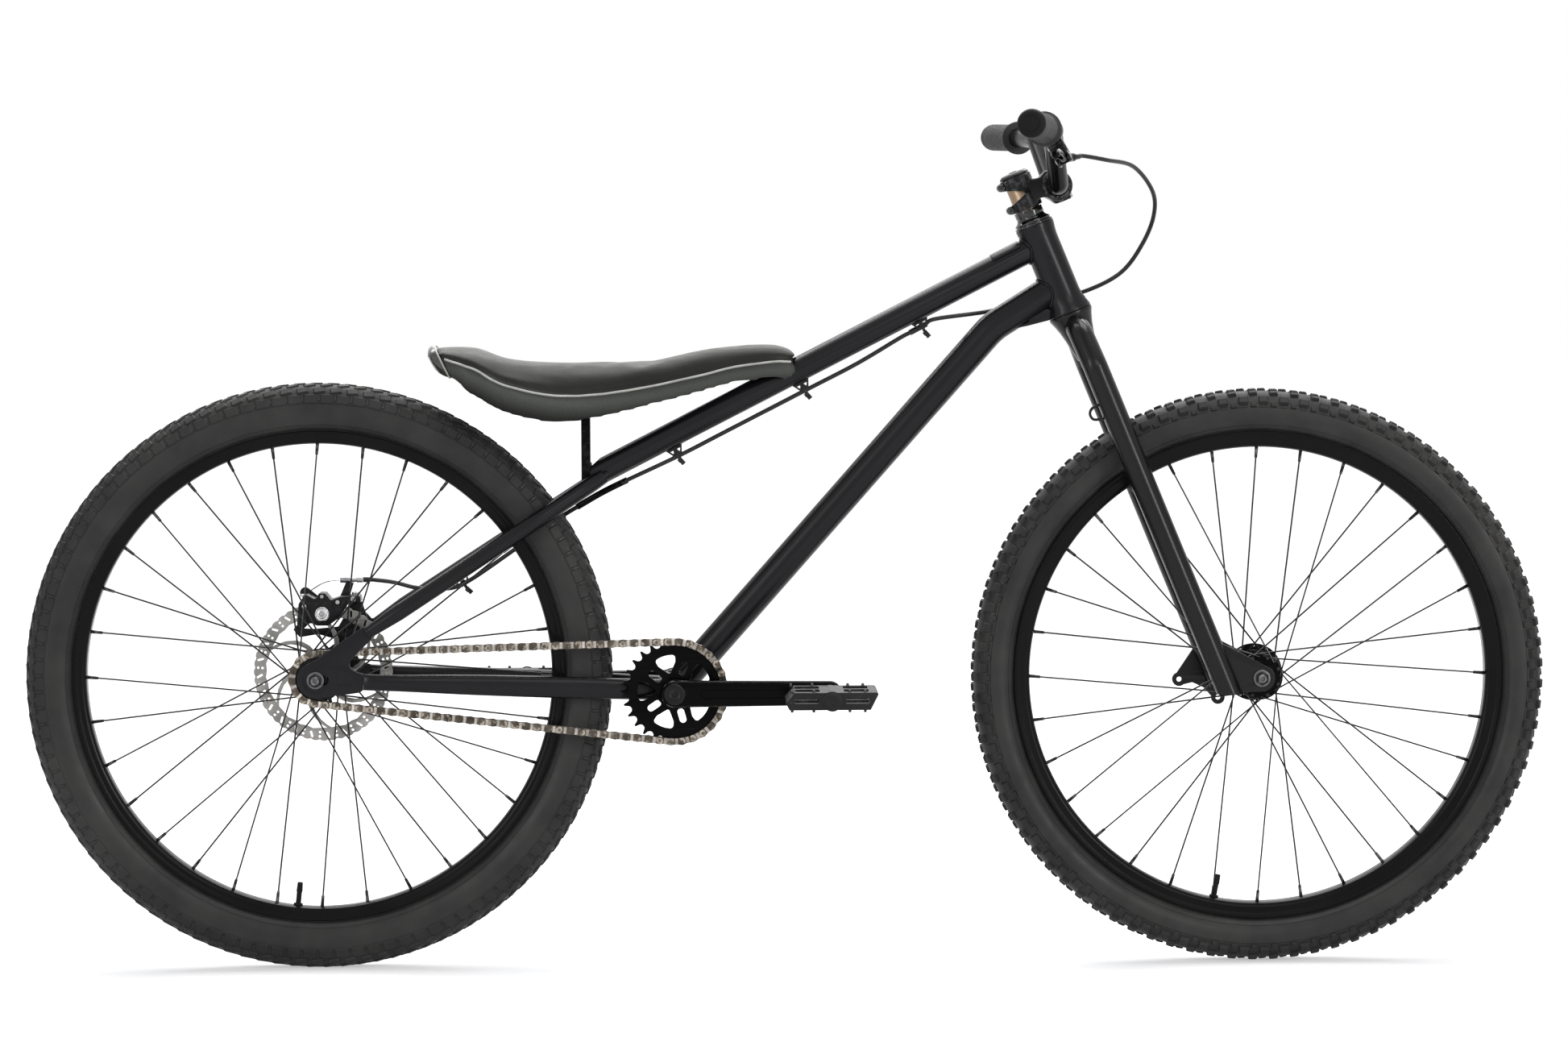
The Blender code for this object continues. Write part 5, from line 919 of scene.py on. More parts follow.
def build_hub(name, axle, body, node, stations, flanges, flange_radius, rim):
    """The turned shell, its spokes with bent heads, and their nipples at the rim."""
    section = [(0.0059, stations[0][0]), *((radius, y) for y, radius in stations), (0.0059, stations[-1][0])]
    shell = [lathe(section, 0.001, axle, SIDEWAYS, 64)]
    for y in flanges:
        for side in (RIGHT, LEFT):
            rim_y = y + side * FLANGE_HALF
            shell.append(turned([(flange_radius - 0.0012, rim_y), (flange_radius - 0.0012, rim_y + side * 0.0006),
                (flange_radius - 0.0028, rim_y + side * 0.0006), (flange_radius - 0.0028, rim_y)], axle, SIDEWAYS,
                64))
    piece(name, joined(*shell), GLOSS, body, [node], sharp=40.0)
    spokes, nipples = [], []
    step = 2 * pi / SPOKES_A_SIDE
    hole = flange_radius - 0.004
    for shift, flange_y in enumerate(flanges):
        side = 1 if flange_y > 0 else -1
        for number, lead in ((0, 1), (1, -1)):
            start = step * (number + shift / 2)
            face = lead * side
            inner = on_wheel(axle, hole, flange_y + face * 0.0042, start)
            outer = on_wheel(axle, rim[1] - 0.0002, side * 0.0018, start + lead * step * 3)
            along = (outer - inner).normalized()
            root = on_wheel(axle, hole, flange_y - face * 0.0036, start)
            wire_path = [root, inner.lerp(root, 0.22), inner + along * 0.0006, inner + along * 0.003,
                outer - along * 0.004]
            head = rod(root - SIDEWAYS * face * 0.0008, root + SIDEWAYS * face * 0.0004, 0.0021, 12)
            spokes.append(round_about(joined(tube(wire_path, 0.00098, 1), head), axle, SPOKES_A_SIDE // 2))
            nipple = rod(outer + along * 0.0012, outer - along * 0.0125, 0.0021, 8, 0.0003, 0.0017)
            nipples.append(round_about(nipple, axle, SPOKES_A_SIDE // 2))
    piece(name + "_spokes", joined(*spokes), SPOKE, body, sharp=50.0)
    piece(name + "_nipples", joined(*nipples), SATIN, body)


def build_axle(prefix, axle, spacing, body):
    """The threaded axle with its locknuts, and a nut with its washer outside either dropout."""
    half = spacing / 2
    tip = half + PLATE + 0.0095
    side = [(0, tip), (0.0042, tip), (0.005, tip - 0.0008)]
    for turn in range(7):
        place = tip - 0.001 - turn * 0.001
        side += [(0.005, place), (0.0046, place - 0.0005)]
    side += [(0.005, half - GAP), (0.009, half - GAP), (0.009, half - 0.0048), (0.005, half - 0.0048)]
    rod_made = turned(side + mirrored(side), axle, SIDEWAYS, 32)
    sockets = [settle(hexagon(0.003, 0.007), facing(axle + SIDEWAYS * end_y, SIDEWAYS)) for end_y in (-tip, tip)]
    piece(prefix + "_axle_rod", cut(rod_made, *sockets), DARK_STEEL, body, [prefix + "_axle"])
    seat = half + PLATE + GAP
    for side, word in SIDES:
        out = SIDEWAYS * side
        washer = lathe([(0.0053, seat), (0.01, seat), (0.01, seat + 0.0014), (0.0094, seat + 0.0022),
            (0.0053, seat + 0.0026)], 0.0004, axle, out)
        nut = hex_nut(axle + out * (seat + 0.0018), out, 0.008, 0.0057, 0.0053)
        piece(prefix + "_nut_" + word, nut, SATIN, body, [prefix + "_axle_nut_" + word])
        piece(prefix + "_washer_" + word, washer, DARK_STEEL, body)


ROTOR_BOLTS = 6
ROTOR_BOLT_REACH = 0.023


def build_rotor():
    """The scalloped rotor: thin swept arms, and a track with slanting slots between pairs of round holes."""
    scallops, arms, outer, track, hub = 48, ROTOR_BOLTS, 0.08, 0.065, 0.028
    edge = [polar(outer - 0.0013 * (0.5 - 0.5 * cos(scallops * angle)) ** 2, angle) for angle in turns(scallops * 12)]
    loops = [edge, circle((0, 0), 0.0178, 48)]
    step = 2 * pi / arms

    def arm_side(turn, half_inner, half_outer):
        """One side of an arm, from the hub out to the track."""
        side = []
        for share in (0.0, 0.15, 0.35, 0.55, 0.75, 0.9, 1.0):
            radius = hub + (track - hub) * share
            angle = turn + 0.62 * share ** 1.4 + half_inner + (half_outer - half_inner) * share
            side.append(polar(radius, angle))
        return side

    for arm in range(arms):
        turn = step * arm
        near_side = arm_side(turn, 0.1, 0.04)
        far_side = arm_side(turn + step, -0.1, -0.04)
        rim_of = [polar(track * (1 + 0.022 * sin(pi * (part - 1) / 2) ** 2), turn + 0.66 + 0.967 * part / 8)
            for part in range(1, 8)]
        loops.append(near_side + rim_of + far_side[::-1])
        loops.append(circle(polar(ROTOR_BOLT_REACH, turn + 0.15), 0.0021, 12))
        for place in range(8):
            angle = turn + step * (place + 0.5) / 8
            if place % 2:
                loops += [circle(polar(reach, angle), 0.0015, 10) for reach in (0.0752, 0.0702)]
            else:
                loops.append(slot_loop(polar(0.0735, angle), angle + 0.45, 0.0078, 0.0024, 5))
    piece("rotor_disc", plate(loops, 0.002, side_plane(0.0558, REAR_AXLE), 0.0002), ROTOR, "rear_wheel",
        ["brake_rotor"])
    bolts = socket_bolt(on_wheel(REAR_AXLE, ROTOR_BOLT_REACH, 0.057, -0.15), SIDEWAYS, 0.0034, 0.0022)
    piece("rotor_bolts", round_about(bolts, REAR_AXLE, ROTOR_BOLTS), ZINC, "rear_wheel")


def build_wheels():
    build_tyre("front_casing", FRONT_AXLE, FRONT_TYRE_RADIUS, "front_wheel", "front_tyre", 0.003, FRONT_KNOBS, 85,
        FRONT_RIM)
    build_tyre("rear_casing", REAR_AXLE, REAR_TYRE_RADIUS, "rear_wheel", "rear_tyre", 0.0014, REAR_KNOBS, 108,
        REAR_RIM)
    build_rim("front_rim_ring", FRONT_AXLE, "front_wheel", "front_rim", radians(-101), FRONT_RIM)
    build_rim("rear_rim_ring", REAR_AXLE, "rear_wheel", "rear_rim", radians(-96), REAR_RIM)
    rear = [(-0.029, 0.015), *flange(-0.0225, 0.0285, 0.016, 0.015), (-0.004, 0.0132), (0.014, 0.0132),
        *flange(0.0325, 0.0285, 0.015, 0.017), (0.0508, 0.0175), (0.0518, 0.0265), (0.0545, 0.0265), (0.0545, 0.015),
        (0.0598, 0.015), (0.061, 0.0095)]
    build_hub("rear_hub_shell", REAR_AXLE, "rear_wheel", "rear_hub", rear, (-0.0225, 0.0325), 0.0285, REAR_RIM)
    end_y = 0.0454
    front = [(-end_y, 0.009), (-0.038, 0.015), *flange(-0.031, 0.0265, 0.016, 0.015), (-0.013, 0.0127),
        (0.006, 0.0127), *flange(0.0235, 0.0265, 0.015, 0.019), (0.0335, 0.02), (0.0345, 0.033), (0.038, 0.033),
        (0.038, 0.016), (end_y, 0.009)]
    build_hub("front_hub_shell", FRONT_AXLE, "front_wheel", "front_hub", front, (-0.031, 0.0235), 0.0265, FRONT_RIM)
    stud = rod(on_wheel(FRONT_AXLE, 0.03, 0.0338, 0), on_wheel(FRONT_AXLE, 0.03, 0.0356, 0), 0.0016, 10)
    piece("front_hub_studs", round_about(stud, FRONT_AXLE, 12), ZINC, "front_wheel")
    build_axle("rear", REAR_AXLE, DROPOUT_SPACING, "frame")
    build_axle("front", FRONT_AXLE, FORK_SPACING, "steering")
    build_rotor()


# Drive train

CHAIN_PITCH = 0.0127
CHAIN_LINKS = 85
CHAINLINE = 0.047
BRACKET_HALF = 0.0365
CRANK_LENGTH = 0.175
RING_TEETH = 28
COG_TEETH = 14
RING_RADIUS = CHAIN_PITCH / (2 * sin(pi / RING_TEETH))
COG_RADIUS = CHAIN_PITCH / (2 * sin(pi / COG_TEETH))


def links_round(distance):
    """How many links a tight chain takes at this distance between the sprockets."""
    lean = asin((RING_RADIUS - COG_RADIUS) / distance)
    straight = 2 * sqrt(distance ** 2 - (RING_RADIUS - COG_RADIUS) ** 2) / CHAIN_PITCH
    return straight + (RING_TEETH * (pi + 2 * lean) + COG_TEETH * (pi - 2 * lean)) / (2 * pi)


def sprocket_distance():
    near, far = 0.2, 0.6
    for _ in range(60):
        middle = (near + far) / 2
        near, far = (middle, far) if links_round(middle) < CHAIN_LINKS else (near, middle)
    return (near + far) / 2


DISTANCE = sprocket_distance()
BRACKET_DROP = 0.0176
BRACKET = REAR_AXLE + Vector((sqrt(DISTANCE ** 2 - BRACKET_DROP ** 2), 0, -BRACKET_DROP))
BELT_LEAN = asin((RING_RADIUS - COG_RADIUS) / DISTANCE)
BELT_FORWARD = (BRACKET - REAR_AXLE).normalized()
BELT_UP = Vector((-BELT_FORWARD.z, 0, BELT_FORWARD.x))


def belt_direction(angle):
    return BELT_FORWARD * cos(angle) + BELT_UP * sin(angle)


def chain_pin(number):
    """A pin's place: round the chainring, back below, round the cog and forward above."""
    ring_links = RING_TEETH * (pi + 2 * BELT_LEAN) / (2 * pi)
    run_links = sqrt(DISTANCE ** 2 - (RING_RADIUS - COG_RADIUS) ** 2) / CHAIN_PITCH
    cog_links = COG_TEETH * (pi - 2 * BELT_LEAN) / (2 * pi)
    upper = pi / 2 + BELT_LEAN
    if number < ring_links:
        return BRACKET + belt_direction(upper - 2 * pi * number / RING_TEETH) * RING_RADIUS
    number -= ring_links
    if number < run_links:
        leave = BRACKET + belt_direction(-upper) * RING_RADIUS
        return leave.lerp(REAR_AXLE + belt_direction(-upper) * COG_RADIUS, number / run_links)
    number -= run_links
    if number < cog_links:
        return REAR_AXLE + belt_direction(-upper - 2 * pi * number / COG_TEETH) * COG_RADIUS
    number -= cog_links
    leave = REAR_AXLE + belt_direction(upper) * COG_RADIUS
    return leave.lerp(BRACKET + belt_direction(upper) * RING_RADIUS, number / run_links)


PINS = [chain_pin((0.5 + number) % CHAIN_LINKS) for number in range(CHAIN_LINKS)]


def link_plate(side):
    """One cranked plate of a half link: wide at its own pin, stepped in towards the next one."""
    head, waist, half = 0.0043, 0.0036, 0.00055
    rings = []
    stations = 12
    for step in range(stations + 1):
        place = -head * 0.985 + (CHAIN_PITCH + head * 1.97) * step / stations
        beyond = max(-place, place - CHAIN_PITCH, 0.0)
        height = waist + (head - waist) * (0.5 + 0.5 * cos(2 * pi * place / CHAIN_PITCH)) ** 1.6
        if beyond:
            height = sqrt(head ** 2 - beyond ** 2)
        share = min(max((place / CHAIN_PITCH - 0.3) / 0.4, 0.0), 1.0)
        y = side * (0.0044 - 0.0014 * share * share * (3 - 2 * share))
        trim = min(0.00022, height * 0.3)
        corners = ((-half, -height + trim), (trim - half, -height), (half - trim, -height), (half, trim - height),
            (half, height - trim), (half - trim, height), (trim - half, height), (-half, height - trim))
        rings.append([Vector((place, y + out, level)) for out, level in corners])
    return lofted(rings)


def build_chain():
    """Half links along the run of pins, with rollers between the plates and riveted pin ends outside."""
    seats = []
    for number, pin in enumerate(PINS):
        along = PINS[(number + 1) % CHAIN_LINKS] - pin
        turn = Matrix.Rotation(-atan2(along.z, along.x), 4, "Y")
        seats.append(Matrix.Translation(pin - SIDEWAYS * CHAINLINE) @ turn)
    link = joined(link_plate(RIGHT), link_plate(LEFT))
    for each in (CHAIN, CHAIN_PIN):
        link.data.materials.append(each)
    second_finish(link, lambda face: 0.0053 < face.calc_center_median().x < 0.0075)
    piece("chain_links", copies(link, seats), [CHAIN, CHAIN_PIN], "frame", ["chain"], sharp=40.0)
    lip = [(0.0026, 0.0044), (0.0034, 0.0044), (0.0034, 0.0052), (0.0026, 0.0052)]
    lips = [turned(lip, Vector(), SIDEWAYS * side, 14) for side in (RIGHT, LEFT)]
    roller = rod(SIDEWAYS * -0.0023, SIDEWAYS * 0.0023, 0.0037, 12, 0.0003)
    piece("chain_rollers", copies(roller, seats), CHAIN_PIN, "frame")
    rivets = [rod(SIDEWAYS * side * 0.004, SIDEWAYS * side * 0.0054, 0.0017, 10, 0.0003) for side in (RIGHT, LEFT)]
    piece("chain_rivets", copies(joined(*rivets, *lips), seats), CHAIN, "frame")


def toothed_edge(teeth, radius, centre):
    """A sprocket's outline, its round gaps phased to the chain's pins."""
    pin = min(PINS, key=lambda place: abs((place - centre).length - radius))
    first = atan2(pin.z - centre.z, pin.x - centre.x)
    pitch = 2 * pi / teeth
    swing = radians(66)
    outline = []
    for tooth in range(teeth):
        gap = first + pitch * tooth
        outline += arc(polar(radius, gap), 0.0041, gap + pi + swing, gap + pi - swing, 8)
        outline += [polar(radius + 0.003, gap + pitch / 2 + offset / radius) for offset in (-0.0009, 0.0009)]
    return outline


def build_sprockets():
    loops = [toothed_edge(RING_TEETH, RING_RADIUS, BRACKET), circle((0, 0), 0.0123, 40)]
    step = 2 * pi / 5
    for number in range(5):
        turn = radians(-74) + step * number
        loops.append(slot_loop(polar(0.0283, turn), turn, 0.0168, 0.0078, 8))
        middle = turn + step / 2
        corners = ((0.0205, 0, 0.0022), (0.034, -0.3, 0.006), (0.042, -0.29, 0.0034), (0.0432, 0, 0.03),
            (0.042, 0.29, 0.0034), (0.034, 0.3, 0.006))
        loops.append(rounded([(*polar(radius, middle + swing), fillet) for radius, swing, fillet in corners]))
    ring = plate(loops, 0.003, side_plane(-CHAINLINE, BRACKET), 0.0005)
    piece("chainring_plate", ring, GLOSS, "crank", ["chainring"])
    disc = plate([toothed_edge(COG_TEETH, COG_RADIUS, REAR_AXLE), circle((0, 0), 0.015, 40)], 0.003,
        side_plane(-CHAINLINE, REAR_AXLE), 0.0004)
    driver = lathe([(0.0059, 0.0295), (0.0165, 0.0295), (0.0165, 0.053), (0.0148, 0.0545), (0.0148, 0.06),
        (0.0132, 0.0624), (0.0059, 0.0624)], 0.0006, REAR_AXLE, -SIDEWAYS, 64)
    notch = block(REAR_AXLE + Vector((0.0128, -0.0615, 0)), (0.005, 0.005, 0.0042))
    driver = cut(driver, round_about(notch, REAR_AXLE, 4, turn=radians(38)))
    piece("cog_and_driver", joined(disc, driver), SATIN, "freewheel", ["rear_cog"])


ARM_INNER = 0.0705
ARM_OUTER = 0.0855
PEDAL_INNER = ARM_OUTER + 0.006


def pedal_centre(side):
    """The right crank points forward at rest and the left one back."""
    return BRACKET - Vector((side * CRANK_LENGTH, 0, 0))


def build_crank(side, word):
    """A forged arm: round at the boss and at the pedal, drawn in between, with broken edges."""
    tip = -side * CRANK_LENGTH
    heading = 1 if tip > 0 else -1
    rings = []
    for inset, y in ((0.0032, ARM_INNER), (0.0012, ARM_INNER + 0.0006), (0.0, ARM_INNER + 0.0026),
            (0.0, ARM_OUTER - 0.0036), (0.0007, ARM_OUTER - 0.0014), (0.0022, ARM_OUTER - 0.0002),
            (0.0036, ARM_OUTER)):
        outline = belt((0, 0), 0.015 - inset, (tip, 0), 0.0135 - inset, 20)
        rings.append([BRACKET + Vector((x, side * y, z)) for x, z in outline])
    arm = lofted(rings)
    inside = CHAINLINE + 0.0018 if side == RIGHT else 0.041
    boss = lathe([(0.0123, inside), (0.0146, inside), (0.0146, ARM_INNER + 0.002), (0.0123, ARM_INNER + 0.002)],
        0.0006, BRACKET, SIDEWAYS * side)
    lips = [lathe([(radius - 0.0016, ARM_OUTER - 0.001), (radius, ARM_OUTER - 0.001), (radius, ARM_OUTER + 0.0004),
        (radius - 0.0016, ARM_OUTER + 0.0004)], 0.0005, place, SIDEWAYS * side) for place,
        radius in ((BRACKET, 0.0134), (pedal_centre(side), 0.01))]
    window = lofted([[BRACKET + Vector((x, side * y, z)) for x,
        z in belt((heading * 0.034, 0), 0.0056 * scale, (tip - heading * 0.03, 0), 0.005 * scale, 12)] for y,
        scale in ((ARM_OUTER - 0.0009, 0.82), (ARM_OUTER + 0.002, 1.2))])
    arm = cut(arm, window)
    piece("crank_forging_" + word, joined(arm, boss, *lips), GLOSS, "crank", ["crank_arm_" + word])


def build_crank_bolts():
    ends = []
    for side in (RIGHT, LEFT):
        out = SIDEWAYS * side
        face = BRACKET + out * ARM_OUTER
        collar = lathe([(0.006, 0.0003), (0.0118, 0.0003), (0.0118, 0.0018), (0.0105, 0.0026), (0.006, 0.0026)],
            0.0004, face, out)
        bolt = socket_bolt(face + out * 0.001, out, 0.0062, 0.002, 32)
        ends += [collar, bolt]
    shaft = rod(BRACKET - SIDEWAYS * (ARM_OUTER + 0.0004), BRACKET + SIDEWAYS * (ARM_OUTER + 0.0004), 0.012, 48)
    piece("spindle_and_bolts", joined(shaft, *ends), SATIN, "crank", ["crank_spindle"])


def build_pedal(side, word):
    """A moulded platform: slanting ends, four windows, slots through its sides, studs and a barrel."""
    half_length, half_thickness, width = 0.0515, 0.00975, 0.1
    centre = pedal_centre(side)
    middle = side * (PEDAL_INNER + width / 2)
    outline = rounded([(-half_length + 0.004, -half_thickness, 0.0015),
        (half_length - 0.009, -half_thickness, 0.0015), (half_length, half_thickness * 0.8, 0.0012),
        (half_length - 0.002, half_thickness, 0.0012), (-half_length + 0.01, half_thickness, 0.0015),
        (-half_length, -half_thickness * 0.2, 0.0015)], 3)
    body = plate([outline], width, side_plane(middle, centre), 0.0009)
    clear, wall = 0.0135, 0.0085
    length = half_length - wall - clear - 0.002
    opening = width / 2 - 0.0155
    tools = []
    for across in (-1, 1):
        for fore in (-1, 1):
            place = centre + Vector((fore * (clear + length / 2), middle + across * (opening / 2 + 0.004), 0))
            tools.append(block(place, (length, opening, half_thickness * 4), edge=0.003))
    for fore in (-1, 1):
        place = centre + Vector((fore * (clear + length / 2 + 0.001), middle, 0.0005))
        tools.append(block(place, (length, width * 1.2, 0.0058), edge=0.002))
    body = cut(body, *tools)
    start = centre + SIDEWAYS * side * PEDAL_INNER
    stop = start + SIDEWAYS * side * width
    barrel = rod(start, stop + SIDEWAYS * side * 0.0012, 0.0104, 40, 0.001)
    cap = lathe([(0, 0.0006), (0.003, 0.0006), (0.0046, 0.002), (0.0084, 0.002), (0.0092, 0.001), (0.0112, 0.001),
        (0.0114, -0.003), (0, -0.003)], 0.0004, stop, SIDEWAYS * side, 32, False)
    body = fused(body, barrel)
    studs = []
    for level in (-1, 1):
        for fore in (-0.0445, -0.0205, 0.0195, 0.0365):
            for across in (-0.044, 0.044):
                foot = centre + Vector((fore, middle + across, level * half_thickness * 0.86))
                studs.append(rod(foot, foot + Vector((0, 0, level * 0.0042)), 0.0019, 8, 0.0005, 0.0015))
    piece("pedal_platform_" + word, joined(body, cap), PLASTIC, "pedal_" + word, ["pedal_" + word])
    piece("pedal_pins_" + word, joined(*studs), PIN_BLACK, "pedal_" + word)
    flange_y = ARM_OUTER + GAP
    section = [(0, ARM_INNER + 0.001), (0.0048, ARM_INNER + 0.001), (0.0048, flange_y), (0.0078, flange_y),
        (0.0078, PEDAL_INNER - 0.0005), (0.0048, PEDAL_INNER - 0.0005), (0.0048, PEDAL_INNER + 0.09),
        (0, PEDAL_INNER + 0.09)]
    axle = lathe(section, 0.0005, centre, SIDEWAYS * side, 32, False)
    flats = [block(centre + Vector((0, side * (flange_y + 0.003), up * 0.0092)), (0.03, 0.005, 0.004))
        for up in (1, -1)]
    piece("pedal_axle_" + word, cut(axle, *flats), ZINC, "crank", ["pedal_spindle_" + word])


def build_bracket_cup(side, word):
    face = BRACKET_HALF + GAP
    section = [(0.0124, face - 0.012), (0.0161, face - 0.012), (0.0161, face), (0.021, face), (0.021, face + 0.0028),
        (0.019, face + 0.0036), (0.0124, face + 0.0036)]
    cup = lathe(section, 0.0005, BRACKET, SIDEWAYS * side, 64)
    notch = block(BRACKET + Vector((0.0212, side * (face + 0.002), 0)), (0.0026, 0.006, 0.0032))
    piece("bearing_cup_" + word, cut(cup, round_about(notch, BRACKET, 8)), SATIN, "frame",
        ["bottom_bracket_cup_" + word])


def build_drive():
    build_chain()
    build_sprockets()
    build_crank_bolts()
    for side, word in SIDES:
        build_crank(side, word)
        build_pedal(side, word)
        build_bracket_cup(side, word)


# Frame

TOP_TUBE_RADIUS = 0.0143
DOWN_TUBE_RADIUS = 0.01745
SEAT_STAY_RADIUS = 0.0093
HEAD_WELD_RADIUS = 0.0207
BRACKET_WELD_RADIUS = 0.0203
WELD_REACH = 1.02
TOP_TUBE_SLOPE = radians(27.0)
DOWN_SLOPE = radians(32.0)
TOP_TUBE_RUN = Vector((-cos(TOP_TUBE_SLOPE), 0, -sin(TOP_TUBE_SLOPE)))
TOP_TUBE_START = HEAD_TOP - AXIS_UP * 0.0225
YOKE = TOP_TUBE_START + TOP_TUBE_RUN * 0.578
DOWN_JOINT = HEAD_TOP - AXIS_UP * 0.0738
DOWN_KNEE = DOWN_JOINT - Vector((cos(DOWN_SLOPE), 0, sin(DOWN_SLOPE))) * 0.09
DROPOUT_MIDDLE = DROPOUT_SPACING / 2 + PLATE / 2
STAY_FOOT = REAR_AXLE + Vector((0.0594, 0, 0.0535))
STAY_TOP = YOKE + Vector((0.0152, 0, 0.0017))
STAY_RUN = (STAY_TOP - STAY_FOOT).normalized()

# How far a seat stay stands from the middle at each share of its way up

SEAT_STAY_SPREAD = ((0.0, 0.0705), (0.157, 0.069), (0.377, 0.0585), (0.597, 0.048), (0.712, 0.0425), (0.818, 0.0345),
    (0.92, 0.0268), (1.0, 0.0242))


def on_cylinder(start, run, radius, axis_place, axis, cylinder, steps=72):
    """Where a tube's skin meets a cylinder: one place for each angle round the tube."""
    across = run.orthogonal().normalized()
    upright = run.cross(across).normalized()
    places = []
    for angle in turns(steps):
        base = start + (across * cos(angle) + upright * sin(angle)) * radius - axis_place
        flat_base = base - axis * base.dot(axis)
        flat_run = run - axis * run.dot(axis)
        a, b, c = flat_run.dot(flat_run), 2 * flat_base.dot(flat_run), flat_base.dot(flat_base) - cylinder ** 2
        root = sqrt(max(b * b - 4 * a * c, 0.0))
        places.append(axis_place + base + run * ((-b + root) / (2 * a)))
    return places


def bead(places, size=0.0018, ripples=40):
    """A weld bead: a closed bar along the places, swelling and shrinking like a row of coins."""
    count = len(places)
    middle = sum(places, Vector()) / count
    rings = []
    for index, place in enumerate(places):
        along = (places[(index + 1) % count] - places[index - 1]).normalized()
        out = place - middle
        out = (out - along * out.dot(along)).normalized()
        side = along.cross(out)
        swell = size * (0.9 + 0.16 * abs(sin(pi * ripples * index / count)))
        rings.append([place + (out * cos(angle) + side * sin(angle)) * swell for angle in turns(8)])
    return lofted(rings, closed=True)


def build_main_tubes():
    outline = [(0.0225, 0.0), (0.0222, -0.005), (0.021, -0.012), (0.0205, -0.018), (0.0205, 0.022 - HEAD_LENGTH),
        (0.0214, 0.015 - HEAD_LENGTH), (0.0232, 0.008 - HEAD_LENGTH), (0.025, 0.003 - HEAD_LENGTH),
        (0.0254, -HEAD_LENGTH)]
    inside = [(0.0204, -HEAD_LENGTH), (0.0204, 0.0073 - HEAD_LENGTH), (0.0172, 0.0073 - HEAD_LENGTH),
        (0.0172, -0.0073), (0.0204, -0.0073), (0.0204, 0.0)]
    head = turned(softened(outline + inside, 0.0016, steps=4), HEAD_TOP, AXIS_UP, 72)
    holes = [rod(steer(0.0005, -0.03, up), steer(0.0005, -0.0195, up), 0.0021, 20, 0.0) for up in (-0.0395, -0.053)]
    piece("head_tube_shell", cut(head, *holes), PAINT, "frame", ["head_tube"])
    top = rod(TOP_TUBE_START + TOP_TUBE_RUN * 0.012, YOKE + TOP_TUBE_RUN * 0.02, TOP_TUBE_RADIUS, 64, 0.0005)
    bevel_run = Vector((0.729, 0, 0.684)).normalized()
    bevel_out = bevel_run.cross(SIDEWAYS)
    slant = axes(bevel_run, SIDEWAYS, bevel_out)
    corner = YOKE + Vector((0.0095, 0, 0.0203))
    top = cut(top, block(YOKE + Vector((-0.02, 0, 0)), (0.04, 0.08, 0.12)),
        block(corner + bevel_out * 0.03, (0.12, 0.08, 0.06), slant))
    seam = on_cylinder(TOP_TUBE_START, TOP_TUBE_RUN, TOP_TUBE_RADIUS * WELD_REACH, HEAD_TOP, AXIS_UP,
        HEAD_WELD_RADIUS)
    piece("top_tube_bar", joined(top, bead(seam)), PAINT, "frame", ["top_tube"])
    run = (DOWN_KNEE - DOWN_JOINT).normalized()
    path = bent([BRACKET, DOWN_KNEE, DOWN_JOINT + run * 0.01], 0.08, 16)
    foot_run = (DOWN_KNEE - BRACKET).normalized()
    path[0] = BRACKET + foot_run * 0.012
    down = tube(path, DOWN_TUBE_RADIUS, 14)
    upper = on_cylinder(DOWN_JOINT, run, DOWN_TUBE_RADIUS * WELD_REACH, HEAD_TOP, AXIS_UP, HEAD_WELD_RADIUS)
    upper = bead(upper, ripples=48)
    lower = on_cylinder(BRACKET, foot_run, DOWN_TUBE_RADIUS, BRACKET, SIDEWAYS, BRACKET_WELD_RADIUS)
    lower = bead(lower, ripples=48)
    piece("down_tube_bar", joined(down, upper, lower), PAINT, "frame", ["down_tube"])
    shell = lathe([(0.0165, -BRACKET_HALF), (0.02, -BRACKET_HALF), (0.02, BRACKET_HALF), (0.0165, BRACKET_HALF)],
        0.0008, BRACKET, SIDEWAYS, 72)
    piece("bracket_shell_tube", shell, PAINT, "frame", ["bottom_bracket_shell"])


def build_gusset():
    """The box gusset under the down tube at the head tube, and the doubler along the top tube's upper skin."""
    outline = rounded([(0.3044, 0.747, 0.0), (0.3032, 0.7344, 0.003), (0.278, 0.728, 0.01), (0.2618, 0.7246, 0.004),
        (0.244, 0.715, 0.002), (0.244, 0.726, 0.0), (0.2749, 0.746, 0.0)], 4)
    window = slot_loop((0.2735, 0.7335), radians(24), 0.011, 0.0052, 8)
    under = plate([outline, window], 0.017, side_plane(), 0.0012)
    piece("under_gusset", under, PAINT, "frame")
    doubler = rod(TOP_TUBE_START + TOP_TUBE_RUN * 0.024, TOP_TUBE_START + TOP_TUBE_RUN * 0.059,
        TOP_TUBE_RADIUS + 0.0012, 64, 0.0006)
    down = TOP_TUBE_RUN.cross(SIDEWAYS)
    below = block(TOP_TUBE_START + TOP_TUBE_RUN * 0.04 + down * 0.042, (0.08, 0.06, 0.1),
        axes(TOP_TUBE_RUN, SIDEWAYS, down))
    piece("top_doubler", cut(doubler, below), PAINT, "frame")


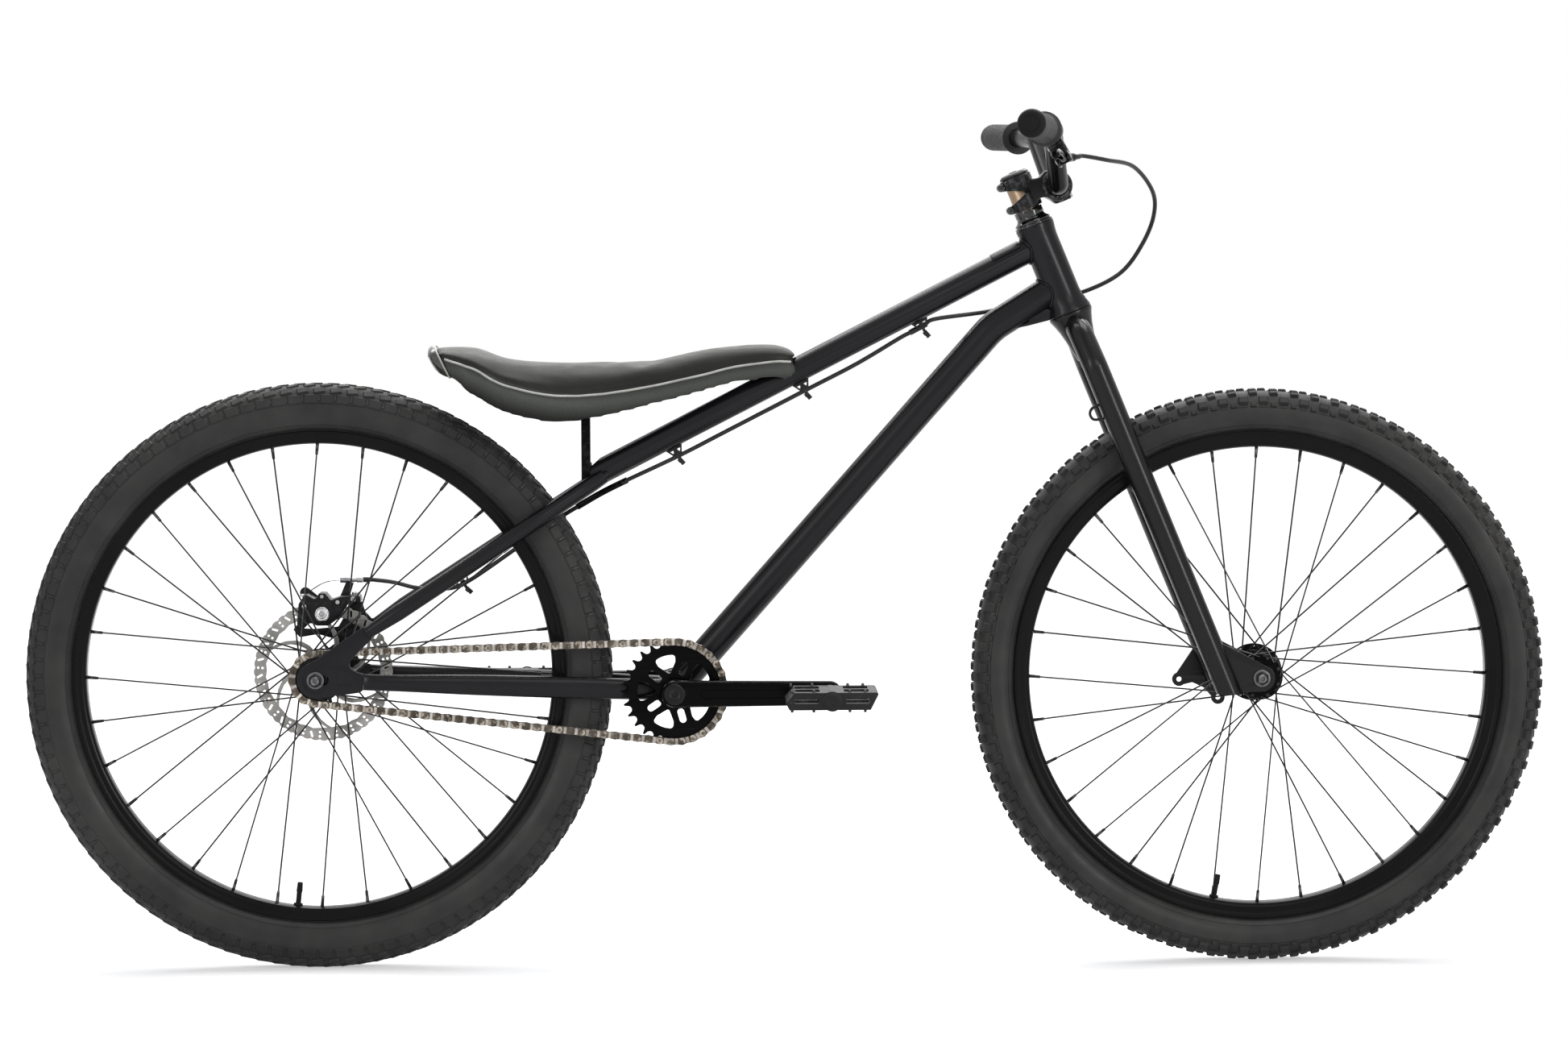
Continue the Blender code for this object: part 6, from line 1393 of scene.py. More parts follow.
def build_stay(side, word):
    path = []
    for share, spread in SEAT_STAY_SPREAD:
        path.append(STAY_FOOT.lerp(STAY_TOP, max(share, 0.0006)) + SIDEWAYS * side * spread)
    path = smooth(path, 6)
    count = len(path) - 1
    radii = [0.74 + 0.26 * min(1.0, index / 5.0) if index < 6 else 1.0 for index in range(count + 1)]
    for back in range(4):
        radii[count - back] = 1.0 - 0.1 * (1 - back / 4.0)
    stay = tube(path, SEAT_STAY_RADIUS, 10, radii)
    lower, upper = path[0], path[-1]
    seam = [Vector((upper.x + 0.004 - 0.03 * t, side * 0.015, upper.z + 0.0035 - 0.015 * t)) for t in (0.0, 0.5, 1.0)]
    weld = tube(smooth(seam, 8), 0.0026, 3)
    collar = tube([lower - STAY_RUN * 0.0012, lower + STAY_RUN * 0.0012], 0.0079, 5)
    piece("seat_stay_bar_" + word, joined(stay, weld, collar), PAINT, "frame", ["seat_stay_" + word])


# The chain stay's stations: distance from the axle or the bracket, half width, half height, distance from the middle

CHAIN_STAY_BEHIND = ((0.0542, 0.0044, 0.0092, 0.0705), (0.065, 0.007, 0.0093, 0.07), (0.0995, 0.008, 0.0096, 0.066),
    (0.1722, 0.0085, 0.0115, 0.055), (0.2443, 0.008, 0.0123, 0.0465))
CHAIN_STAY_AHEAD = ((0.1081, 0.0062, 0.0123, 0.0405), (0.0731, 0.0062, 0.012, 0.036), (0.038, 0.008, 0.012, 0.029),
    (0.018, 0.0085, 0.012, 0.025))


def build_chain_stay(side, word):
    """Tall and flat, dimpled beside the tyre and the chainring."""
    places = [(REAR_AXLE + BELT_FORWARD * reach + SIDEWAYS * side * spread, width, height) for reach, width, height,
        spread in CHAIN_STAY_BEHIND]
    places += [(BRACKET - BELT_FORWARD * reach + SIDEWAYS * side * spread, width, height) for reach, width, height,
        spread in CHAIN_STAY_AHEAD]
    centres = smooth([place[0] for place in places], 6)
    sizes = smooth([Vector(place[1:]) for place in places], 6)
    rings = []
    for index, (centre, size) in enumerate(zip(centres, sizes)):
        along = (centres[min(index + 1, len(centres) - 1)] - centres[max(index - 1, 0)]).normalized()
        wide = (SIDEWAYS - along * SIDEWAYS.dot(along)).normalized()
        upright = wide.cross(along)
        rings.append(oval(centre, wide * size.x, upright * size.y, 0.8, 32))
    stay = lofted(rings)
    seam = []
    for angle in turns(48):
        swing = 0.62 * sin(angle)
        y = centres[-1].y - side * 0.0005 + 0.009 * cos(angle)
        seam.append(Vector((BRACKET.x - BRACKET_WELD_RADIUS * cos(swing), y,
            BRACKET.z + BRACKET_WELD_RADIUS * sin(swing))))
    piece("chain_stay_bar_" + word, joined(stay, bead(seam, 0.0017, 30)), PAINT, "frame", ["chain_stay_" + word])


def flat(vector):
    return (vector.x, vector.z)


def build_dropout(side, word):
    """The plate round the axle slot, with a lightened ring round the nut; the left one carries the brake's tab."""
    foot = STAY_FOOT - REAR_AXLE
    out = Vector((-STAY_RUN.z, 0, STAY_RUN.x)) * SEAT_STAY_RADIUS * 0.9
    stop = BELT_FORWARD * (0.0542 - GAP)
    low = BELT_UP * 0.0092
    edge = arc((0, 0.0005), 0.02, radians(118), radians(268), 28)
    edge += [(0.018, -0.0178), (0.036, -0.016), (0.05, -0.014), flat(stop - low), flat(stop + low * 0.98)]
    edge += [(0.044, 0.01), (0.04, 0.0135), (0.0386, 0.0165), (0.0386, 0.0205), (0.041, 0.024), flat(foot - out)]
    edge += [flat(foot + out)]
    loops = [edge, slot_loop((0.0035, 0), 0, 0.023, 0.0106, 10)]
    if side == LEFT:
        edge += [(0.05, 0.066), (0.044, 0.071), (0.032, 0.072), (0.0262, 0.068), (0.024, 0.05)]
        loops += [circle((0.0325, 0.061), 0.0028, 16), circle((0.043, 0.0625), 0.0028, 16)]
    edge += [(0.0165, 0.0345), (0.003, 0.0245)]
    body = plate(loops, PLATE, side_plane(side * DROPOUT_MIDDLE, REAR_AXLE), 0.0006)
    face = DROPOUT_SPACING / 2 + PLATE
    recess = lathe([(0.0116, face - 0.0009), (0.0144, face - 0.0009), (0.0144, face + 0.004), (0.0116, face + 0.004)],
        0.0004, REAR_AXLE, SIDEWAYS * side, 64)
    window = rounded([(0.0215, -0.006, 0.0025), (0.044, -0.006, 0.003), (0.04, 0.004, 0.003),
        (0.028, 0.0115, 0.0025)], 6)
    sunk = plate([window], 0.0016, side_plane(side * (face + 0.0004), REAR_AXLE), 0.0002)
    piece("dropout_plate_" + word, cut(body, recess, sunk), PAINT, "frame", ["dropout_" + word])


def build_bearings():
    for name, top in (("top", 0.0), ("bottom", 0.007 - HEAD_LENGTH)):
        section = [(0.0146, top), (0.0166, top), (0.017, top - 0.0004), (0.0181, top - 0.0004), (0.0185, top),
            (0.0201, top), (0.0201, top - 0.007), (0.0146, top - 0.007)]
        race = lathe(section, 0.0002, HEAD_TOP, AXIS_UP)
        piece("bearing_race_" + name, race, STEEL, "frame", ["headset_bearing_" + name])


# Fork

CROWN_TOP = -HEAD_LENGTH - GAP
LEG_Y = FORK_SPACING / 2 + 0.003
STEM_BASE = 0.02
STEM_HALF_HEIGHT = 0.0195
STEM_TOP = STEM_BASE + 2 * STEM_HALF_HEIGHT


def build_fork():
    steerer_top = STEM_TOP - 0.0015
    outline = [(0.0255, CROWN_TOP), (0.0253, CROWN_TOP - 0.003), (0.0228, CROWN_TOP - 0.009),
        (0.0198, CROWN_TOP - 0.018), (0.0172, CROWN_TOP - 0.029), (0.015, CROWN_TOP - 0.042),
        (0.0125, CROWN_TOP - 0.055)]
    section = [(0.0112, steerer_top), (0.0143, steerer_top), (0.0143, CROWN_TOP), *outline,
        (0.0085, CROWN_TOP - 0.055), (0.0085, CROWN_TOP - 0.02), (0.0112, CROWN_TOP - 0.014)]
    crown = lathe(section, 0.0008, HEAD_TOP, AXIS_UP, 64)
    piece("crown_and_steerer", crown, [FORK, BRONZE], "steering", ["fork_crown"])
    second_finish(crown, lambda face: (face.calc_center_median() - HEAD_TOP).dot(AXIS_UP) > CROWN_TOP + 0.0005)
    for side, word in SIDES:
        corners = [steer(0, side * 0.01, CROWN_TOP - 0.017), steer(0, side * 0.033, CROWN_TOP - 0.0215),
            steer(0, side * LEG_Y, CROWN_TOP - 0.064), steer(0, side * LEG_Y, -0.5921)]
        leg = tube(bent(corners, 0.024, 8), 0.014, 12)
        floor = FRONT_AXLE + Vector((-0.04, 0, -0.018 - 0.05))
        leg = cut(leg, block(floor, (0.2, 0.3, 0.1)))
        edge = [(-0.06, 0.038), (-0.045, 0.04)]
        edge += arc((0, 0), 0.015, radians(50), radians(-95), 24)
        edge += [(-0.03, -0.0165)]
        loops = [edge, circle((0, 0), 0.0053, 24)]
        if side == LEFT:
            first, second = (-0.0842, -0.0093), (-0.0393, -0.0304)
            edge += arc(second, 0.008, radians(10), radians(-190), 14)
            edge += [(-0.056, -0.019), (-0.069, -0.013)]
            edge += arc(first, 0.008, radians(-50), radians(-250), 14)
            loops += [circle(first, 0.003, 16), circle(second, 0.003, 16)]
        else:
            edge += [(-0.048, -0.017)]
        ear = plate(loops, PLATE, side_plane(side * LEG_Y, FRONT_AXLE), 0.0006)
        piece("fork_blade_" + word, joined(leg, ear), FORK, "steering", ["fork_leg_" + word])
    back = [(-0.0125, 0.0085), (-0.019, 0.0078), (-0.0232, 0.004), (-0.0238, -0.001), (-0.0215, -0.0052),
        (-0.0125, -0.0085)]
    loop = [steer(forward * 1.1, -LEG_Y, -0.223 + up) for forward, up in back]
    piece("fork_guide_ring", tube(smooth(loop, 5), 0.0016, 4), FORK, "steering")
    section = [(0.0146, GAP), (0.0222, GAP), (0.0224, 0.001), (0.0222, 0.0022), (0.0207, 0.0028), (0.0207, 0.0036),
        (0.0212, 0.0042), (0.021, 0.0052), (0.0192, 0.0066), (0.017, 0.0086), (0.0163, 0.0104), (0.0162, 0.012),
        (0.0166, 0.0126), (0.0166, 0.0192), (0.0146, 0.0192)]
    cover = lathe(section, 0.0005, HEAD_TOP, AXIS_UP, 72)
    piece("headset_cone", cover, POLISHED, "steering", ["headset_cover"])


def build_frame():
    build_main_tubes()
    build_gusset()
    build_bearings()
    for side, word in SIDES:
        build_stay(side, word)
        build_chain_stay(side, word)
        build_dropout(side, word)
    build_fork()


# Cockpit

BAR_FORWARD = 0.04
BAR_RISE = 0.032
BAR_CENTRE = steer(BAR_FORWARD, 0, BAR_RISE)
BAR_RADIUS = 0.0111
BAR_CLAMP_RADIUS = 0.0127
BAR_HALF_LENGTH = 0.366
BAR_SHELL = BAR_CLAMP_RADIUS + 0.0048
CLAMP_HALF = 0.024
FACE_SPLIT = BAR_FORWARD + 0.0012
STEER_TURN = axes(AXIS_FORWARD, AXIS_UP, -SIDEWAYS)
BEND_Y = 0.145
GRIP_START = BAR_CENTRE + Vector((-0.0132, 0, 0.0567))
BACKSWEEP = 0.17
UPSWEEP = 0.026
GRIP_LENGTH = 0.138
LUGS = ((-0.0186, 0.0252), (-0.019, 0.0532))


def steer_block(low, high, half_width, edge=0.0):
    """A block in the steering frame from one (forward, up) corner to the other."""
    middle = steer((low[0] + high[0]) / 2, 0, (low[1] + high[1]) / 2)
    return block(middle, (high[0] - low[0], high[1] - low[1], half_width * 2), STEER_TURN, edge)


def bar_shell(radius, half, edge=0.0):
    return rod(BAR_CENTRE - SIDEWAYS * half, BAR_CENTRE + SIDEWAYS * half, radius, 64, edge)


def bar_point(y):
    """A place on the straight outer part of the handlebar."""
    past = abs(y) - BEND_Y
    return GRIP_START + Vector((-BACKSWEEP * past, y, UPSWEEP * past))


def outward(side):
    return Vector((-BACKSWEEP, side, UPSWEEP)).normalized()


def build_stem():
    """A short forged clamp with two pinch lugs behind, and the bar clamp's faceplate held by four bolts."""
    steering_plane = Matrix.Translation(HEAD_TOP) @ STEER_TURN
    low, high = STEM_BASE + 0.0009, STEM_TOP - 0.0007
    profile = rounded([(-0.015, low, 0.0015), (0.0105, low, 0.005), (0.0165, 0.0262, 0.006), (0.0245, 0.0246, 0.009),
        (0.0315, 0.0128, 0.003), (0.047, 0.012, 0.0), (0.047, 0.052, 0.0), (0.033, 0.052, 0.004),
        (0.0255, 0.0478, 0.008), (0.016, 0.05, 0.004), (0.0138, high, 0.002), (-0.015, high, 0.003)], 5)
    shank = plate([profile], 0.031, steering_plane, 0.0022)
    clamp = rod(steer(0, 0, STEM_BASE), steer(0, 0, STEM_TOP), 0.0184, 64, 0.0014)
    jaw = bar_shell(BAR_SHELL, CLAMP_HALF, 0.001)
    lugs = []
    for forward, up in LUGS:
        lugs.append(rod(steer(forward, -0.0108, up), steer(forward, 0.0108, up), 0.0046, 32, 0.001))
        lugs.append(steer_block((forward, up - 0.0042), (-0.009, up + 0.0042), 0.0102, 0.001))

    def bore():
        return rod(steer(0, 0, STEM_BASE - 0.01), steer(0, 0, STEM_TOP + 0.01), 0.0146, 64, 0.0)

    def room():
        return rod(BAR_CENTRE - SIDEWAYS * 0.04, BAR_CENTRE + SIDEWAYS * 0.04, BAR_CLAMP_RADIUS + GAP, 64, 0.0)

    def notch():
        """The opening between the lugs, which shows the steerer."""
        wedge = rounded([(-0.045, 0.0493, 0.0), (-0.0165, 0.048, 0.003), (0.0083, 0.0388, 0.0012),
            (-0.015, 0.0297, 0.003), (-0.045, 0.0297, 0.0)], 4)
        return plate([wedge], 0.06, steering_plane, 0.0002)

    def front():
        return steer_block((FACE_SPLIT - GAP, 0), (FACE_SPLIT + 0.04, STEM_TOP + 0.01), 0.04)

    split = steer_block((-0.04, STEM_BASE - 0.01), (-0.01, STEM_TOP + 0.01), 0.001)
    body = joined(cut(clamp, bore(), notch(), split), cut(shank, bore(), notch(), room(), front()),
        cut(jaw, room(), front()), *lugs)
    bolts = []
    for forward, up in LUGS:
        bolts.append(socket_bolt(steer(forward, -0.0106, up), -SIDEWAYS, 0.0036, 0.0026))
        bolts.append(rod(steer(forward, 0.0104, up), steer(forward, 0.0122, up), 0.003, 20))
    piece("stem_forging", body, SATIN, "steering", ["stem"], sharp=40.0)
    piece("stem_pinch_bolts", joined(*bolts), POLISHED, "steering")
    face = fused(bar_shell(BAR_SHELL, CLAMP_HALF, 0.001), steer_block((FACE_SPLIT - 0.002, BAR_RISE - 0.0195),
        (FACE_SPLIT + 0.0085, BAR_RISE + 0.0195), 0.02, 0.0012))
    back = steer_block((-0.04, 0), (FACE_SPLIT, STEM_TOP + 0.01), 0.04)
    window = steer_block((FACE_SPLIT + 0.002, BAR_RISE - 0.0075), (FACE_SPLIT + 0.03, BAR_RISE + 0.0075), 0.009)
    piece("stem_face", cut(face, room(), back, window), SATIN, "steering", ["stem_faceplate"], sharp=40.0)
    bolts = [socket_bolt(steer(FACE_SPLIT + 0.0084, across, BAR_RISE + up), AXIS_FORWARD, 0.0034, 0.0028)
        for across in (-0.0145, 0.0145) for up in (-0.0152, 0.0152)]
    piece("faceplate_bolts", joined(*bolts), ZINC, "steering")
    low = STEM_TOP + GAP
    section = [(0, low - 0.0014), (0.014, low - 0.0014), (0.014, low), (0.0172, low), (0.0172, low + 0.002),
        (0.014, low + 0.0046), (0.0062, low + 0.0052), (0.0056, low + 0.0034), (0, low + 0.0034)]
    cap = lathe(section, 0.0008, HEAD_TOP, AXIS_UP, 64, False)
    bolt = socket_bolt(steer(0, 0, low + 0.003), AXIS_UP, 0.0046, 0.003, 32)
    piece("stem_top_cap", joined(cap, bolt), SATIN, "steering", ["stem_cap"])


def build_handlebar():
    half = [Vector((0, 0.048, 0)) + BAR_CENTRE, bar_point(BEND_Y)]
    right = [bar_point(-BAR_HALF_LENGTH), bar_point(-BEND_Y), BAR_CENTRE + Vector((0, -0.048, 0))]
    path = bent([*right, *half, bar_point(BAR_HALF_LENGTH)], 0.036, 10)
    centre = len(path) // 2
    middle = [BAR_CENTRE + SIDEWAYS * y for y in (-0.032, -0.029, -0.026, 0.026, 0.029, 0.032)]
    path = path[:centre] + middle + path[centre:]
    fat = BAR_CLAMP_RADIUS / BAR_RADIUS
    radii = []
    for place in path:
        reach = abs(place.y - BAR_CENTRE.y)
        share = min(max((0.033 - reach) / 0.007, 0.0), 1.0) if abs(place.z - BAR_CENTRE.z) < 0.001 else 0.0
        radii.append(1.0 + (fat - 1.0) * share)
    piece("handlebar_tube", tube(path, BAR_RADIUS, 12, radii), GLOSS, "steering", ["handlebar"])


def build_grip(side, word):
    """A ribbed rubber grip with a thin inboard flange and a separate plug in its end."""
    start = bar_point(side * (BAR_HALF_LENGTH + 0.004)) - outward(side) * GRIP_LENGTH
    section = [(0, GRIP_LENGTH - 0.0066), (0.014, GRIP_LENGTH - 0.0066), (0.0157, GRIP_LENGTH - 0.0066),
        (0.0158, GRIP_LENGTH - 0.009)]
    place = GRIP_LENGTH - 0.0105
    while place > 0.012:
        section += [(0.0158, place), (0.0148, place - 0.0006), (0.0148, place - 0.0018), (0.0158, place - 0.0024)]
        place -= 0.0052
    section += [(0.0156, 0.007), (0.0172, 0.0046), (0.0193, 0.0036), (0.0195, 0.001), (0.0187, 0.0), (0.0114, 0.0)]
    section += [(0.0114, GRIP_LENGTH - 0.0086), (0, GRIP_LENGTH - 0.0086)]
    grip = turned(section, start, outward(side), 48)
    piece("ribbed_grip_" + word, grip, GRIP, "steering", ["grip_" + word], sharp=30.0)
    plug = [(0, 0.0064), (0.0156, 0.0064), (0.0154, 0.004), (0.0138, 0.0014), (0.011, 0.0002), (0.0092, 0),
        (0.0086, 0.001), (0, 0.001)]
    plug = lathe([(radius, GRIP_LENGTH - deep) for radius, deep in plug], 0.0004, start, outward(side), closed=False)
    piece("bar_end_plug_" + word, plug, SEAL, "steering")


# Brake lever: distances run outwards along the bar from the perch, and down from the bar's middle

PERCH_MIDDLE = bar_point(0.174 - BAR_HALF_LENGTH)
ALONG_BAR = outward(RIGHT)
LEVER_DROP = Vector((0.5, 0, -0.866))
LEVER_DROP = (LEVER_DROP - ALONG_BAR * LEVER_DROP.dot(ALONG_BAR)).normalized()
LEVER_AXIS = ALONG_BAR.cross(LEVER_DROP).normalized()
LEVER_TURN = axes(ALONG_BAR, LEVER_DROP, LEVER_AXIS)
LEVER_REACH = 0.036
LEVER_ALONG = 0.011
LEVER_HALF = 0.005
BARREL_RUN = Vector((0.65, 0.75, 0.09)).normalized()


def by_lever(along, drop, across=0.0):
    return PERCH_MIDDLE + ALONG_BAR * along + LEVER_DROP * drop + LEVER_AXIS * across


BARREL_START = by_lever(-0.008, 0.0345)
BARREL_END = BARREL_START + BARREL_RUN * 0.02
LEVER_PIVOT = by_lever(LEVER_ALONG, LEVER_REACH)

# The lever's stations: along the bar, below it, half thickness and half height

LEVER_STATIONS = ((0.011, 0.036, 0.0046, 0.0046), (0.02, 0.0352, 0.0046, 0.0042), (0.032, 0.0332, 0.005, 0.0036),
    (0.05, 0.0315, 0.0056, 0.0034), (0.07, 0.0312, 0.0058, 0.0034), (0.084, 0.0328, 0.0054, 0.0036),
    (0.092, 0.0352, 0.0046, 0.0036), (0.0955, 0.037, 0.0026, 0.0024))


def build_brake_lever():
    ring = lathe([(0.0114, -0.0065), (0.0162, -0.0065), (0.0162, 0.0065), (0.0114, 0.0065)], 0.001, PERCH_MIDDLE,
        ALONG_BAR, 64)
    cheek = LEVER_HALF + 2 * GAP
    outer = cheek + 0.0028
    body = block(by_lever(-0.0045, 0.0265), (0.017, 0.027, outer * 2), LEVER_TURN, 0.0022)
    plates = [block(by_lever(0.01, LEVER_REACH, side * (cheek + outer) / 2), (0.018, 0.013, outer - cheek),
        LEVER_TURN, 0.0009) for side in (RIGHT, LEFT)]
    lug = block(by_lever(0.0, 0.0178, 0.0), (0.013, 0.006, 0.018), LEVER_TURN, 0.0016)
    pockets = [block(by_lever(-0.0045, 0.0275, side * outer), (0.0105, 0.014, 0.0024), LEVER_TURN, 0.0008)
        for side in (RIGHT, LEFT)]
    body = cut(fused(body, lug), *pockets)
    barrel = [rod(BARREL_START - BARREL_RUN * 0.004, BARREL_START + BARREL_RUN * 0.007, 0.0045, 32)]
    section = [(0, 0.0074), *thread(0.0074, 0.016, 0.0046, 0.0042), (0.0034, 0.0172), (0.0034, 0.02), (0, 0.02)]
    barrel.append(turned(section, BARREL_START, BARREL_RUN, 20))
    piece("lever_perch_body", joined(ring, body, *plates), SATIN, "steering", ["brake_lever_perch"], sharp=40.0)
    piece("barrel_adjuster", joined(*barrel), SATIN, "steering", sharp=25.0)
    bolts = [socket_bolt(by_lever(0.0, 0.0182, RIGHT * 0.0088), LEVER_AXIS * RIGHT, 0.003, 0.0018)]
    for side in (RIGHT, LEFT):
        bolts.append(socket_bolt(by_lever(LEVER_ALONG, LEVER_REACH, side * (outer - 0.0004)), LEVER_AXIS * side,
            0.003, 0.0014))
    pin = rod(by_lever(LEVER_ALONG, LEVER_REACH, -outer), by_lever(LEVER_ALONG, LEVER_REACH, outer), 0.0024, 24)
    piece("lever_pin_and_bolts", joined(pin, *bolts), ZINC, "steering")
    stations = smooth([Vector(station[:3]) for station in LEVER_STATIONS], 5)
    heights = smooth([Vector((station[3], 0, 0)) for station in LEVER_STATIONS], 5)
    rings = []
    for index, (station, height) in enumerate(zip(stations, heights)):
        before, after = stations[max(index - 1, 0)], stations[min(index + 1, len(stations) - 1)]
        along = (by_lever(after.x, after.y) - by_lever(before.x, before.y)).normalized()
        upright = LEVER_AXIS.cross(along)
        centre = by_lever(station.x, station.y)
        rings.append(oval(centre, LEVER_AXIS * station.z, upright * height.x, 0.7, 24))
    blade = lofted(rings)
    across = LEVER_AXIS * LEVER_HALF
    root = rod(LEVER_PIVOT - across, LEVER_PIVOT + across, 0.006, 32, 0.0006)
    bore = rod(LEVER_PIVOT - across * 2, LEVER_PIVOT + across * 2, 0.0027, 24, 0.0)
    slot = block(by_lever(0.042, 0.0318), (0.03, 0.012, 0.0044), LEVER_TURN, 0.0018)
    piece("lever_blade", cut(fused(blade, root), bore, slot), GLOSS, "lever", ["brake_lever"], sharp=40.0)


# Brake: places forward of and above the caliper's middle

CALIPER = REAR_AXLE + Vector((0.0001, 0, 0.0672))
CALIPER_INNER = 0.0415
CALIPER_OUTER = 0.077
ARM_THICKNESS = 0.005
ARM_Y = CALIPER_OUTER + GAP + ARM_THICKNESS / 2
ARM_TIP = (-0.0217, 0.0226)
STOP_Y = 0.07
STOP_REAR = CALIPER + Vector((0.019, STOP_Y, 0.0376))
STOP_FRONT = CALIPER + Vector((0.0452, STOP_Y, 0.0376))
CALIPER_EDGE = ((-0.029, -0.012, 0.0012), (-0.0222, -0.0176, 0.0012), (-0.014, -0.01, 0.004),
    (-0.006, -0.0134, 0.004), (0.007, -0.0134, 0.004), (0.019, -0.005, 0.004), (0.03, 0.0122, 0.0012),
    (0.0445, 0.0132, 0.0012), (0.0435, 0.0215, 0.003), (0.022, 0.02, 0.004), (0.01, 0.016, 0.003),
    (0.0036, 0.024, 0.0022), (-0.0036, 0.024, 0.0022), (-0.0075, 0.0165, 0.003), (-0.019, 0.0235, 0.004),
    (-0.027, 0.012, 0.004))


def caliper_slice(loops, inner, outer, edge=0.0006):
    return plate(loops, outer - inner, side_plane((inner + outer) / 2, CALIPER), edge)


def build_caliper():
    """A cast mechanical caliper astride the rotor: ribs, the adjuster's disc, two ears and the cable's stop."""
    body = caliper_slice([rounded(CALIPER_EDGE, 5)], CALIPER_INNER, CALIPER_OUTER, 0.0011)
    slot = rod(REAR_AXLE + SIDEWAYS * 0.0528, REAR_AXLE + SIDEWAYS * 0.0594, 0.0815, 96, 0.0)
    body = cut(body, slot)
    pocket = rounded([(0.013, 0.004, 0.002), (0.024, 0.014, 0.002), (0.018, 0.0165, 0.002), (0.011, 0.012, 0.002)], 5)
    sunk = [plate([pocket], 0.004, side_plane(y, CALIPER), 0.0004) for y in (CALIPER_INNER, CALIPER_OUTER)]
    body = cut(body, *sunk)
    strut = caliper_slice([[(0.017, 0.014), (0.029, 0.015), (0.035, 0.034), (0.026, 0.035)]], STOP_Y - 0.0026,
        STOP_Y + 0.0026)
    ribs = [caliper_slice([belt((x, -0.008), 0.0012, (x, 0.012), 0.0012, 8)], CALIPER_INNER - 0.001,
        CALIPER_INNER + 0.001, 0.0004) for x in (-0.018, -0.0145)]
    dial = lathe([(0, 0), (0.0084, 0), (0.0084, 0.0014), (0.0074, 0.0022), (0.0066, 0.0012), (0.0052, 0.0012),
        (0.0044, 0.002), (0.003, 0.002), (0.003, 0.0008), (0, 0.0008)], 0.0003, CALIPER + SIDEWAYS * CALIPER_INNER,
        -SIDEWAYS, closed=False)
    piece("caliper_dial", dial, STEEL, "frame")
    piece("caliper_casting", joined(body, strut, *ribs), SATIN, "frame", ["brake_caliper"], sharp=40.0)
    shaft = rod(CALIPER + SIDEWAYS * (CALIPER_OUTER - 0.006), CALIPER + SIDEWAYS * (ARM_Y + ARM_THICKNESS), 0.0042,
        32)
    cap_bolt = socket_bolt(CALIPER + SIDEWAYS * (ARM_Y + ARM_THICKNESS / 2 + 0.0002), SIDEWAYS, 0.0062, 0.003)
    screw = socket_bolt(CALIPER + SIDEWAYS * (CALIPER_INNER - 0.0006), -SIDEWAYS, 0.0027, 0.0012)
    reach = (STOP_FRONT - STOP_REAR).length
    section = [(0, 0), *thread(0.0004, 0.011, 0.0038, 0.0035), (0.0029, 0.0122), (0.0029, reach - 0.007),
        (0.0036, reach - 0.0064), (0.0036, reach), (0, reach)]
    barrel = turned(section, STOP_REAR, Vector((1, 0, 0)), 24)
    bolts = [socket_bolt(CALIPER + Vector((x, 0.07, z)), UP, 0.0044, 0.003) for x,
        z in ((0.037, 0.0205), (-0.0232, 0.0185))]
    bolts += [socket_bolt(CALIPER + Vector((x, CALIPER_INNER + 0.0002, z)), -SIDEWAYS, radius, 0.0016) for x, z,
        radius in ((-0.0205, 0.009, 0.0026), (0.018, 0.0135, 0.0024), (0.036, 0.017, 0.003), (0.0, 0.02, 0.002))]
    piece("caliper_hardware", joined(shaft, cap_bolt, screw, barrel, *bolts), ZINC, "frame",
        sharp=30.0)
    outline = rounded([(-0.02925, -0.01235, 0), (-0.035, -0.019, 0.002), (-0.0275, -0.028, 0.003),
        (-0.006, -0.0245, 0.003), (0.0225, -0.033, 0.003), (0.053, -0.011, 0.004), (0.047, 0.005, 0.002),
        (0.0447, 0.0128, 0), (0.03, 0.0118, 0), (0.0265, 0.0, 0.002), (0.017, -0.016, 0.003), (-0.01, -0.0185, 0.003),
        (-0.0222, -0.018, 0)], 5)
    window = rounded([(0.023, -0.023, 0.002), (0.03, -0.023, 0.002), (0.026, -0.015, 0.002)], 5)
    adapter = plate([outline, window], 0.0062, side_plane(0.0641, CALIPER), 0.0006)
    piece("adapter_plate", adapter, SATIN, "frame", ["caliper_adapter"])
    bolts = [socket_bolt(REAR_AXLE + Vector((x, DROPOUT_SPACING / 2 + PLATE, z)), SIDEWAYS, 0.0042, 0.0026) for x,
        z in ((0.0325, 0.061), (0.043, 0.0625))]
    piece("adapter_bolts", joined(*bolts), ZINC, "frame")


